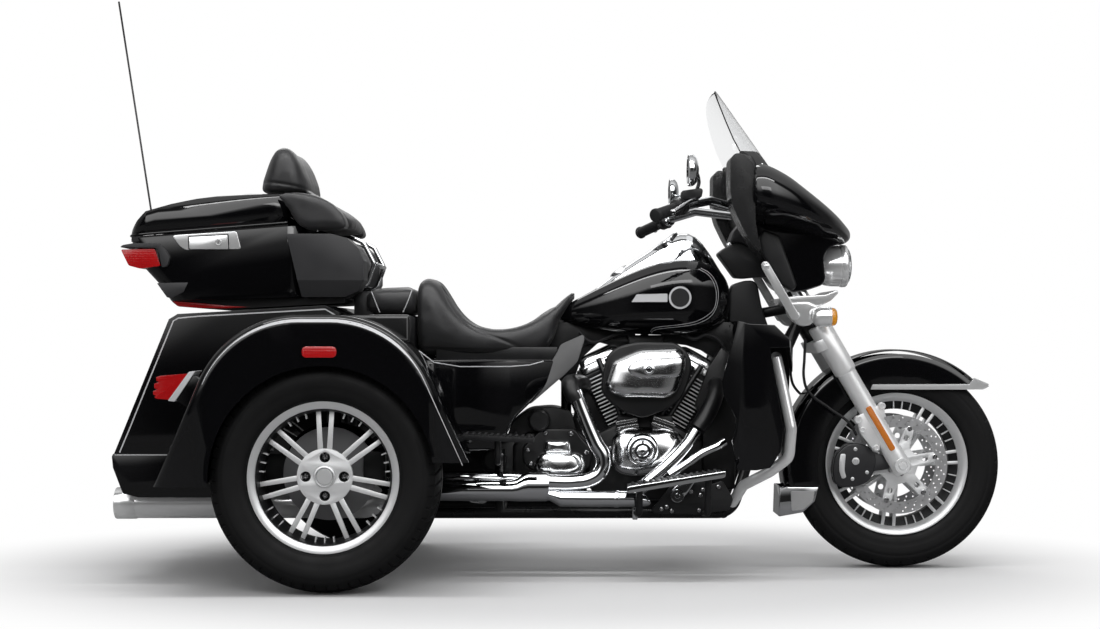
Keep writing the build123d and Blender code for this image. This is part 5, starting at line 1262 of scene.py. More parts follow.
LUMBAR_ROWS = [(869, -716, -604, 150), (876, -718, -582, 158), (900, -718, -560, 162),
    (930, -718, -551, 163), (960, -718, -562, 162), (985, -718, -584, 158), (994, -716, -606, 150)]
lumbar = lofted("lumbar_cushion", [pad_ring(row, 40) for row in LUMBAR_ROWS])
blown_up(lumbar, VOXEL, 4, 0.0025)
press_crease(lumbar, [(-590, 880), (-566, 930), (-592, 984)], 2.0, 4.0, lambda p: abs(p.y) > 120)
settle(lumbar, "seat_black", "chassis", ("lumbar_pad",), 60)
print("pads", len(backrest.data.polygons), len(arm_rests.data.polygons), len(lumbar.data.polygons))

# %% Pan under the saddle
seat_pan = joined("seat_pan", [plate("pan", [(-342, 676), (24, 676), (24, 630), (-342, 630)], 6,
    -150, 150, 3, 2), plate("nose", [(-4, 772), (44, 776), (44, 672), (-4, 672)], 6, -40, 40, 3,
    2)])
settle(seat_pan, "trim_black", "chassis")
print("seat pan", len(seat_pan.data.polygons))

# %% Nose of the saddle, on the tank's tail
NOSE_ROWS = [(-34, 112, 700, 764), (-6, 104, 712, 779), (14, 98, 735, 798), (34, 90, 765, 817),
    (52, 78, 792, 832), (66, 62, 812, 842), (75, 40, 824, 841)]
saddle_nose = lofted("saddle_nose", [ring_at(*row, 2, 3.4) for row in NOSE_ROWS])
settle(saddle_nose, "seat_black", "chassis", (), 70)
pillion_foot = plate("pillion_foot", [(-588, 842), (-530, 842), (-530, 766), (-588, 766)], 8, -160,
    160, 4, 2)
settle(pillion_foot, "trim_black", "chassis")
print("saddle nose", len(saddle_nose.data.polygons))


# %% [markdown]
# ## Lines that lie on the bodywork
#
# Silver lines and badges follow a curved panel; the lines are painted highlights. Each is drawn
# flat in
# side view and then laid on the panel: every corner is shot sideways at the panel's own surface and
# stops a hair outside it.

# %% Laying a drawing on a panel
def surface_of(*pieces):
    """A search tree over some pieces' surfaces."""
    verts, faces = [], []
    for piece in pieces:
        start = len(verts)
        verts += [v.co.copy() for v in piece.data.vertices]
        faces += [[start + i for i in face.vertices] for face in piece.data.polygons]
    return BVHTree.FromPolygons(verts, faces)


OUTSIDE = 900  # a drawing for a panel starts this far out, in millimetres


def laid_on(piece, tree, side):
    """Moves a flat drawing that was made outside the vehicle onto a panel, straight inwards."""
    last = 0.0
    for vertex in piece.data.vertices:
        proud = abs(vertex.co.y) - OUTSIDE * MM
        hit = tree.ray_cast(Vector((vertex.co.x, side * 2.0, vertex.co.z)),
            Vector((0, -side, 0)))[0]
        last = abs(hit.y) if hit else last
        vertex.co.y = side * (last + proud)
    return piece


TANK = surface_of(SKIN["fuel_tank"])
# Where the tank's nose shows a double highlight, two silver lines paint it in.
NOSE_HIGHLIGHT = [(306, 716), (322, 729), (400, 738), (448, 748), (484, 768), (503, 800), (508, 838),
    (500, 872), (482, 898), (455, 914)]


def tank_highlight_lines(side):
    """Two thin silver lines round the tank's nose and along its foot: a painted double highlight.
    """
    lines = []
    for shift in (0, 6.5):
        drawn = [(x - shift * (0.4 + 0.6 * (x > 440)), z + shift * (0.9 if z < 800 else -0.5))
            for x, z in NOSE_HIGHLIGHT]
        lines.append(laid_on(stripe("line", drawn, side * OUTSIDE, 1.5, 0.35, 6), TANK, side))
    return joined("tank_highlight_lines", lines)


tank_nose_highlights = both_sides("tank_nose_highlights", tank_highlight_lines)
settle(tank_nose_highlights, "silver_trim_and_highlight", "chassis")
print("tank lines", len(tank_nose_highlights.data.polygons))


# %% The tank badge, left plain
def laid_plate(name, outline, tree, side, proud):
    """A thin plate with a side-view outline, laid on a panel and cut up to follow it."""
    made = flat_plate(name, [outline], side * OUTSIDE, side * (OUTSIDE + proud))
    work = bmesh.new()
    work.from_mesh(made.data)
    for axis, cuts in ((0, 9), (2, 3)):
        for step in range(1, cuts):
            spots = [v.co[axis] for v in work.verts]
            place = min(spots) + (max(spots) - min(spots)) * step / cuts
            normal = Vector((axis == 0, 0, axis == 2))
            bmesh.ops.bisect_plane(work, geom=work.verts[:] + work.edges[:] + work.faces[:],
                plane_co=normal * place, plane_no=normal, dist=1e-7)
    work.to_mesh(made.data)
    work.free()
    return laid_on(made, tree, side)


def tank_badge(side):
    """A slanted bar and a round boss with a rim, with nothing written on them."""
    bar = laid_plate("badge_bar", rounded([(245, 811), (260, 834), (352, 836), (352, 811)], 2),
        TANK, side, 2.4)
    disc = laid_plate("badge_disc", circle(390, 824, 34, 48), TANK, side, 2.8)
    rim = laid_plate("badge_rim", circle(390, 824, 28, 48), TANK, side, 3.8)
    return bar, disc, rim


badge_bars, badge_discs, badge_rims = zip(tank_badge(-1), tank_badge(1))
settle(joined("badge_bar", badge_bars + badge_discs), "silver_trim_and_highlight", "chassis")
settle(joined("badge_face", badge_rims), "trim_black", "chassis")
print("badge ready")


# %% [markdown]
# ## The tank console
#
# A chromed casting runs along the tank's ridge from the saddle to the steering head, and swells
# into a round instrument housing near its front. It is lofted through sections across the vehicle,
# each a half-oval, so that one smooth skin carries the long reflections.

# %% The console
# A row is x, the half width, the foot and the top.
CONSOLE = [(118, 20, 806, 824), (124, 26, 808, 842), (150, 34, 812, 862), (190, 42, 830, 893),
    (230, 50, 850, 922), (264, 54, 866, 945), (300, 57, 884, 968), (318, 60, 890, 981),
    (345, 66, 896, 1000), (372, 72, 900, 1016), (400, 75, 902, 1024), (426, 75, 902, 1024),
    (448, 73, 900, 1014), (470, 68, 896, 993), (488, 62, 888, 968), (504, 55, 878, 944),
    (516, 50, 866, 924), (530, 44, 858, 902), (540, 38, 852, 880)]
console = lofted("console_shell", [[(x, half * squared(c, 0.72),
    foot + (top - foot) * s ** 0.80 if s > 0 else foot + 6 * s) for c, s in round_steps(36, 0.5)]
    for x, half, foot, top in CONSOLE])
bevel_mesh(console, 0.004, 2, 50)
settle(console, "chrome", "chassis", ("tank_console",), 40)
GAUGE_AXIS = Vector((-0.62, 0, 0.785))
GAUGE_PLACE = Vector((352, 0, 992))
gauge_rim = turned("gauge_rim", [(0, 2), (44, 2), (46, 8), (50, 9), (53, 6), (54, 0), (54, -26),
    (0, -26)], GAUGE_PLACE, GAUGE_AXIS)
settle(gauge_rim, "chrome", "chassis")
gauge_face = turned("gauge_face", [(0, 0.5), (44.5, 0.5), (44.5, 4.2), (0, 4.2)], GAUGE_PLACE,
    GAUGE_AXIS)
settle(gauge_face, "trim_black", "chassis")
cap = turned("filler_cap", [(0, 10), (20, 9.4), (28, 7), (31, 2), (31, -8), (0, -8)], (214, 0, 906),
    (-0.55, 0, 0.83), 40)
settle(cap, "chrome", "chassis")
print("console", len(console.data.polygons))


# %% [markdown]
# ## The top box
#
# The box has a lid with a bead along its lip, a chromed latch with a barrel lock on its right
# flank, lamps at its rear corners in black housings, and a plinth with a red strip that ties it to
# the trunk.

# %% Lid bead, gasket, latch
def lid_rim(x):
    """The height of the lid's lower edge."""
    return 1000 + (x + 1240) * 37.6 / 474


BEAD_PATH = [(-770, -285.5), (-1184, -285.5)]
BEAD_PATH += [(-1180.5 - 60 * sin(t * pi / 16), -225.5 - 60 * cos(t * pi / 16))
    for t in range(1, 8)]
BEAD_PATH += [(-1240.5, -225), (-1240.5, 225)]
lid_bead = tube("lid_bead", [(x, y, lid_rim(x) + 4.5) for x, y in BEAD_PATH], 3.4, False, 3)
settle(lid_bead, "gloss_black", "box_lid_body")
gasket = flat_plate("box_gasket", [[(-1228, lid_rim(-1228) - 16), (-770, lid_rim(-770) - 16),
    (-770, lid_rim(-770) - 0.6), (-1228, lid_rim(-1228) - 0.6)]], -280, 280)
settle(gasket, "rubber", "chassis")
LATCH = [(-1106, 1002), (-1097, 1005), (-922, 1016), (-917, 1012), (-905, 964), (-1066, 961),
    (-1084, 972)]
LATCH_PANEL = [(-1058, 999), (-944, 1005), (-942, 963.5), (-1056, 963.5)]


def latch_of(side):
    """A latch plate with a raised flap and a barrel lock."""
    y = side * 285
    base = plate("latch_plate", LATCH, 7, y - side * 1, y + side * 5, 2.0, 3)
    flap = plate("latch_flap", LATCH_PANEL, 4, y + side * 4, y + side * 7, 1.2, 2)
    ring = turned("lock_ring", [(0, 0), (9.5, 0), (9.5, 4), (8.5, 5), (6.8, 5), (6.3, 3.6),
        (0, 3.6)], (-971, y + side * 6.2, 983), (0, side, 0), 32)
    return joined("latch", [base, flap, ring])


latches = latch_of(-1)
settle(latches, "chrome_with_painted_reflection", "chassis")
slots = joined("latch_slots", [flat_plate("groove", [rounded([(-1061, 1002), (-941, 1008),
    (-939, 961), (-1059, 961)], 5), rounded(LATCH_PANEL, 4)], -288.5, -290.4),
    plate("keyway", [(-972, 979), (-970, 979), (-970, 987), (-972, 987)], 0.8, -293, -295.2)])
settle(slots, "trim_black", "chassis")
print("latch", len(latches.data.polygons))

# %% Box lamps and their housings
BOX_LENS = [(-1255, 962), (-1156, 964), (-1139, 914), (-1170, 910), (-1199, 906), (-1232, 915)]
LENS_HOUSING = [(-1257, 968), (-1250, 975), (-1214, 981), (-1142, 980), (-1121, 958), (-1112, 936),
    (-1118, 914), (-1134, 909), (-1143, 960), (-1156, 967)]
MARKER = rounded([(-671, 651), (-577, 651), (-577, 681), (-671, 681)], 15, 7)


def lens_set(side):
    """A box lamp's lens and a fender marker."""
    lens = plate("box_lens", BOX_LENS, 6, side * 204, side * 299, 4, 3)
    marker = flat_plate("marker", [MARKER], side * 685.5, side * 693.5, 2.4, 3)
    return joined("lens_set", [lens, marker])


red_lenses = both_sides("red_lens_set", lens_set)
settle(red_lenses, "red_lens", "chassis", ("red_lenses",))
housings = plate_pair("lamp_housings", LENS_HOUSING, 190, 301.5, 3, 3, 5)
settle(housings, "satin_panel", "chassis")
inner_housing = plate_pair("lamp_backs", [(-1240, 960), (-1150, 962), (-1136, 918), (-1222, 920)],
    186, 215, 2, 2, 4)
settle(inner_housing, "trim_black", "chassis")
print("lamps", len(red_lenses.data.polygons))

# %% Pods with a folded flank, the plinth and its red strip
pods = new_object("pod_shells", merged_copy("speaker_pods", "pod_shells"))
work = bmesh.new()
work.from_mesh(pods.data)
FOLD, INNER = 0.872, 0.2865  # the height of the flank's fold, and how far in the flank may lean
bmesh.ops.bisect_plane(work, geom=work.verts[:] + work.edges[:] + work.faces[:],
    plane_co=(0, 0, FOLD), plane_no=(0, 0, 1), dist=1e-6)
for vertex in work.verts:
    if vertex.co.z < FOLD - 0.0005 and abs(vertex.co.y) > INNER:
        drop = FOLD - vertex.co.z
        vertex.co.y -= (1 if vertex.co.y > 0 else -1) * min(drop * 0.30, abs(vertex.co.y) - INNER)
work.to_mesh(pods.data)
work.free()
for vertex in pods.data.vertices:
    if vertex.co.x < -0.74:
        vertex.co.x = -0.727 - 0.238 * (vertex.co.z - 0.823)
bevel_mesh(pods, 0.007, 3, 12)
settle(pods, "satin_panel", "chassis", ("speaker_pods",), 34)

PLINTH = [(-1118, 812), (-1098, 796), (-1000, 788), (-880, 792), (-722, 801), (-606, 806),
    (-604, 822), (-721, 822.5)]
plinth = plate("box_plinth", PLINTH, 5, -246, 246, 5, 3)
settle(plinth, "trim_black", "chassis", ("box_carrier",))
PLINTH_STRIP = [(-1116, 812), (-1098, 797), (-1040, 791.5), (-960, 790.5), (-885, 794.5),
    (-960, 799), (-1040, 807)]
strip = plate_pair("plinth_strip", PLINTH_STRIP, 240, 249, 1.2, 2)
settle(strip, "red_lens", "chassis")
case_foot = plate("case_foot", [(-1152, 864), (-1060, 866), (-1074, 838), (-1110, 820),
    (-1122, 822)], 4, -282, -286.3, 1.2, 2)
settle(case_foot, "satin_panel", "chassis")
print("pods and plinth")


# %% [markdown]
# ## Trunk, fenders and tail lamps
#
# Silver stripes along the trunk's edge, the fender's crown and the top of the side panel are
# painted highlights, where those rounded edges catch the light. The tail lamps are deep ribbed
# lenses in short chromed collars, tucked behind each fender.

# %% Stripes that paint highlights, the trunk's lip strip and the pillion's welts
def arc_corners(points, radius, steps=14):
    """A line with its inner corners turned into true arcs."""
    made = [Vector(points[0])]
    for before, here, after in zip(points, points[1:], points[2:]):
        before, here, after = Vector(before), Vector(here), Vector(after)
        into, out = (before - here).normalized(), (after - here).normalized()
        half = into.angle(out) / 2
        reach = radius / tan(half)
        middle = here + (into + out).normalized() * radius / sin(half)
        start, end = here + into * reach, here + out * reach
        first = (start - middle)
        turn = first.angle_signed(end - middle)
        for step in range(steps + 1):
            a = -turn * step / steps
            made.append(middle + Vector((first.x * cos(a) - first.y * sin(a),
                first.x * sin(a) + first.y * cos(a))))
    return made + [Vector(points[-1])]


FENDERS = surface_of(SKIN["rear_fenders"])
ARCH_LINE = arc_corners([(-1077, 300), (-880, 768), (-403, 768), (-221, 366)], 300, 16)


def drawn_in(line, distance):
    """A line moved to its right by a distance."""
    made = []
    for i, here in enumerate(line):
        run = (line[min(i + 1, len(line) - 1)] - line[max(i - 1, 0)]).normalized()
        made.append(here + Vector((run.y, -run.x)) * distance)
    return made


def crown_highlight(side):
    """A silver stripe on a fender's crown, a painted highlight: thick over the wheel and fine at
    its feet.
    """
    line = [p for p in drawn_in(ARCH_LINE, 17) if p.y > 345]
    # The stripe is widest over the wheel, where the crown's highlight is brightest.
    widths = [1.6, 2.0, 3.0, 6.5, 8.0, 8.5, 8.5, 8.0, 6.5, 2.5, 1.4]
    return laid_on(stripe("bead", line, side * OUTSIDE, widths, 0.5, 3, False), FENDERS, side)


crown = both_sides("fender_crown_highlights", crown_highlight)
settle(crown, "silver_trim_and_highlight", "chassis")
# The stripe along the trunk's edge is a painted highlight on its rounded edge; the lip at its foot
# is a real bright strip.
TRUNK_EDGE = [(-1224, 378), (-1196, 445), (-1148, 565), (-1072, 752), (-1058, 760), (-1000, 765.5),
    (-640, 785.5), (-610, 768)]
trunk_edge_highlights_and_lip = both_sides("trunk_edge_highlights_and_lip", lambda side: joined("beads",
    [stripe("edge", TRUNK_EDGE, side * 434, 3.6, 0.6, 1, False),
    stripe("lip", [(-1238, 371), (-1084, 371)], side * 434, 2.2, 0.6, 1, False)]))
settle(trunk_edge_highlights_and_lip, "silver_trim_and_highlight", "chassis")
# A silver bead along the side panel's top edge: a painted highlight where that edge catches the
# light.
PANEL_HIGHLIGHT_LINE = [(-430, 434.5, 708), (-385, 434.5, 676), (-330, 434.5, 634), (-262, 322.5, 620),
    (-120, 251, 619), (-60, 218, 623), (-20, 196, 634)]
panel_edge_highlight = both_sides("panel_edge_highlights", lambda side: tube("bead",
    [(x, side * y, z) for x, y, z in PANEL_HIGHLIGHT_LINE], 1.5, False, 3))
settle(panel_edge_highlight, "silver_trim_and_highlight", "chassis")
# The pillion's welts are real piping, coloured silver as a painted highlight.
pillion_piping_highlight = both_sides("pillion_piping_highlight", lambda side: joined("piping",
    [tube("piping", [(-533, side * 190.5, 842), (-520, side * 196, 810), (-508, side * 195, 780)],
    1.6, True, 3), tube("piping", [(-412, side * 190.5, 846), (-424, side * 196, 812),
    (-438, side * 195, 780)], 1.6, True, 3)]))
settle(pillion_piping_highlight, "silver_trim_and_highlight", "chassis")
print("painted_highlight_stripes", len(crown.data.polygons))

# %% Tail lamps
def lamp_block(outline, half, radius, bevel):
    """One block of both tail lamps, cut from a side drawing."""
    return both_sides("part", lambda side: flat_plate("part", [rounded(outline, radius, 3)],
        side * 560 - half, side * 560 + half, bevel, 3))


lamp_bodies = lamp_block([(-984, 604), (-1036, 538), (-985, 505), (-920, 560)], 44, 4, 4)
settle(lamp_bodies, "gloss_black", "chassis", ("tail_lamps",))
lamp_collars = lamp_block([(-974, 613), (-992, 611), (-1050, 531), (-1031, 529)], 49, 3, 2)
settle(lamp_collars, "silver_trim_and_highlight", "chassis")
lamp_lenses = lamp_block([(-992, 606), (-1070, 600), (-1083, 596), (-1082, 586), (-1074, 583),
    (-1088, 578), (-1088, 566), (-1079, 563), (-1091, 558), (-1091, 548), (-1083, 545),
    (-1088, 541), (-1082, 537), (-1047, 534)], 45, 1.5, 2)
settle(lamp_lenses, "red_lens", "chassis", ("tail_lenses",))
print("tail lamps", len(lamp_lenses.data.polygons))


# %% [markdown]
# ## The wind screen
#
# The screen is one sheet of clear acrylic, bowed round the rider and rounded at its top. It is a
# grid of points on that bowed surface, given a thickness towards the rider, with its rim closed,
# so that glass shading bends the light through a real wall.

# %% The screen
# A row is the height, the half width, x at the sides and x in the middle.
SCREEN_ROWS = [(1196, 250, 592, 696), (1217, 252, 582, 685), (1260, 249, 560, 654),
    (1292, 243, 544, 632), (1341, 229, 525, 597), (1381, 209, 512, 568), (1410, 185, 504, 548),
    (1432, 155, 500, 532), (1447, 119, 500, 522), (1456, 78, 504, 516), (1461, 34, 508, 511)]
SCREEN_STEPS = 32
verts, faces = [], []
for layer in (0, -4.0):
    for z, half, side_x, mid_x in SCREEN_ROWS:
        for step in range(SCREEN_STEPS + 1):
            u = -1 + 2 * step / SCREEN_STEPS
            verts.append((mid_x - (mid_x - side_x) * abs(u) ** 1.8 + layer, half * u, z))
row = SCREEN_STEPS + 1
sheet = row * len(SCREEN_ROWS)
for r in range(len(SCREEN_ROWS) - 1):
    for c in range(SCREEN_STEPS):
        a = r * row + c
        faces.append((a, a + 1, a + row + 1, a + row))
        faces.append((sheet + a, sheet + a + row, sheet + a + row + 1, sheet + a + 1))
rim = [(0, c) for c in range(row)] + [(r, row - 1) for r in range(1, len(SCREEN_ROWS))]
rim += [(len(SCREEN_ROWS) - 1, c) for c in range(row - 2, -1, -1)] + [(r, 0)
    for r in range(len(SCREEN_ROWS) - 2, 0, -1)]
for (r1, c1), (r2, c2) in zip(rim, rim[1:] + rim[:1]):
    a, b = r1 * row + c1, r2 * row + c2
    faces.append((a, sheet + a, sheet + b, b))
screen = new_object("wind_screen", mesh_of("wind_screen", verts, faces))
settle(screen, "clear_screen", "steering", ("windshield",), 50)
print("screen", len(screen.data.polygons))

# %% The fairing's inner lobes, its cap and its lower cowl
LOBE = [(524, 1196), (524, 1226), (540, 1242), (566, 1236), (592, 1212), (596, 1120), (597, 1040),
    (612, 950), (590, 972), (562, 1018), (534, 1076), (523, 1130)]
lobes = plate_pair("inner_lobes", LOBE, 214, 338, 30, 8, 16)
settle(lobes, "lobe_black", "steering")
PANEL = [(556, 1240), (574, 1240), (596, 1140), (604, 1030), (590, 1030), (576, 1060)]
inner_panel = plate("inner_panel", PANEL, 5, -222, 222, 3, 3)
settle(inner_panel, "trim_black", "steering", ("dash_panel",))
# A row is x, the half width, the top, the foot and the height of the widest point.
FAIRING = [(590, 350, 1218, 1050, 1126), (600, 364, 1227, 1042, 1122), (640, 370, 1226, 1032, 1112),
    (700, 352, 1197, 1020, 1096), (752, 322, 1160, 1010, 1078), (815, 266, 1114, 1000, 1052),
    (860, 204, 1080, 994, 1034), (895, 136, 1051, 990, 1017), (914, 78, 1035, 998, 1014),
    (923, 28, 1025, 1010, 1018)]
rings = []
for x, half, top, foot, wide in smooth_line(FAIRING, 5):
    rings.append([(x, half * squared(c, 0.62 if s > 0 else 0.8),
        wide + (top - wide) * s ** 0.72 if s > 0 else wide + (wide - foot) * s)
        for c, s in round_steps(72)])
fairing_shell = lofted("fairing_shell", rings)
settle(fairing_shell, "gloss_black", "steering", ("fairing",), 40)
CAP_HALF = 254  # half the cap's width
CAP_MIDDLE = [(624, 1264), (640, 1271), (662, 1248), (699, 1184), (664, 1174), (630, 1198)]
CAP_SIDE = [(557, 1250), (566, 1257), (588, 1242), (616, 1206), (600, 1182), (566, 1190)]
rings = []
for step in range(33):
    u = -1 + step / 16
    bow = abs(u) ** 1.8
    section = rounded([(a[0] + (b[0] - a[0]) * bow, a[1] + (b[1] - a[1]) * bow)
        for a, b in zip(CAP_MIDDLE, CAP_SIDE)], 7)
    rings.append([(x, CAP_HALF * u, z) for x, z in section])
screen_cap = lofted("screen_cap", rings)
settle(screen_cap, "trim_black", "steering")
cap_screws = joined("cap_screws", [turned("screw", [(0, 2.4), (3.5, 2.2), (5, 1), (5, -3), (0, -3)],
    (682 - 80 * abs(y / CAP_HALF) ** 1.8, y, 1217 + 7 * abs(y / CAP_HALF) ** 1.8), (0.86, 0, 0.5),
    16) for y in (-190, -96, -32, 32, 96, 190)])
settle(cap_screws, "steel_bolt", "steering")
COWL = [(604, 1062), (649, 1062), (694, 1045), (760, 1030), (820, 1017), (866, 1003), (874, 988),
    (838, 974), (824, 950), (824, 920), (829, 884), (820, 862), (769, 845), (728, 840), (696, 861),
    (660, 912), (634, 950), (616, 1015)]
cowl = plate("lower_cowl", COWL, 14, -150, 150, 26, 5)
settle(cowl, "gloss_black", "steering")
COWL_CHEEK = [(640, 1030), (690, 1010), (706, 960), (728, 900), (742, 858), (726, 843), (696, 862),
    (662, 912), (636, 955), (626, 1000)]
cheeks = plate_pair("cowl_cheeks", COWL_CHEEK, 140, 166, 9, 3, 10)
settle(cheeks, "trim_black", "steering")
print("fairing trim")

# %% Covers round the steering head
STEM_COVER = [(514, 962), (534, 978), (576, 1000), (628, 975), (700, 905), (676, 889), (640, 890),
    (596, 886), (568, 888)]
stem_cover = plate("stem_cover", STEM_COVER, 8, -42, 42, 6, 3)
settle(stem_cover, "trim_black", "steering")
riser = plate("riser", [(550, 996), (562, 1030), (592, 1066), (640, 1050), (632, 976), (580, 996)],
    8, -62, 62, 5, 3)
settle(riser, "trim_black", "steering")
switch = turned("lock_switch", [(0, 10), (7, 10), (8, 8), (13, 8), (14, 6), (14, -8), (0, -8)],
    (560, 0, 992), (-0.35, 0, 0.94), 32)
settle(switch, "chrome", "steering")
NECK_COVER = [(549, 840), (562, 868), (596, 879), (624, 880), (638, 866), (650, 800), (676, 722),
    (672, 708), (600, 720), (549, 752)]
neck_cover = plate("neck_cover", NECK_COVER, 10, -36, 36, 8, 3)
settle(neck_cover, "trim_black", "chassis")
STRAP = [(633, 914), (634, 928), (643, 934), (654, 930), (746, 772), (742, 756), (724, 756)]


def strap_of(side):
    """A bright strap down the fork's outer side, with its bolt."""
    strip = plate("strap", STRAP, 6, side * 168, side * 173, 1.6, 3)
    bolt = turned("bolt", [(0, 5), (4, 5), (8, 3), (9, 0), (9, -4), (0, -4)],
        (648, side * 173, 918), (0, side, 0), 24)
    return joined("strap", [strip, bolt])


straps = both_sides("fork_straps", strap_of)
settle(straps, "chrome_with_painted_reflection", "steering")
print("steering head")


# %% [markdown]
# ## Headlamp, lamp bar, fork
#
# The headlamp is a chromed bowl with a stepped bezel. Under it a chromed bar carries the turn
# signals and wraps the fork. Each fork leg is a satin sleeve over a polished tube, with a
# reflector low down.

# %% Headlamp
def along_x(name, profile, segments=64):
    """A part turned about the headlamp's axis. Rows are (radius, x)."""
    return turned(name, profile, (0, 0, 925), (1, 0, 0), segments)


lamp_shell = along_x("lamp_shell", [(0, 818), (34, 819), (46, 824), (54, 833), (60, 848),
    (62.5, 864), (63, 884), (63, 892), (61.5, 893), (61.5, 895), (65, 896), (65.5, 902), (65, 911),
    (62, 915), (58, 916), (57, 912), (50, 905), (36, 886), (18, 876), (0, 874)])
settle(lamp_shell, "chrome_with_painted_reflection", "steering", ("headlamp",), 40)
lamp_glass = along_x("lamp_glass", [(0, 929.5), (20, 929), (38, 926.5), (50, 922.5), (56.5, 917),
    (56.5, 911), (0, 911)])
settle(lamp_glass, "lamp_glass", "steering")
bulbs = joined("lamp_optics", [turned("optic", [(0, 14), (13, 13), (16, 8), (17, 0), (17, -16),
    (0, -16)], (888, y, z), (1, 0, 0), 32) for y, z in ((-24, 925), (24, 925), (0, 899))])
settle(bulbs, "chrome", "steering")
print("headlamp", len(lamp_shell.data.polygons))

# %% The lamp bar and signals
LAMP_BAR = [(706, 800), (694, 822), (732, 829), (827, 833), (862, 848), (866, 838), (842, 814),
    (806, 797), (772, 790)]
BAR_LOBE = [(704, 800), (714, 812), (772, 814), (808, 798), (804, 762), (776, 738), (744, 740),
    (716, 768)]


def bar_lobe(side):
    """The lobe of the lamp bar that covers a fork leg, with its bolt."""
    lobe = plate("lobe", BAR_LOBE, 14, side * 120, side * 164, 12, 4)
    bolt = turned("bolt", [(0, 6), (5, 6), (8.5, 4), (10, 0), (10, -4), (0, -4)],
        (740, side * 163, 771), (0, side, 0), 24)
    arm = tube("arm", [(790, side * 158, 774), (810, side * 176, 768), (815, side * 190, 766)], 12,
        True, 4)
    return joined("lobe", [lobe, bolt, arm])


lamp_bar = joined("lamp_bar", [plate("bar", LAMP_BAR, 6, -160, 160, 5, 3), bar_lobe(-1),
    bar_lobe(1)])
settle(lamp_bar, "chrome_with_painted_reflection", "steering", (), 40)
SIGNAL_Y, SIGNAL_Z = 190, 766
signal_shells = both_sides("signal_shells", lambda side: turned("shell",
    [(0, 782), (14, 783), (23, 788), (28, 797), (29, 808), (29, 828), (27.8, 829), (27.8, 831),
    (30, 832), (30, 837), (27.5, 839), (27.5, 836), (0, 836)], (0, side * SIGNAL_Y, SIGNAL_Z),
    (1, 0, 0), 48))
settle(signal_shells, "chrome_with_painted_reflection", "steering", ("signal_lamps",), 40)
signal_glass = both_sides("signal_glass", lambda side: turned("glass",
    [(0, 857), (12, 856.4), (20, 854.5), (25, 850.5), (27, 844), (27.4, 837), (0, 837)],
    (0, side * SIGNAL_Y, SIGNAL_Z), (1, 0, 0), 48))
settle(signal_glass, "amber_lens", "steering", ("signal_lenses",), 50)
print("lamp bar", len(lamp_bar.data.polygons))

# %% Fork legs
FORK_SLOPE = 0.5836
FORK_AXIS = Vector((-FORK_SLOPE, 0, 1)).normalized()


def on_fork(z, y):
    """A point on a fork leg's centre line."""
    return Vector((HUB_X - (z - HUB_Z) * FORK_SLOPE, y, z))


def fork_part(name, rows, segments=48):
    """A part turned about both fork legs. Rows are (radius, height)."""
    length = sqrt(1 + FORK_SLOPE ** 2)
    profile = [(radius, (z - HUB_Z) * length) for radius, z in rows]
    return both_sides(name, lambda side: turned("leg", profile, on_fork(HUB_Z, side * 112),
        FORK_AXIS, segments))


sleeves = fork_part("fork_sleeves", [(0, 298), (25, 298), (29, 302), (30, 308), (30, 360),
    (28.5, 372), (29, 560), (29.5, 598), (33.5, 601), (34.5, 606), (35.5, 738), (33, 742),
    (0, 742)])
settle(sleeves, "fork_satin", "steering", ("fork_legs",), 40)
tubes = fork_part("fork_tubes", [(0, 735), (22, 735), (22, 904), (19, 906), (0, 906)], 32)
settle(tubes, "chrome", "steering")
axle_ends = both_sides("axle_ends", lambda side: joined("end", [turned("boss",
    [(0, -26), (24, -26), (24, 3), (22, 6), (16, 6), (15, 3), (0, 3)], (HUB_X, side * 140, HUB_Z),
    (0, side, 0), 40), turned("nut", [(0, 0), (12, 0), (12, 8), (10.5, 9.5), (0, 9.5)],
    (HUB_X, side * 140, HUB_Z), (0, side, 0), 6)]))
settle(axle_ends, "fork_satin", "steering")
spindle = turned("front_spindle", [(0, -140), (12, -140), (12, 140), (0, 140)], FRONT_HUB,
    (0, 1, 0), 24)
settle(spindle, "steel_bolt", "steering")
REFLECTOR = [on_fork(z, 0) + Vector((cos(0.528), 0, sin(0.528))) * w
    for z, w in ((496, -9), (496, 9), (366, 9), (366, -9))]
reflectors = plate_pair("fork_reflectors", [(p.x, p.z) for p in REFLECTOR], 138, 146.5, 2, 3, 7)
settle(reflectors, "reflector_amber", "steering")
print("fork", len(sleeves.data.polygons))

# %% Fender trim, flap pad, brake pipes
FENDER_STRIP = [(976, 546), (982, 561), (1300, 562.5), (1338, 557), (1326, 549), (1290, 546)]
fender_strip = plate_pair("fender_strips", FENDER_STRIP, 74, 79, 1.6, 3, 3)
settle(fender_strip, "chrome_with_painted_reflection", "steering")
tip_strip = tube("fender_tip", [(1316, y, 555 - (abs(y) / 76) ** 2 * 1)
    for y in (-75, -50, -25, 0, 25, 50, 75)], 7)
settle(tip_strip, "chrome_with_painted_reflection", "steering")
TIP_SIDE = [(1268, 547), (1284, 572), (1293, 582), (1337, 563), (1330, 552), (1318, 546)]
fender_cap = joined("fender_cap", [*[plate("side", TIP_SIDE, 3, side * 69, side * 80, 3, 3)
    for side in (-1, 1)], plate("nose", [(1302, 560), (1296, 579), (1337, 563), (1328, 554)], 3,
    -72, 72, 2, 2)])
settle(fender_cap, "chrome_with_painted_reflection", "steering")
LUGS = ((1000, 498, 11), (929, 457, 12), (941, 426, 9), (983, 372, 9))
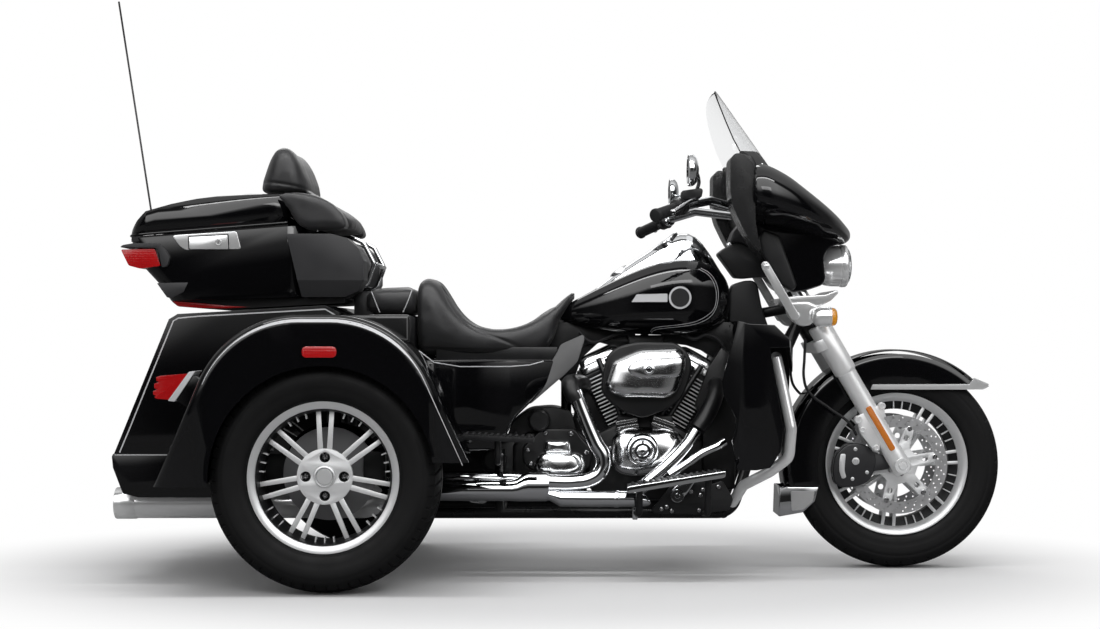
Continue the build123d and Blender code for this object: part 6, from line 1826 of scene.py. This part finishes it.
fork_lugs = both_sides("fork_lugs", lambda side: joined("lugs",
    [turned("lug", [(0, -12), (r, -12), (r, 10), (r - 2, 12), (r * 0.6, 12), (r * 0.55, 9), (0, 9)],
    (x, side * 128, z), (0, side, 0), 28) for x, z, r in LUGS] + [plate("web",
    [(923, 466), (1004, 506), (1010, 480), (992, 362), (976, 364), (934, 418)], 6, side * 118,
    side * 132, 2, 2)]))
settle(fork_lugs, "fork_satin", "steering")
PAD = [(733, 237), (806, 237), (800, 205), (771, 180), (735, 176)]
flap_pads = plate_pair("flap_pads", PAD, 73, 77.5, 1.6, 3, 6)
settle(flap_pads, "grey_pad", "steering")
PIPE = [(768, 148, 700), (765, 146, 640), (764, 144, 580), (776, 142, 545), (840, 140, 492),
    (902, 136, 446), (925, 124, 410)]
pipes = both_sides("brake_pipes", lambda side: tube("pipe", [(x, side * y, z) for x, y, z in PIPE],
    4.2))
settle(pipes, "rubber", "steering")
print("front fender trim")


# %% [markdown]
# ## Mirrors and hand controls
#
# The mirrors are domed chromed shells with the glass set in from behind. Each grip has a black
# switch housing, a brake or clutch reservoir on top, and a lever that follows the grip at a
# finger's reach.

# %% Mirrors
def mirror_ring(x, scale, side):
    """An oval across the vehicle, a share of the mirror's full size."""
    return [(x, side * 402 + 66 * scale * c, 1184 + 46 * scale * s) for c, s in round_steps(40)]


def mirror_shell(side):
    """One domed shell with a sunk face."""
    rows = [(399.5, 0.0), (399.5, 0.88), (396, 0.92), (396, 0.97), (400, 1.0), (407, 0.99),
        (414, 0.92), (420, 0.76), (424, 0.5), (426, 0.2), (426.3, 0.0)]
    return lofted("shell", [mirror_ring(x, max(scale, 0.002), side) for x, scale in rows])


mirror_shells = both_sides("mirror_shells", mirror_shell)
settle(mirror_shells, "chrome", "steering", ("mirrors",), 50)
mirror_faces = both_sides("mirror_faces", lambda side: lofted("face",
    [mirror_ring(x, scale, side) for x, scale in ((400.5, 0.87), (398, 0.87), (397.4, 0.85))]))
settle(mirror_faces, "mirror_glass", "steering")
print("mirrors", len(mirror_shells.data.polygons))


# %% Hand controls
def on_bar(side, share):
    """A point on the straight end of the handlebar."""
    end, inner = Vector((302, side * 430, 1053)), Vector((385, side * 310, 1088))
    return end + (inner - end) * share


def housing_of(side):
    """A switch housing in two halves, its switches and its reservoir."""
    axis = on_bar(side, 1) - on_bar(side, 0)
    place = on_bar(side, 0.90)
    barrel = turned("barrel", [(15, -19), (22, -19), (25, -16), (25, -1), (24, -0.6), (24, 0.6),
        (25, 1), (25, 13), (22, 16), (15, 16), (15, -19)], place, axis, 40)
    block = plate("block", [(place.x + dx, place.z + dz) for dx, dz in ((-22, -26), (20, -22),
        (24, 10), (-20, 12))], 6, place.y - 14, place.y + 14, 4, 2)
    knobs = [turned("knob", [(0, 5), (4, 5), (5, 3), (5, -3), (0, -3)],
        place + Vector((-20, dy, dz)), (-1, 0, 0.2), 16) for dy, dz in ((-6, -16), (6, -16),
        (0, -4))]
    perch = on_bar(side, 1.05)
    tank = plate("tank", [(perch.x + dx, perch.z + dz) for dx, dz in ((-8, 14), (52, 22), (56, 44),
        (50, 50), (-6, 42))], 6, perch.y - side * 22, perch.y + side * 26, 5, 3)
    return joined("housing", [barrel, block, tank] + knobs)


housings = both_sides("switch_housings", housing_of)
settle(housings, "trim_black", "steering", ("hand_controls",), 36)


def lever_of(side):
    """A lever with a ball end, its perch, and the mirror's stem."""
    blade = tube("blade", [(428, side * 318, 1106), (416, side * 340, 1104),
        (396, side * 372, 1093), (372, side * 410, 1076), (352, side * 440, 1063)], 6.2, True, 4)
    ball = turned("ball", [(0, -9), (5, -8), (8.5, -3), (8.5, 3), (5, 8), (0, 9)],
        (351, side * 441, 1062), (0, 1, 0), 20)
    perch = tube("perch", [on_bar(side, 0.98) + Vector((4, 0, 4)), (410, side * 316, 1101),
        (428, side * 318, 1106)], 10, True, 4)
    clamp = turned("clamp", [(14.5, -12), (21, -12), (22.5, -9), (22.5, 9), (21, 12), (14.5, 12),
        (14.5, -12)], on_bar(side, 1.0), on_bar(side, 1) - on_bar(side, 0), 32)
    stem = tube("stem", [(420, side * 305, 1118), (432, side * 322, 1148), (430, side * 350, 1164),
        (420, side * 396, 1180)], 5.5, True, 4)
    return joined("lever", [blade, ball, perch, clamp, stem])


levers = both_sides("levers_and_stems", lever_of)
settle(levers, "chrome", "steering", (), 40)
grip_ribs = both_sides("grip_ends", lambda side: joined("ends",
    [turned("end", [(0, -6), (17, -6), (20, -4), (20, 2), (17.6, 5), (0, 5)], on_bar(side, 0.0),
    on_bar(side, 0) - on_bar(side, 1), 40), turned("collar", [(14.2, -4), (22, -4), (23, -2),
    (23, 3), (17.5, 8), (14.2, 8), (14.2, -4)], on_bar(side, 0.79),
    on_bar(side, 0) - on_bar(side, 1), 40)]))
settle(grip_ribs, "rubber", "steering")
print("hand controls", len(housings.data.polygons), len(levers.data.polygons))


# %% [markdown]
# ## The engine's bright parts
#
# The twin's cylinders are black with machined fin tips; rocker boxes, the gear cover and the
# gearbox cover are polished castings. A casting is never flat: each cover here is drawn as an
# outline and raised in shrinking steps, so that its face bows and carries a soft reflection.

# %% A helper for bowed covers
def evenly(loop, count):
    """A closed outline as evenly spaced points."""
    places = [Vector(p) for p in loop] + [Vector(loop[0])]
    runs = [(b - a).length for a, b in zip(places, places[1:])]
    step, made, at, i = sum(runs) / count, [], 0.0, 0
    for k in range(count):
        want = k * step
        while at + runs[i] < want:
            at += runs[i]
            i += 1
        made.append(places[i].lerp(places[i + 1], (want - at) / runs[i]))
    return made


def bowed(name, loop, y_low, rise, wall, points=56, centre=None):
    """A cover on the right that stands at a distance from the middle and bows outwards by rise."""
    outline = evenly(loop, points)
    middle = Vector(centre) if centre else sum(outline, Vector((0, 0))) / points
    rows = [(1.0, 0.0), (1.0, wall), (0.985, wall + 0.10), (0.95, wall + 0.22), (0.90, wall + 0.33),
        (0.82, wall + 0.43), (0.70, wall + 0.52), (0.55, wall + 0.585), (0.38, wall + 0.625),
        (0.2, wall + 0.645), (0.06, wall + 0.65)]
    rings = []
    for scale, lift in rows:
        rings.append([(middle.x + (p.x - middle.x) * scale, -(y_low + rise * lift),
            middle.y + (p.y - middle.y) * scale) for p in outline])
    return lofted(name, rings)


CRANK = Vector((290, 350))
LEANS = (-25.0, 30.0)


def on_cylinder(lean, across, up):
    """A side-view point measured across and up a cylinder from the crank."""
    a = radians(lean)
    return (CRANK.x + across * cos(a) + up * sin(a), CRANK.y - across * sin(a) + up * cos(a))


def leaning_stack(name, lean, rows, corner=26):
    """A casting along a cylinder. Rows are (height, half length, half width)."""
    rings = []
    for up, half, half_y in rows:
        outline = rounded([(-half, -half_y), (half, -half_y), (half, half_y), (-half, half_y)],
            corner, 6)
        rings.append([(place[0], y, place[1]) for x, y in outline
            for place in (on_cylinder(lean, x, up),)])
    return lofted(name, rings)


# %% Rocker boxes, fin tips, pushrod tubes, lifter blocks
boxes = []
for lean in LEANS:
    boxes.append(leaning_stack("rocker_low", lean, [(293.5, 72, 71), (296, 75, 75), (312, 75, 74),
        (317, 73, 71), (320, 68, 66)]))
    boxes.append(leaning_stack("rocker_top", lean, [(316, 66, 68), (319, 67, 67), (334, 65, 60),
        (341, 61, 53), (346, 52, 43), (348, 38, 30)]))
    up = Vector((sin(radians(lean)), 0, cos(radians(lean))))
    for across in (-56, 56):
        for y in (-50, 50):
            x, z = on_cylinder(lean, across * 0.93, 318)
            boxes.append(turned("bolt", [(0, 12), (4, 12), (6, 10), (6.5, 4), (9, 3), (9, -2),
                (0, -2)], (x, y * 1.16, z), up, 12))
rockers = joined("rocker_boxes", boxes)
settle(rockers, "polished_alloy", "chassis", ("engine_covers",), 36)
tips = []
for lean in LEANS:
    for fin in range(14):
        low = 128 + fin * 11.4
        ends = [on_cylinder(lean, across, low) for across in (-66, 66)]
        for y in (-76.5, 76.5):
            tips.append(tube("tip", [(x, y, z) for x, z in ends], 2.1, False, 2))
fin_tips = joined("fin_tips", tips)
settle(fin_tips, "fin_edge", "chassis")
rods = []
for block_x, top_x, top_z in ((232, 160, 640), (338, 446, 616)):
    for shift in (-13, 13):
        foot, head = Vector((block_x + shift, -138, 455)), Vector((top_x + shift, -84, top_z))
        axis = head - foot
        rods.append(turned("rod", [(0, 0), (11, 0), (11, 16), (8.4, 19), (8.4, axis.length * 0.5),
            (9.6, axis.length * 0.52), (9.6, axis.length * 0.58), (8.4, axis.length * 0.6),
            (8.4, axis.length), (0, axis.length)], foot, axis, 24))
settle(joined("pushrod_tubes", rods), "engine_black", "chassis")
blocks = []
for block_x, tilt in ((232, -0.16), (338, 0.30)):
    for rib in range(2):
        z = 436 + rib * 17
        corners = [(block_x + dx + tilt * (z - 440), z + dz - tilt * dx * 1.2)
            for dx, dz in ((-33, -5), (33, -5), (31, 5), (-31, 5))]
        blocks.append(plate("rib", corners, 4, -163, -120, 3.5, 3))
settle(joined("lifter_blocks", blocks), "polished_alloy", "chassis")
settle(joined("lifter_feet", [plate("foot", [(x - 34, 420), (x + 34, 420), (x + 30, 470),
    (x - 30, 470)], 8, -158, -122, 4, 3) for x in (232, 338)]), "engine_black", "chassis")
print("rockers", len(rockers.data.polygons), "fin tips", len(fin_tips.data.polygons))

# %% The gear cover
GEAR_COVER = rounded([(176, 330), (196, 296), (240, 284), (325, 290), (404, 322), (414, 372),
    (398, 412), (360, 434), (222, 436), (182, 408)], 22)
gear_cover = joined("gear_cover", [bowed("face", GEAR_COVER, 119, 74, 0.42, 56, (276, 346))])
settle(gear_cover, "polished_alloy", "chassis", (), 40)
GEAR_CENTRE = (276, -178, 366)
gear_disc = turned("gear_disc", [(0, 30), (6, 29.4), (12, 27.6), (17, 24.5), (17.5, 22), (22.5, 22),
    (23, 26), (26, 25.6), (31, 23.6), (34, 21), (34.5, 18), (39.5, 18), (40, 22), (44, 20.6),
    (49, 17), (52.5, 11), (54, 3), (54, -20), (0, -20)], GEAR_CENTRE, (0, -1, 0), 72)
settle(gear_disc, "chrome", "chassis", (), 40)
gear_grooves = joined("gear_grooves", [turned("groove", [(low, 18), (high, 18), (high, top),
    (low, top), (low, 18)], GEAR_CENTRE, (0, -1, 0), 64) for low, high, top in ((17.7, 22.3, 22.6),
    (34.7, 39.3, 18.6))])
settle(gear_grooves, "engine_black", "chassis")
cover_bolts = []
for angle in range(5):
    a = radians(90 + 72 * angle)
    cover_bolts.append(turned("bolt", [(0, 4), (3, 4), (4.4, 2.8), (4.4, -1), (0, -1)],
        (276 + 28.5 * cos(a), -203, 366 + 28.5 * sin(a)), (0, -1, 0), 12))
for x, z in ((196, 318), (388, 330), (402, 380), (366, 424), (210, 426), (182, 372), (300, 292)):
    cover_bolts.append(turned("bolt", [(0, 7), (4, 7), (6.4, 5), (7, 0), (7, -8), (0, -8)],
        (x, -158, z), (0, -1, 0), 16))
settle(joined("gear_cover_bolts", cover_bolts), "steel_bolt", "chassis")
print("gear cover", len(gear_cover.data.polygons))

# %% The air filter
FILTER_FACE = rounded([(162, 566), (184, 634), (266, 670), (382, 675), (405, 648), (404, 612),
    (379, 540), (350, 523), (204, 526), (170, 546)], 14)
filter_cover = joined("filter_cover", [bowed("face", FILTER_FACE, 209, 62, 0.26, 84, (286, 568)),
    bowed("drop", rounded([(218, 610), (256, 640), (398, 648), (390, 588), (258, 580)], 24), 249,
    22, 0.40, 56, (310, 600))])
settle(filter_cover, "polished_alloy", "chassis", ("air_filter_cover",), 40)
filter_bolt = turned("filter_bolt", [(0, 9), (5, 9), (6, 7), (9, 7), (10, 9), (15, 7), (16.5, 3),
    (16.5, -8), (0, -8)], (291, -270, 611), (0, -1, 0), 40)
settle(filter_bolt, "chrome", "chassis")
BACKPLATE = [(150, 548), (158, 606), (172, 656), (206, 680), (262, 692), (374, 690), (408, 664),
    (422, 632), (420, 594), (404, 552), (390, 520), (352, 492), (275, 464), (212, 486), (176, 512)]
backplate = plate("filter_backplate", BACKPLATE, 18, -211, -186, 8, 4)
settle(backplate, "engine_black", "chassis")
print("air filter", len(filter_cover.data.polygons))

# %% The gearbox cover
BOLT_PLACES = [(-14, 418), (63, 416), (-68, 366), (110, 360), (-58, 326), (101, 322)]
CASE_PLATE = rounded([(-26, 432), (76, 431), (96, 402), (126, 372), (122, 316), (96, 300),
    (-56, 304), (-82, 330), (-84, 374), (-52, 404)], 14)
case_plate = flat_plate("gearbox_plate", [CASE_PLATE], -149, -119, 7, 4)
settle(case_plate, "engine_black", "chassis")
gearbox_face = joined("gearbox_face", [bowed("face", rounded([(-50, 322), (-30, 362), (92, 362),
    (112, 322), (98, 288), (-38, 288)], 18), 148, 44, 0.42, 56, (30, 312)),
    bowed("pill", rounded([(-38, 302), (84, 302), (84, 330), (-38, 330)], 13, 6), 172, 12, 0.5),
    bowed("bridge", rounded([(-20, 360), (66, 360), (60, 396), (-14, 396)], 8), 150, 26, 0.6)])
settle(gearbox_face, "polished_alloy", "chassis", ("gearbox_cover",), 40)
heads = [turned("head", [(0, 7), (4, 7), (6.2, 5), (7.4, 0), (7.4, -8), (0, -8)], (x, -150, z),
    (0, -1, 0), 16) for x, z in BOLT_PLACES]
heads += [turned("head", [(0, 5), (3, 5), (5, 3.5), (6, 0), (6, -3), (0, -3)], (x, -172, 384),
    (0, -1, 0), 16) for x in (-4, 50)]
heads.append(turned("head", [(0, 6), (4, 6), (6, 4), (6.5, 0), (6.5, -6), (0, -6)],
    (-146, -162, 352), (0, -1, 0), 16))
settle(joined("gearbox_bolts", heads), "steel_bolt", "chassis")
print("gearbox cover", len(gearbox_face.data.polygons))


# %% [markdown]
# ## Dark parts between
#
# Between the tank, the cylinders and the frame the space is filled with coils, wiring covers, the
# oil cooler and the starter, all black. They are plain castings and covers, but without them
# daylight shows through where none should.

# %% Covers, cooler, starter
COIL_COVER = [(-34, 752), (556, 752), (556, 640), (505, 640), (470, 664), (424, 680), (392, 684),
    (330, 690), (250, 684), (214, 672), (150, 690), (96, 640), (62, 540), (-34, 640)]
HOLES = [[(258, 700), (252, 718), (286, 718), (272, 703)], [(306, 704), (300, 717), (346, 714),
    (342, 702)]]
coil_cover = flat_plate("coil_cover", [COIL_COVER] + HOLES, -46, 46, 3, 2)
cooler = plate("oil_cooler", [(462, 232), (560, 246), (568, 640), (520, 676), (478, 610),
    (440, 500), (464, 440)], 8, -104, 104, 5, 2)
shelf = plate("battery_tray", [(-336, 300), (-336, 402), (-104, 402), (-104, 250), (-300, 262)], 8,
    -104, 104, 5, 2)
hump = plate("starter_hump", [(-134, 398), (-112, 452), (-62, 488), (12, 494), (66, 480),
    (84, 400)], 20, -108, 108, 10, 3)
starter = turned("starter", [(0, 62), (26, 62), (32, 57), (34, 50), (34, 0), (0, 0)],
    (-33, -104, 456), (0, -1, 0), 40)
drum = turned("drum", [(0, 52), (28, 52), (36, 46), (38, 38), (38, 0), (0, 0)], (-168, -104, 336),
    (0, -1, 0), 40)
gap_rear = flat_plate("gap", [[(70, 400), (200, 400), (176, 500), (120, 610), (84, 600)]], -60, 60,
    3, 2)
gap_front = flat_plate("gap", [[(392, 400), (520, 400), (520, 600), (474, 640), (420, 560)]], -60,
    60, 3, 2)
heads = [leaning_stack("head", lean, [(234, 76, 72), (237, 79, 75), (288, 79, 75), (292, 76, 72)],
    14) for lean in LEANS]
top_mount = plate("top_mount", [(250, 640), (330, 640), (350, 712), (236, 712)], 8, -60, 60, 5, 2)
dark = joined("dark_fittings", [coil_cover, cooler, shelf, hump, starter, drum, gap_rear, gap_front,
    *heads, top_mount])
settle(dark, "engine_black", "chassis")
wires = joined("wire_looms", [tube("loom", [(90, -62, 720), (130, -70, 690), (165, -66, 700),
    (210, -64, 716), (260, -60, 712)], 5), tube("loom", [(400, -70, 716), (440, -76, 700),
    (476, -74, 712), (520, -70, 690), (536, -66, 640)], 6), tube("loom",
    [(552, -80, 742), (566, -96, 690), (560, -104, 600), (548, -106, 500)], 7),
    tube("loom", [(-100, -112, 420), (-130, -118, 396), (-180, -118, 392), (-250, -114, 388)], 5)])
settle(wires, "rubber", "chassis")
print("dark fittings", len(dark.data.polygons))

# %% Deflectors beside the cylinders
DEFLECTOR = [(100, 714), (104, 700), (82, 632), (44, 594), (-56, 508), (-82, 505), (-62, 538),
    (-24, 588), (19, 656), (32, 684)]


GUARD_TOP = 0.714  # the guard leans outwards below this height


def deflector_of(side):
    """A satin guard that leans outwards at its foot."""
    guard = plate("guard", DEFLECTOR, 7, side * 150, side * 163, 4, 3)
    for vertex in guard.data.vertices:
        vertex.co.y += side * (GUARD_TOP - vertex.co.z) * 0.18
    return guard


deflectors = both_sides("deflectors", deflector_of)
settle(deflectors, "deflector_grey", "chassis")
print("deflectors")


# %% [markdown]
# ## Exhaust shields, boards and pedal
#
# The pipes wear chromed shields: an oval one where both headers meet, and round ones on the front
# header. The rider's boards have a bright edge and rubber ribs, set out by a small node tree.

# %% Exhaust shields
def oval(x, y, z, half_y, half_z):
    """An oval ring square to the vehicle's length."""
    return [(x, y + half_y * c, z + half_z * s) for c, s in round_steps(36)]


SHIELD_ROWS = [(-492, 256, 22, 28), (-470, 256, 28, 31), (-112, 256, 30, 32), (-96, 258, 31, 35),
    (-78, 264, 32, 41), (-64, 266, 32, 43), (-9, 266, 31.5, 42.5), (-8, 266, 30, 41),
    (-5, 266, 30, 41), (-4, 266, 30, 41)]
LOWER_PIPE = [(-20, 244, 15, 15), (-3, 243, 17, 17), (14, 238, 21, 21), (30, 232, 24, 24),
    (120, 231, 24.5, 24.5), (210, 231, 24, 24), (262, 230, 23, 22), (282, 226, 20, 17),
    (292, 222, 13, 10), (296, 220, 5, 4)]
shields = [lofted("shield", [oval(x, -266, z, half_y, half_z) for x, z, half_y, half_z in rows])
    for rows in (SHIELD_ROWS, LOWER_PIPE)]
shields.append(tube("rear_header", [(72, -262, 546), (90, -262, 499), (133, -264, 397),
    (157, -265, 350), (150, -265, 312), (122, -264, 289), (78, -262, 280), (-5, -262, 280),
    (-120, -248, 286), (-486, -244, 286)], 22.5, True, 7))
shields.append(tube("front_header", [(434, -205, 428), (404, -214, 384), (352, -224, 330),
    (306, -232, 292), (262, -240, 256), (236, -250, 240)], 19, True, 6))
shields.append(tube("heat_shield", [(520, -202, 396), (500, -207, 384), (452, -214, 362),
    (404, -222, 330), (352, -232, 298)], 13, True, 6))
shields.append(turned("clamp", [(20, -8), (24.5, -8), (26, -5), (26, 5), (24.5, 8), (20, 8),
    (20, -8)], (196, -266, 231), (1, 0, 0), 40))
exhaust_shields = joined("exhaust_shields", shields)
settle(exhaust_shields, "chrome", "chassis", ("exhaust",), 40)
SILENCER_Y, SILENCER_Z = 300, 222
silencers = both_sides("silencers", lambda side: turned("silencer",
    [(0, -470), (22, -472), (28, -490), (40, -520), (44, -540), (44, -1250), (40, -1250),
    (40, -1120), (0, -1120)], (0, side * SILENCER_Y, SILENCER_Z), (1, 0, 0), 56))
settle(silencers, "chrome_with_painted_reflection", "chassis", (), 40)
link_pipe = joined("link_pipe", [tube("pipe", [(-200, -258, 236), (-235, -100, 226),
    (-235, 100, 226), (-300, 262, 222), (-420, 298, 222), (-500, SILENCER_Y, SILENCER_Z)], 20, True,
    6), tube("pipe", [(-440, -266, 252), (-470, -280, 240), (-500, -300, 222)], 24, True, 6)])
settle(link_pipe, "chrome", "chassis", (), 40)
ports = tube("exhaust_ports", [(100, -88, 562), (84, -150, 568), (66, -215, 570), (60, -250, 564),
    (66, -262, 542), (76, -262, 520)], 26)
settle(ports, "engine_black", "chassis")
dark_header = tube("dark_header", [(500, -66, 560), (502, -128, 552), (484, -176, 506),
    (458, -198, 462), (438, -205, 434)], 26, True, 6)
settle(dark_header, "engine_black", "chassis")
tips = both_sides("exhaust_tips", lambda side: turned("tip", [(40, 0), (44.8, 0), (46, 3), (46, 58),
    (44.6, 61), (40, 61), (40, 0)], (-1264, side * SILENCER_Y, SILENCER_Z), (1, 0, 0), 56))
settle(tips, "chrome_with_painted_reflection", "chassis")
print("exhaust", len(exhaust_shields.data.polygons))


# %% Board ribs by a node tree
def rib_tree():
    """A node tree that repeats a rib along a sloping board."""
    tree, given, result = tree_with("board_ribs", [("Count", "Int", 2), ("Pitch", "Float", 0.02),
        ("Rise", "Float", 0.0)])
    make = maker_of(tree)
    offset = make("ShaderNodeCombineXYZ", {"X": given.outputs["Pitch"], "Z": given.outputs["Rise"]})
    line = make("GeometryNodeMeshLine", {"Count": given.outputs["Count"],
        "Offset": offset.outputs[0]})
    spread = make("GeometryNodeInstanceOnPoints", {"Points": line.outputs[0],
        "Instance": given.outputs["Geometry"]})
    real = make("GeometryNodeRealizeInstances", {0: spread.outputs[0]})
    dress = make("GeometryNodeSetMaterial", {"Material": FINISH["rubber"], 0: real.outputs[0]})
    tree.links.new(dress.outputs[0], result.inputs[0])
    return tree


RIBS = rib_tree()


def board_ribs(start, end, y_low, y_high, count):
    """Rubber ribs along a board from one top corner to the other."""
    run = Vector(end) - Vector(start)
    pitch = run / (count - 1)
    rib = flat_plate("ribs", [rounded([(-5, -1), (5, -1), (4, 5), (-4, 5)], 1.5, 2)], y_low, y_high,
        1.0, 1)
    run_tree(rib, RIBS, {"Count": count, "Pitch": pitch.x * MM, "Rise": pitch.y * MM})
    rib.data.transform(Matrix.Translation((start[0] * MM, 0, start[1] * MM)))
    return rib


ribs = joined("footboard_ribs", [board_ribs(*ends, side * near, side * far, count)
    for *ends, near, far, count in (((242, 278), (482, 316), 284, 394, 15),
    ((-238, 427.5), (-60, 418.5), 338, 420, 11)) for side in (-1, 1)])
settle(ribs, "rubber", "chassis")
EDGE = [(220, 262), (226, 259), (497, 303), (503, 308), (503, 322), (496, 322), (226, 279),
    (220, 276)]
board_edges = plate_pair("footboard_edges", EDGE, 399, 405, 2, 3, 3)
settle(board_edges, "chrome", "chassis")
print("boards", len(ribs.data.polygons))

# %% Pedal and its bracket
BRACKET = [(300, 196), (318, 214), (356, 262), (398, 270), (452, 282), (476, 268), (512, 280),
    (544, 226), (532, 192), (444, 180), (306, 182)]
bracket = plate("pedal_bracket", BRACKET, 7, -214, -204, 2.5, 3)
settle(bracket, "trim_black", "chassis")
arm = joined("pedal_arm", [plate("arm", [(356, 246), (362, 220), (386, 216), (398, 232), (432, 282),
    (404, 290), (366, 262)], 14, -238, -224, 4, 3), turned("hub",
    [(0, 6), (7, 6), (8, 4), (17, 4), (20, 0), (20, -22), (0, -22)], (376, -238, 237), (0, -1, 0),
    40), plate("clip", [(246, 196), (262, 196), (262, 160), (246, 160)], 4, -176, -166, 2, 2)])
settle(arm, "chrome", "chassis")
spots = [(346, 202), (361, 190), (418, 247), (454, 253), (446, 237), (472, 209), (442, 192),
    (500, 262), (330, 196)]
bracket_bolts = joined("bracket_bolts", [turned("bolt", [(0, 7), (4, 7), (6, 5.5), (6.6, 0),
    (6.6, -4), (0, -4)], (x, -214, z), (0, -1, 0), 14) for x, z in spots])
settle(bracket_bolts, "steel_bolt", "chassis")
print("pedal", len(bracket_bolts.data.polygons))
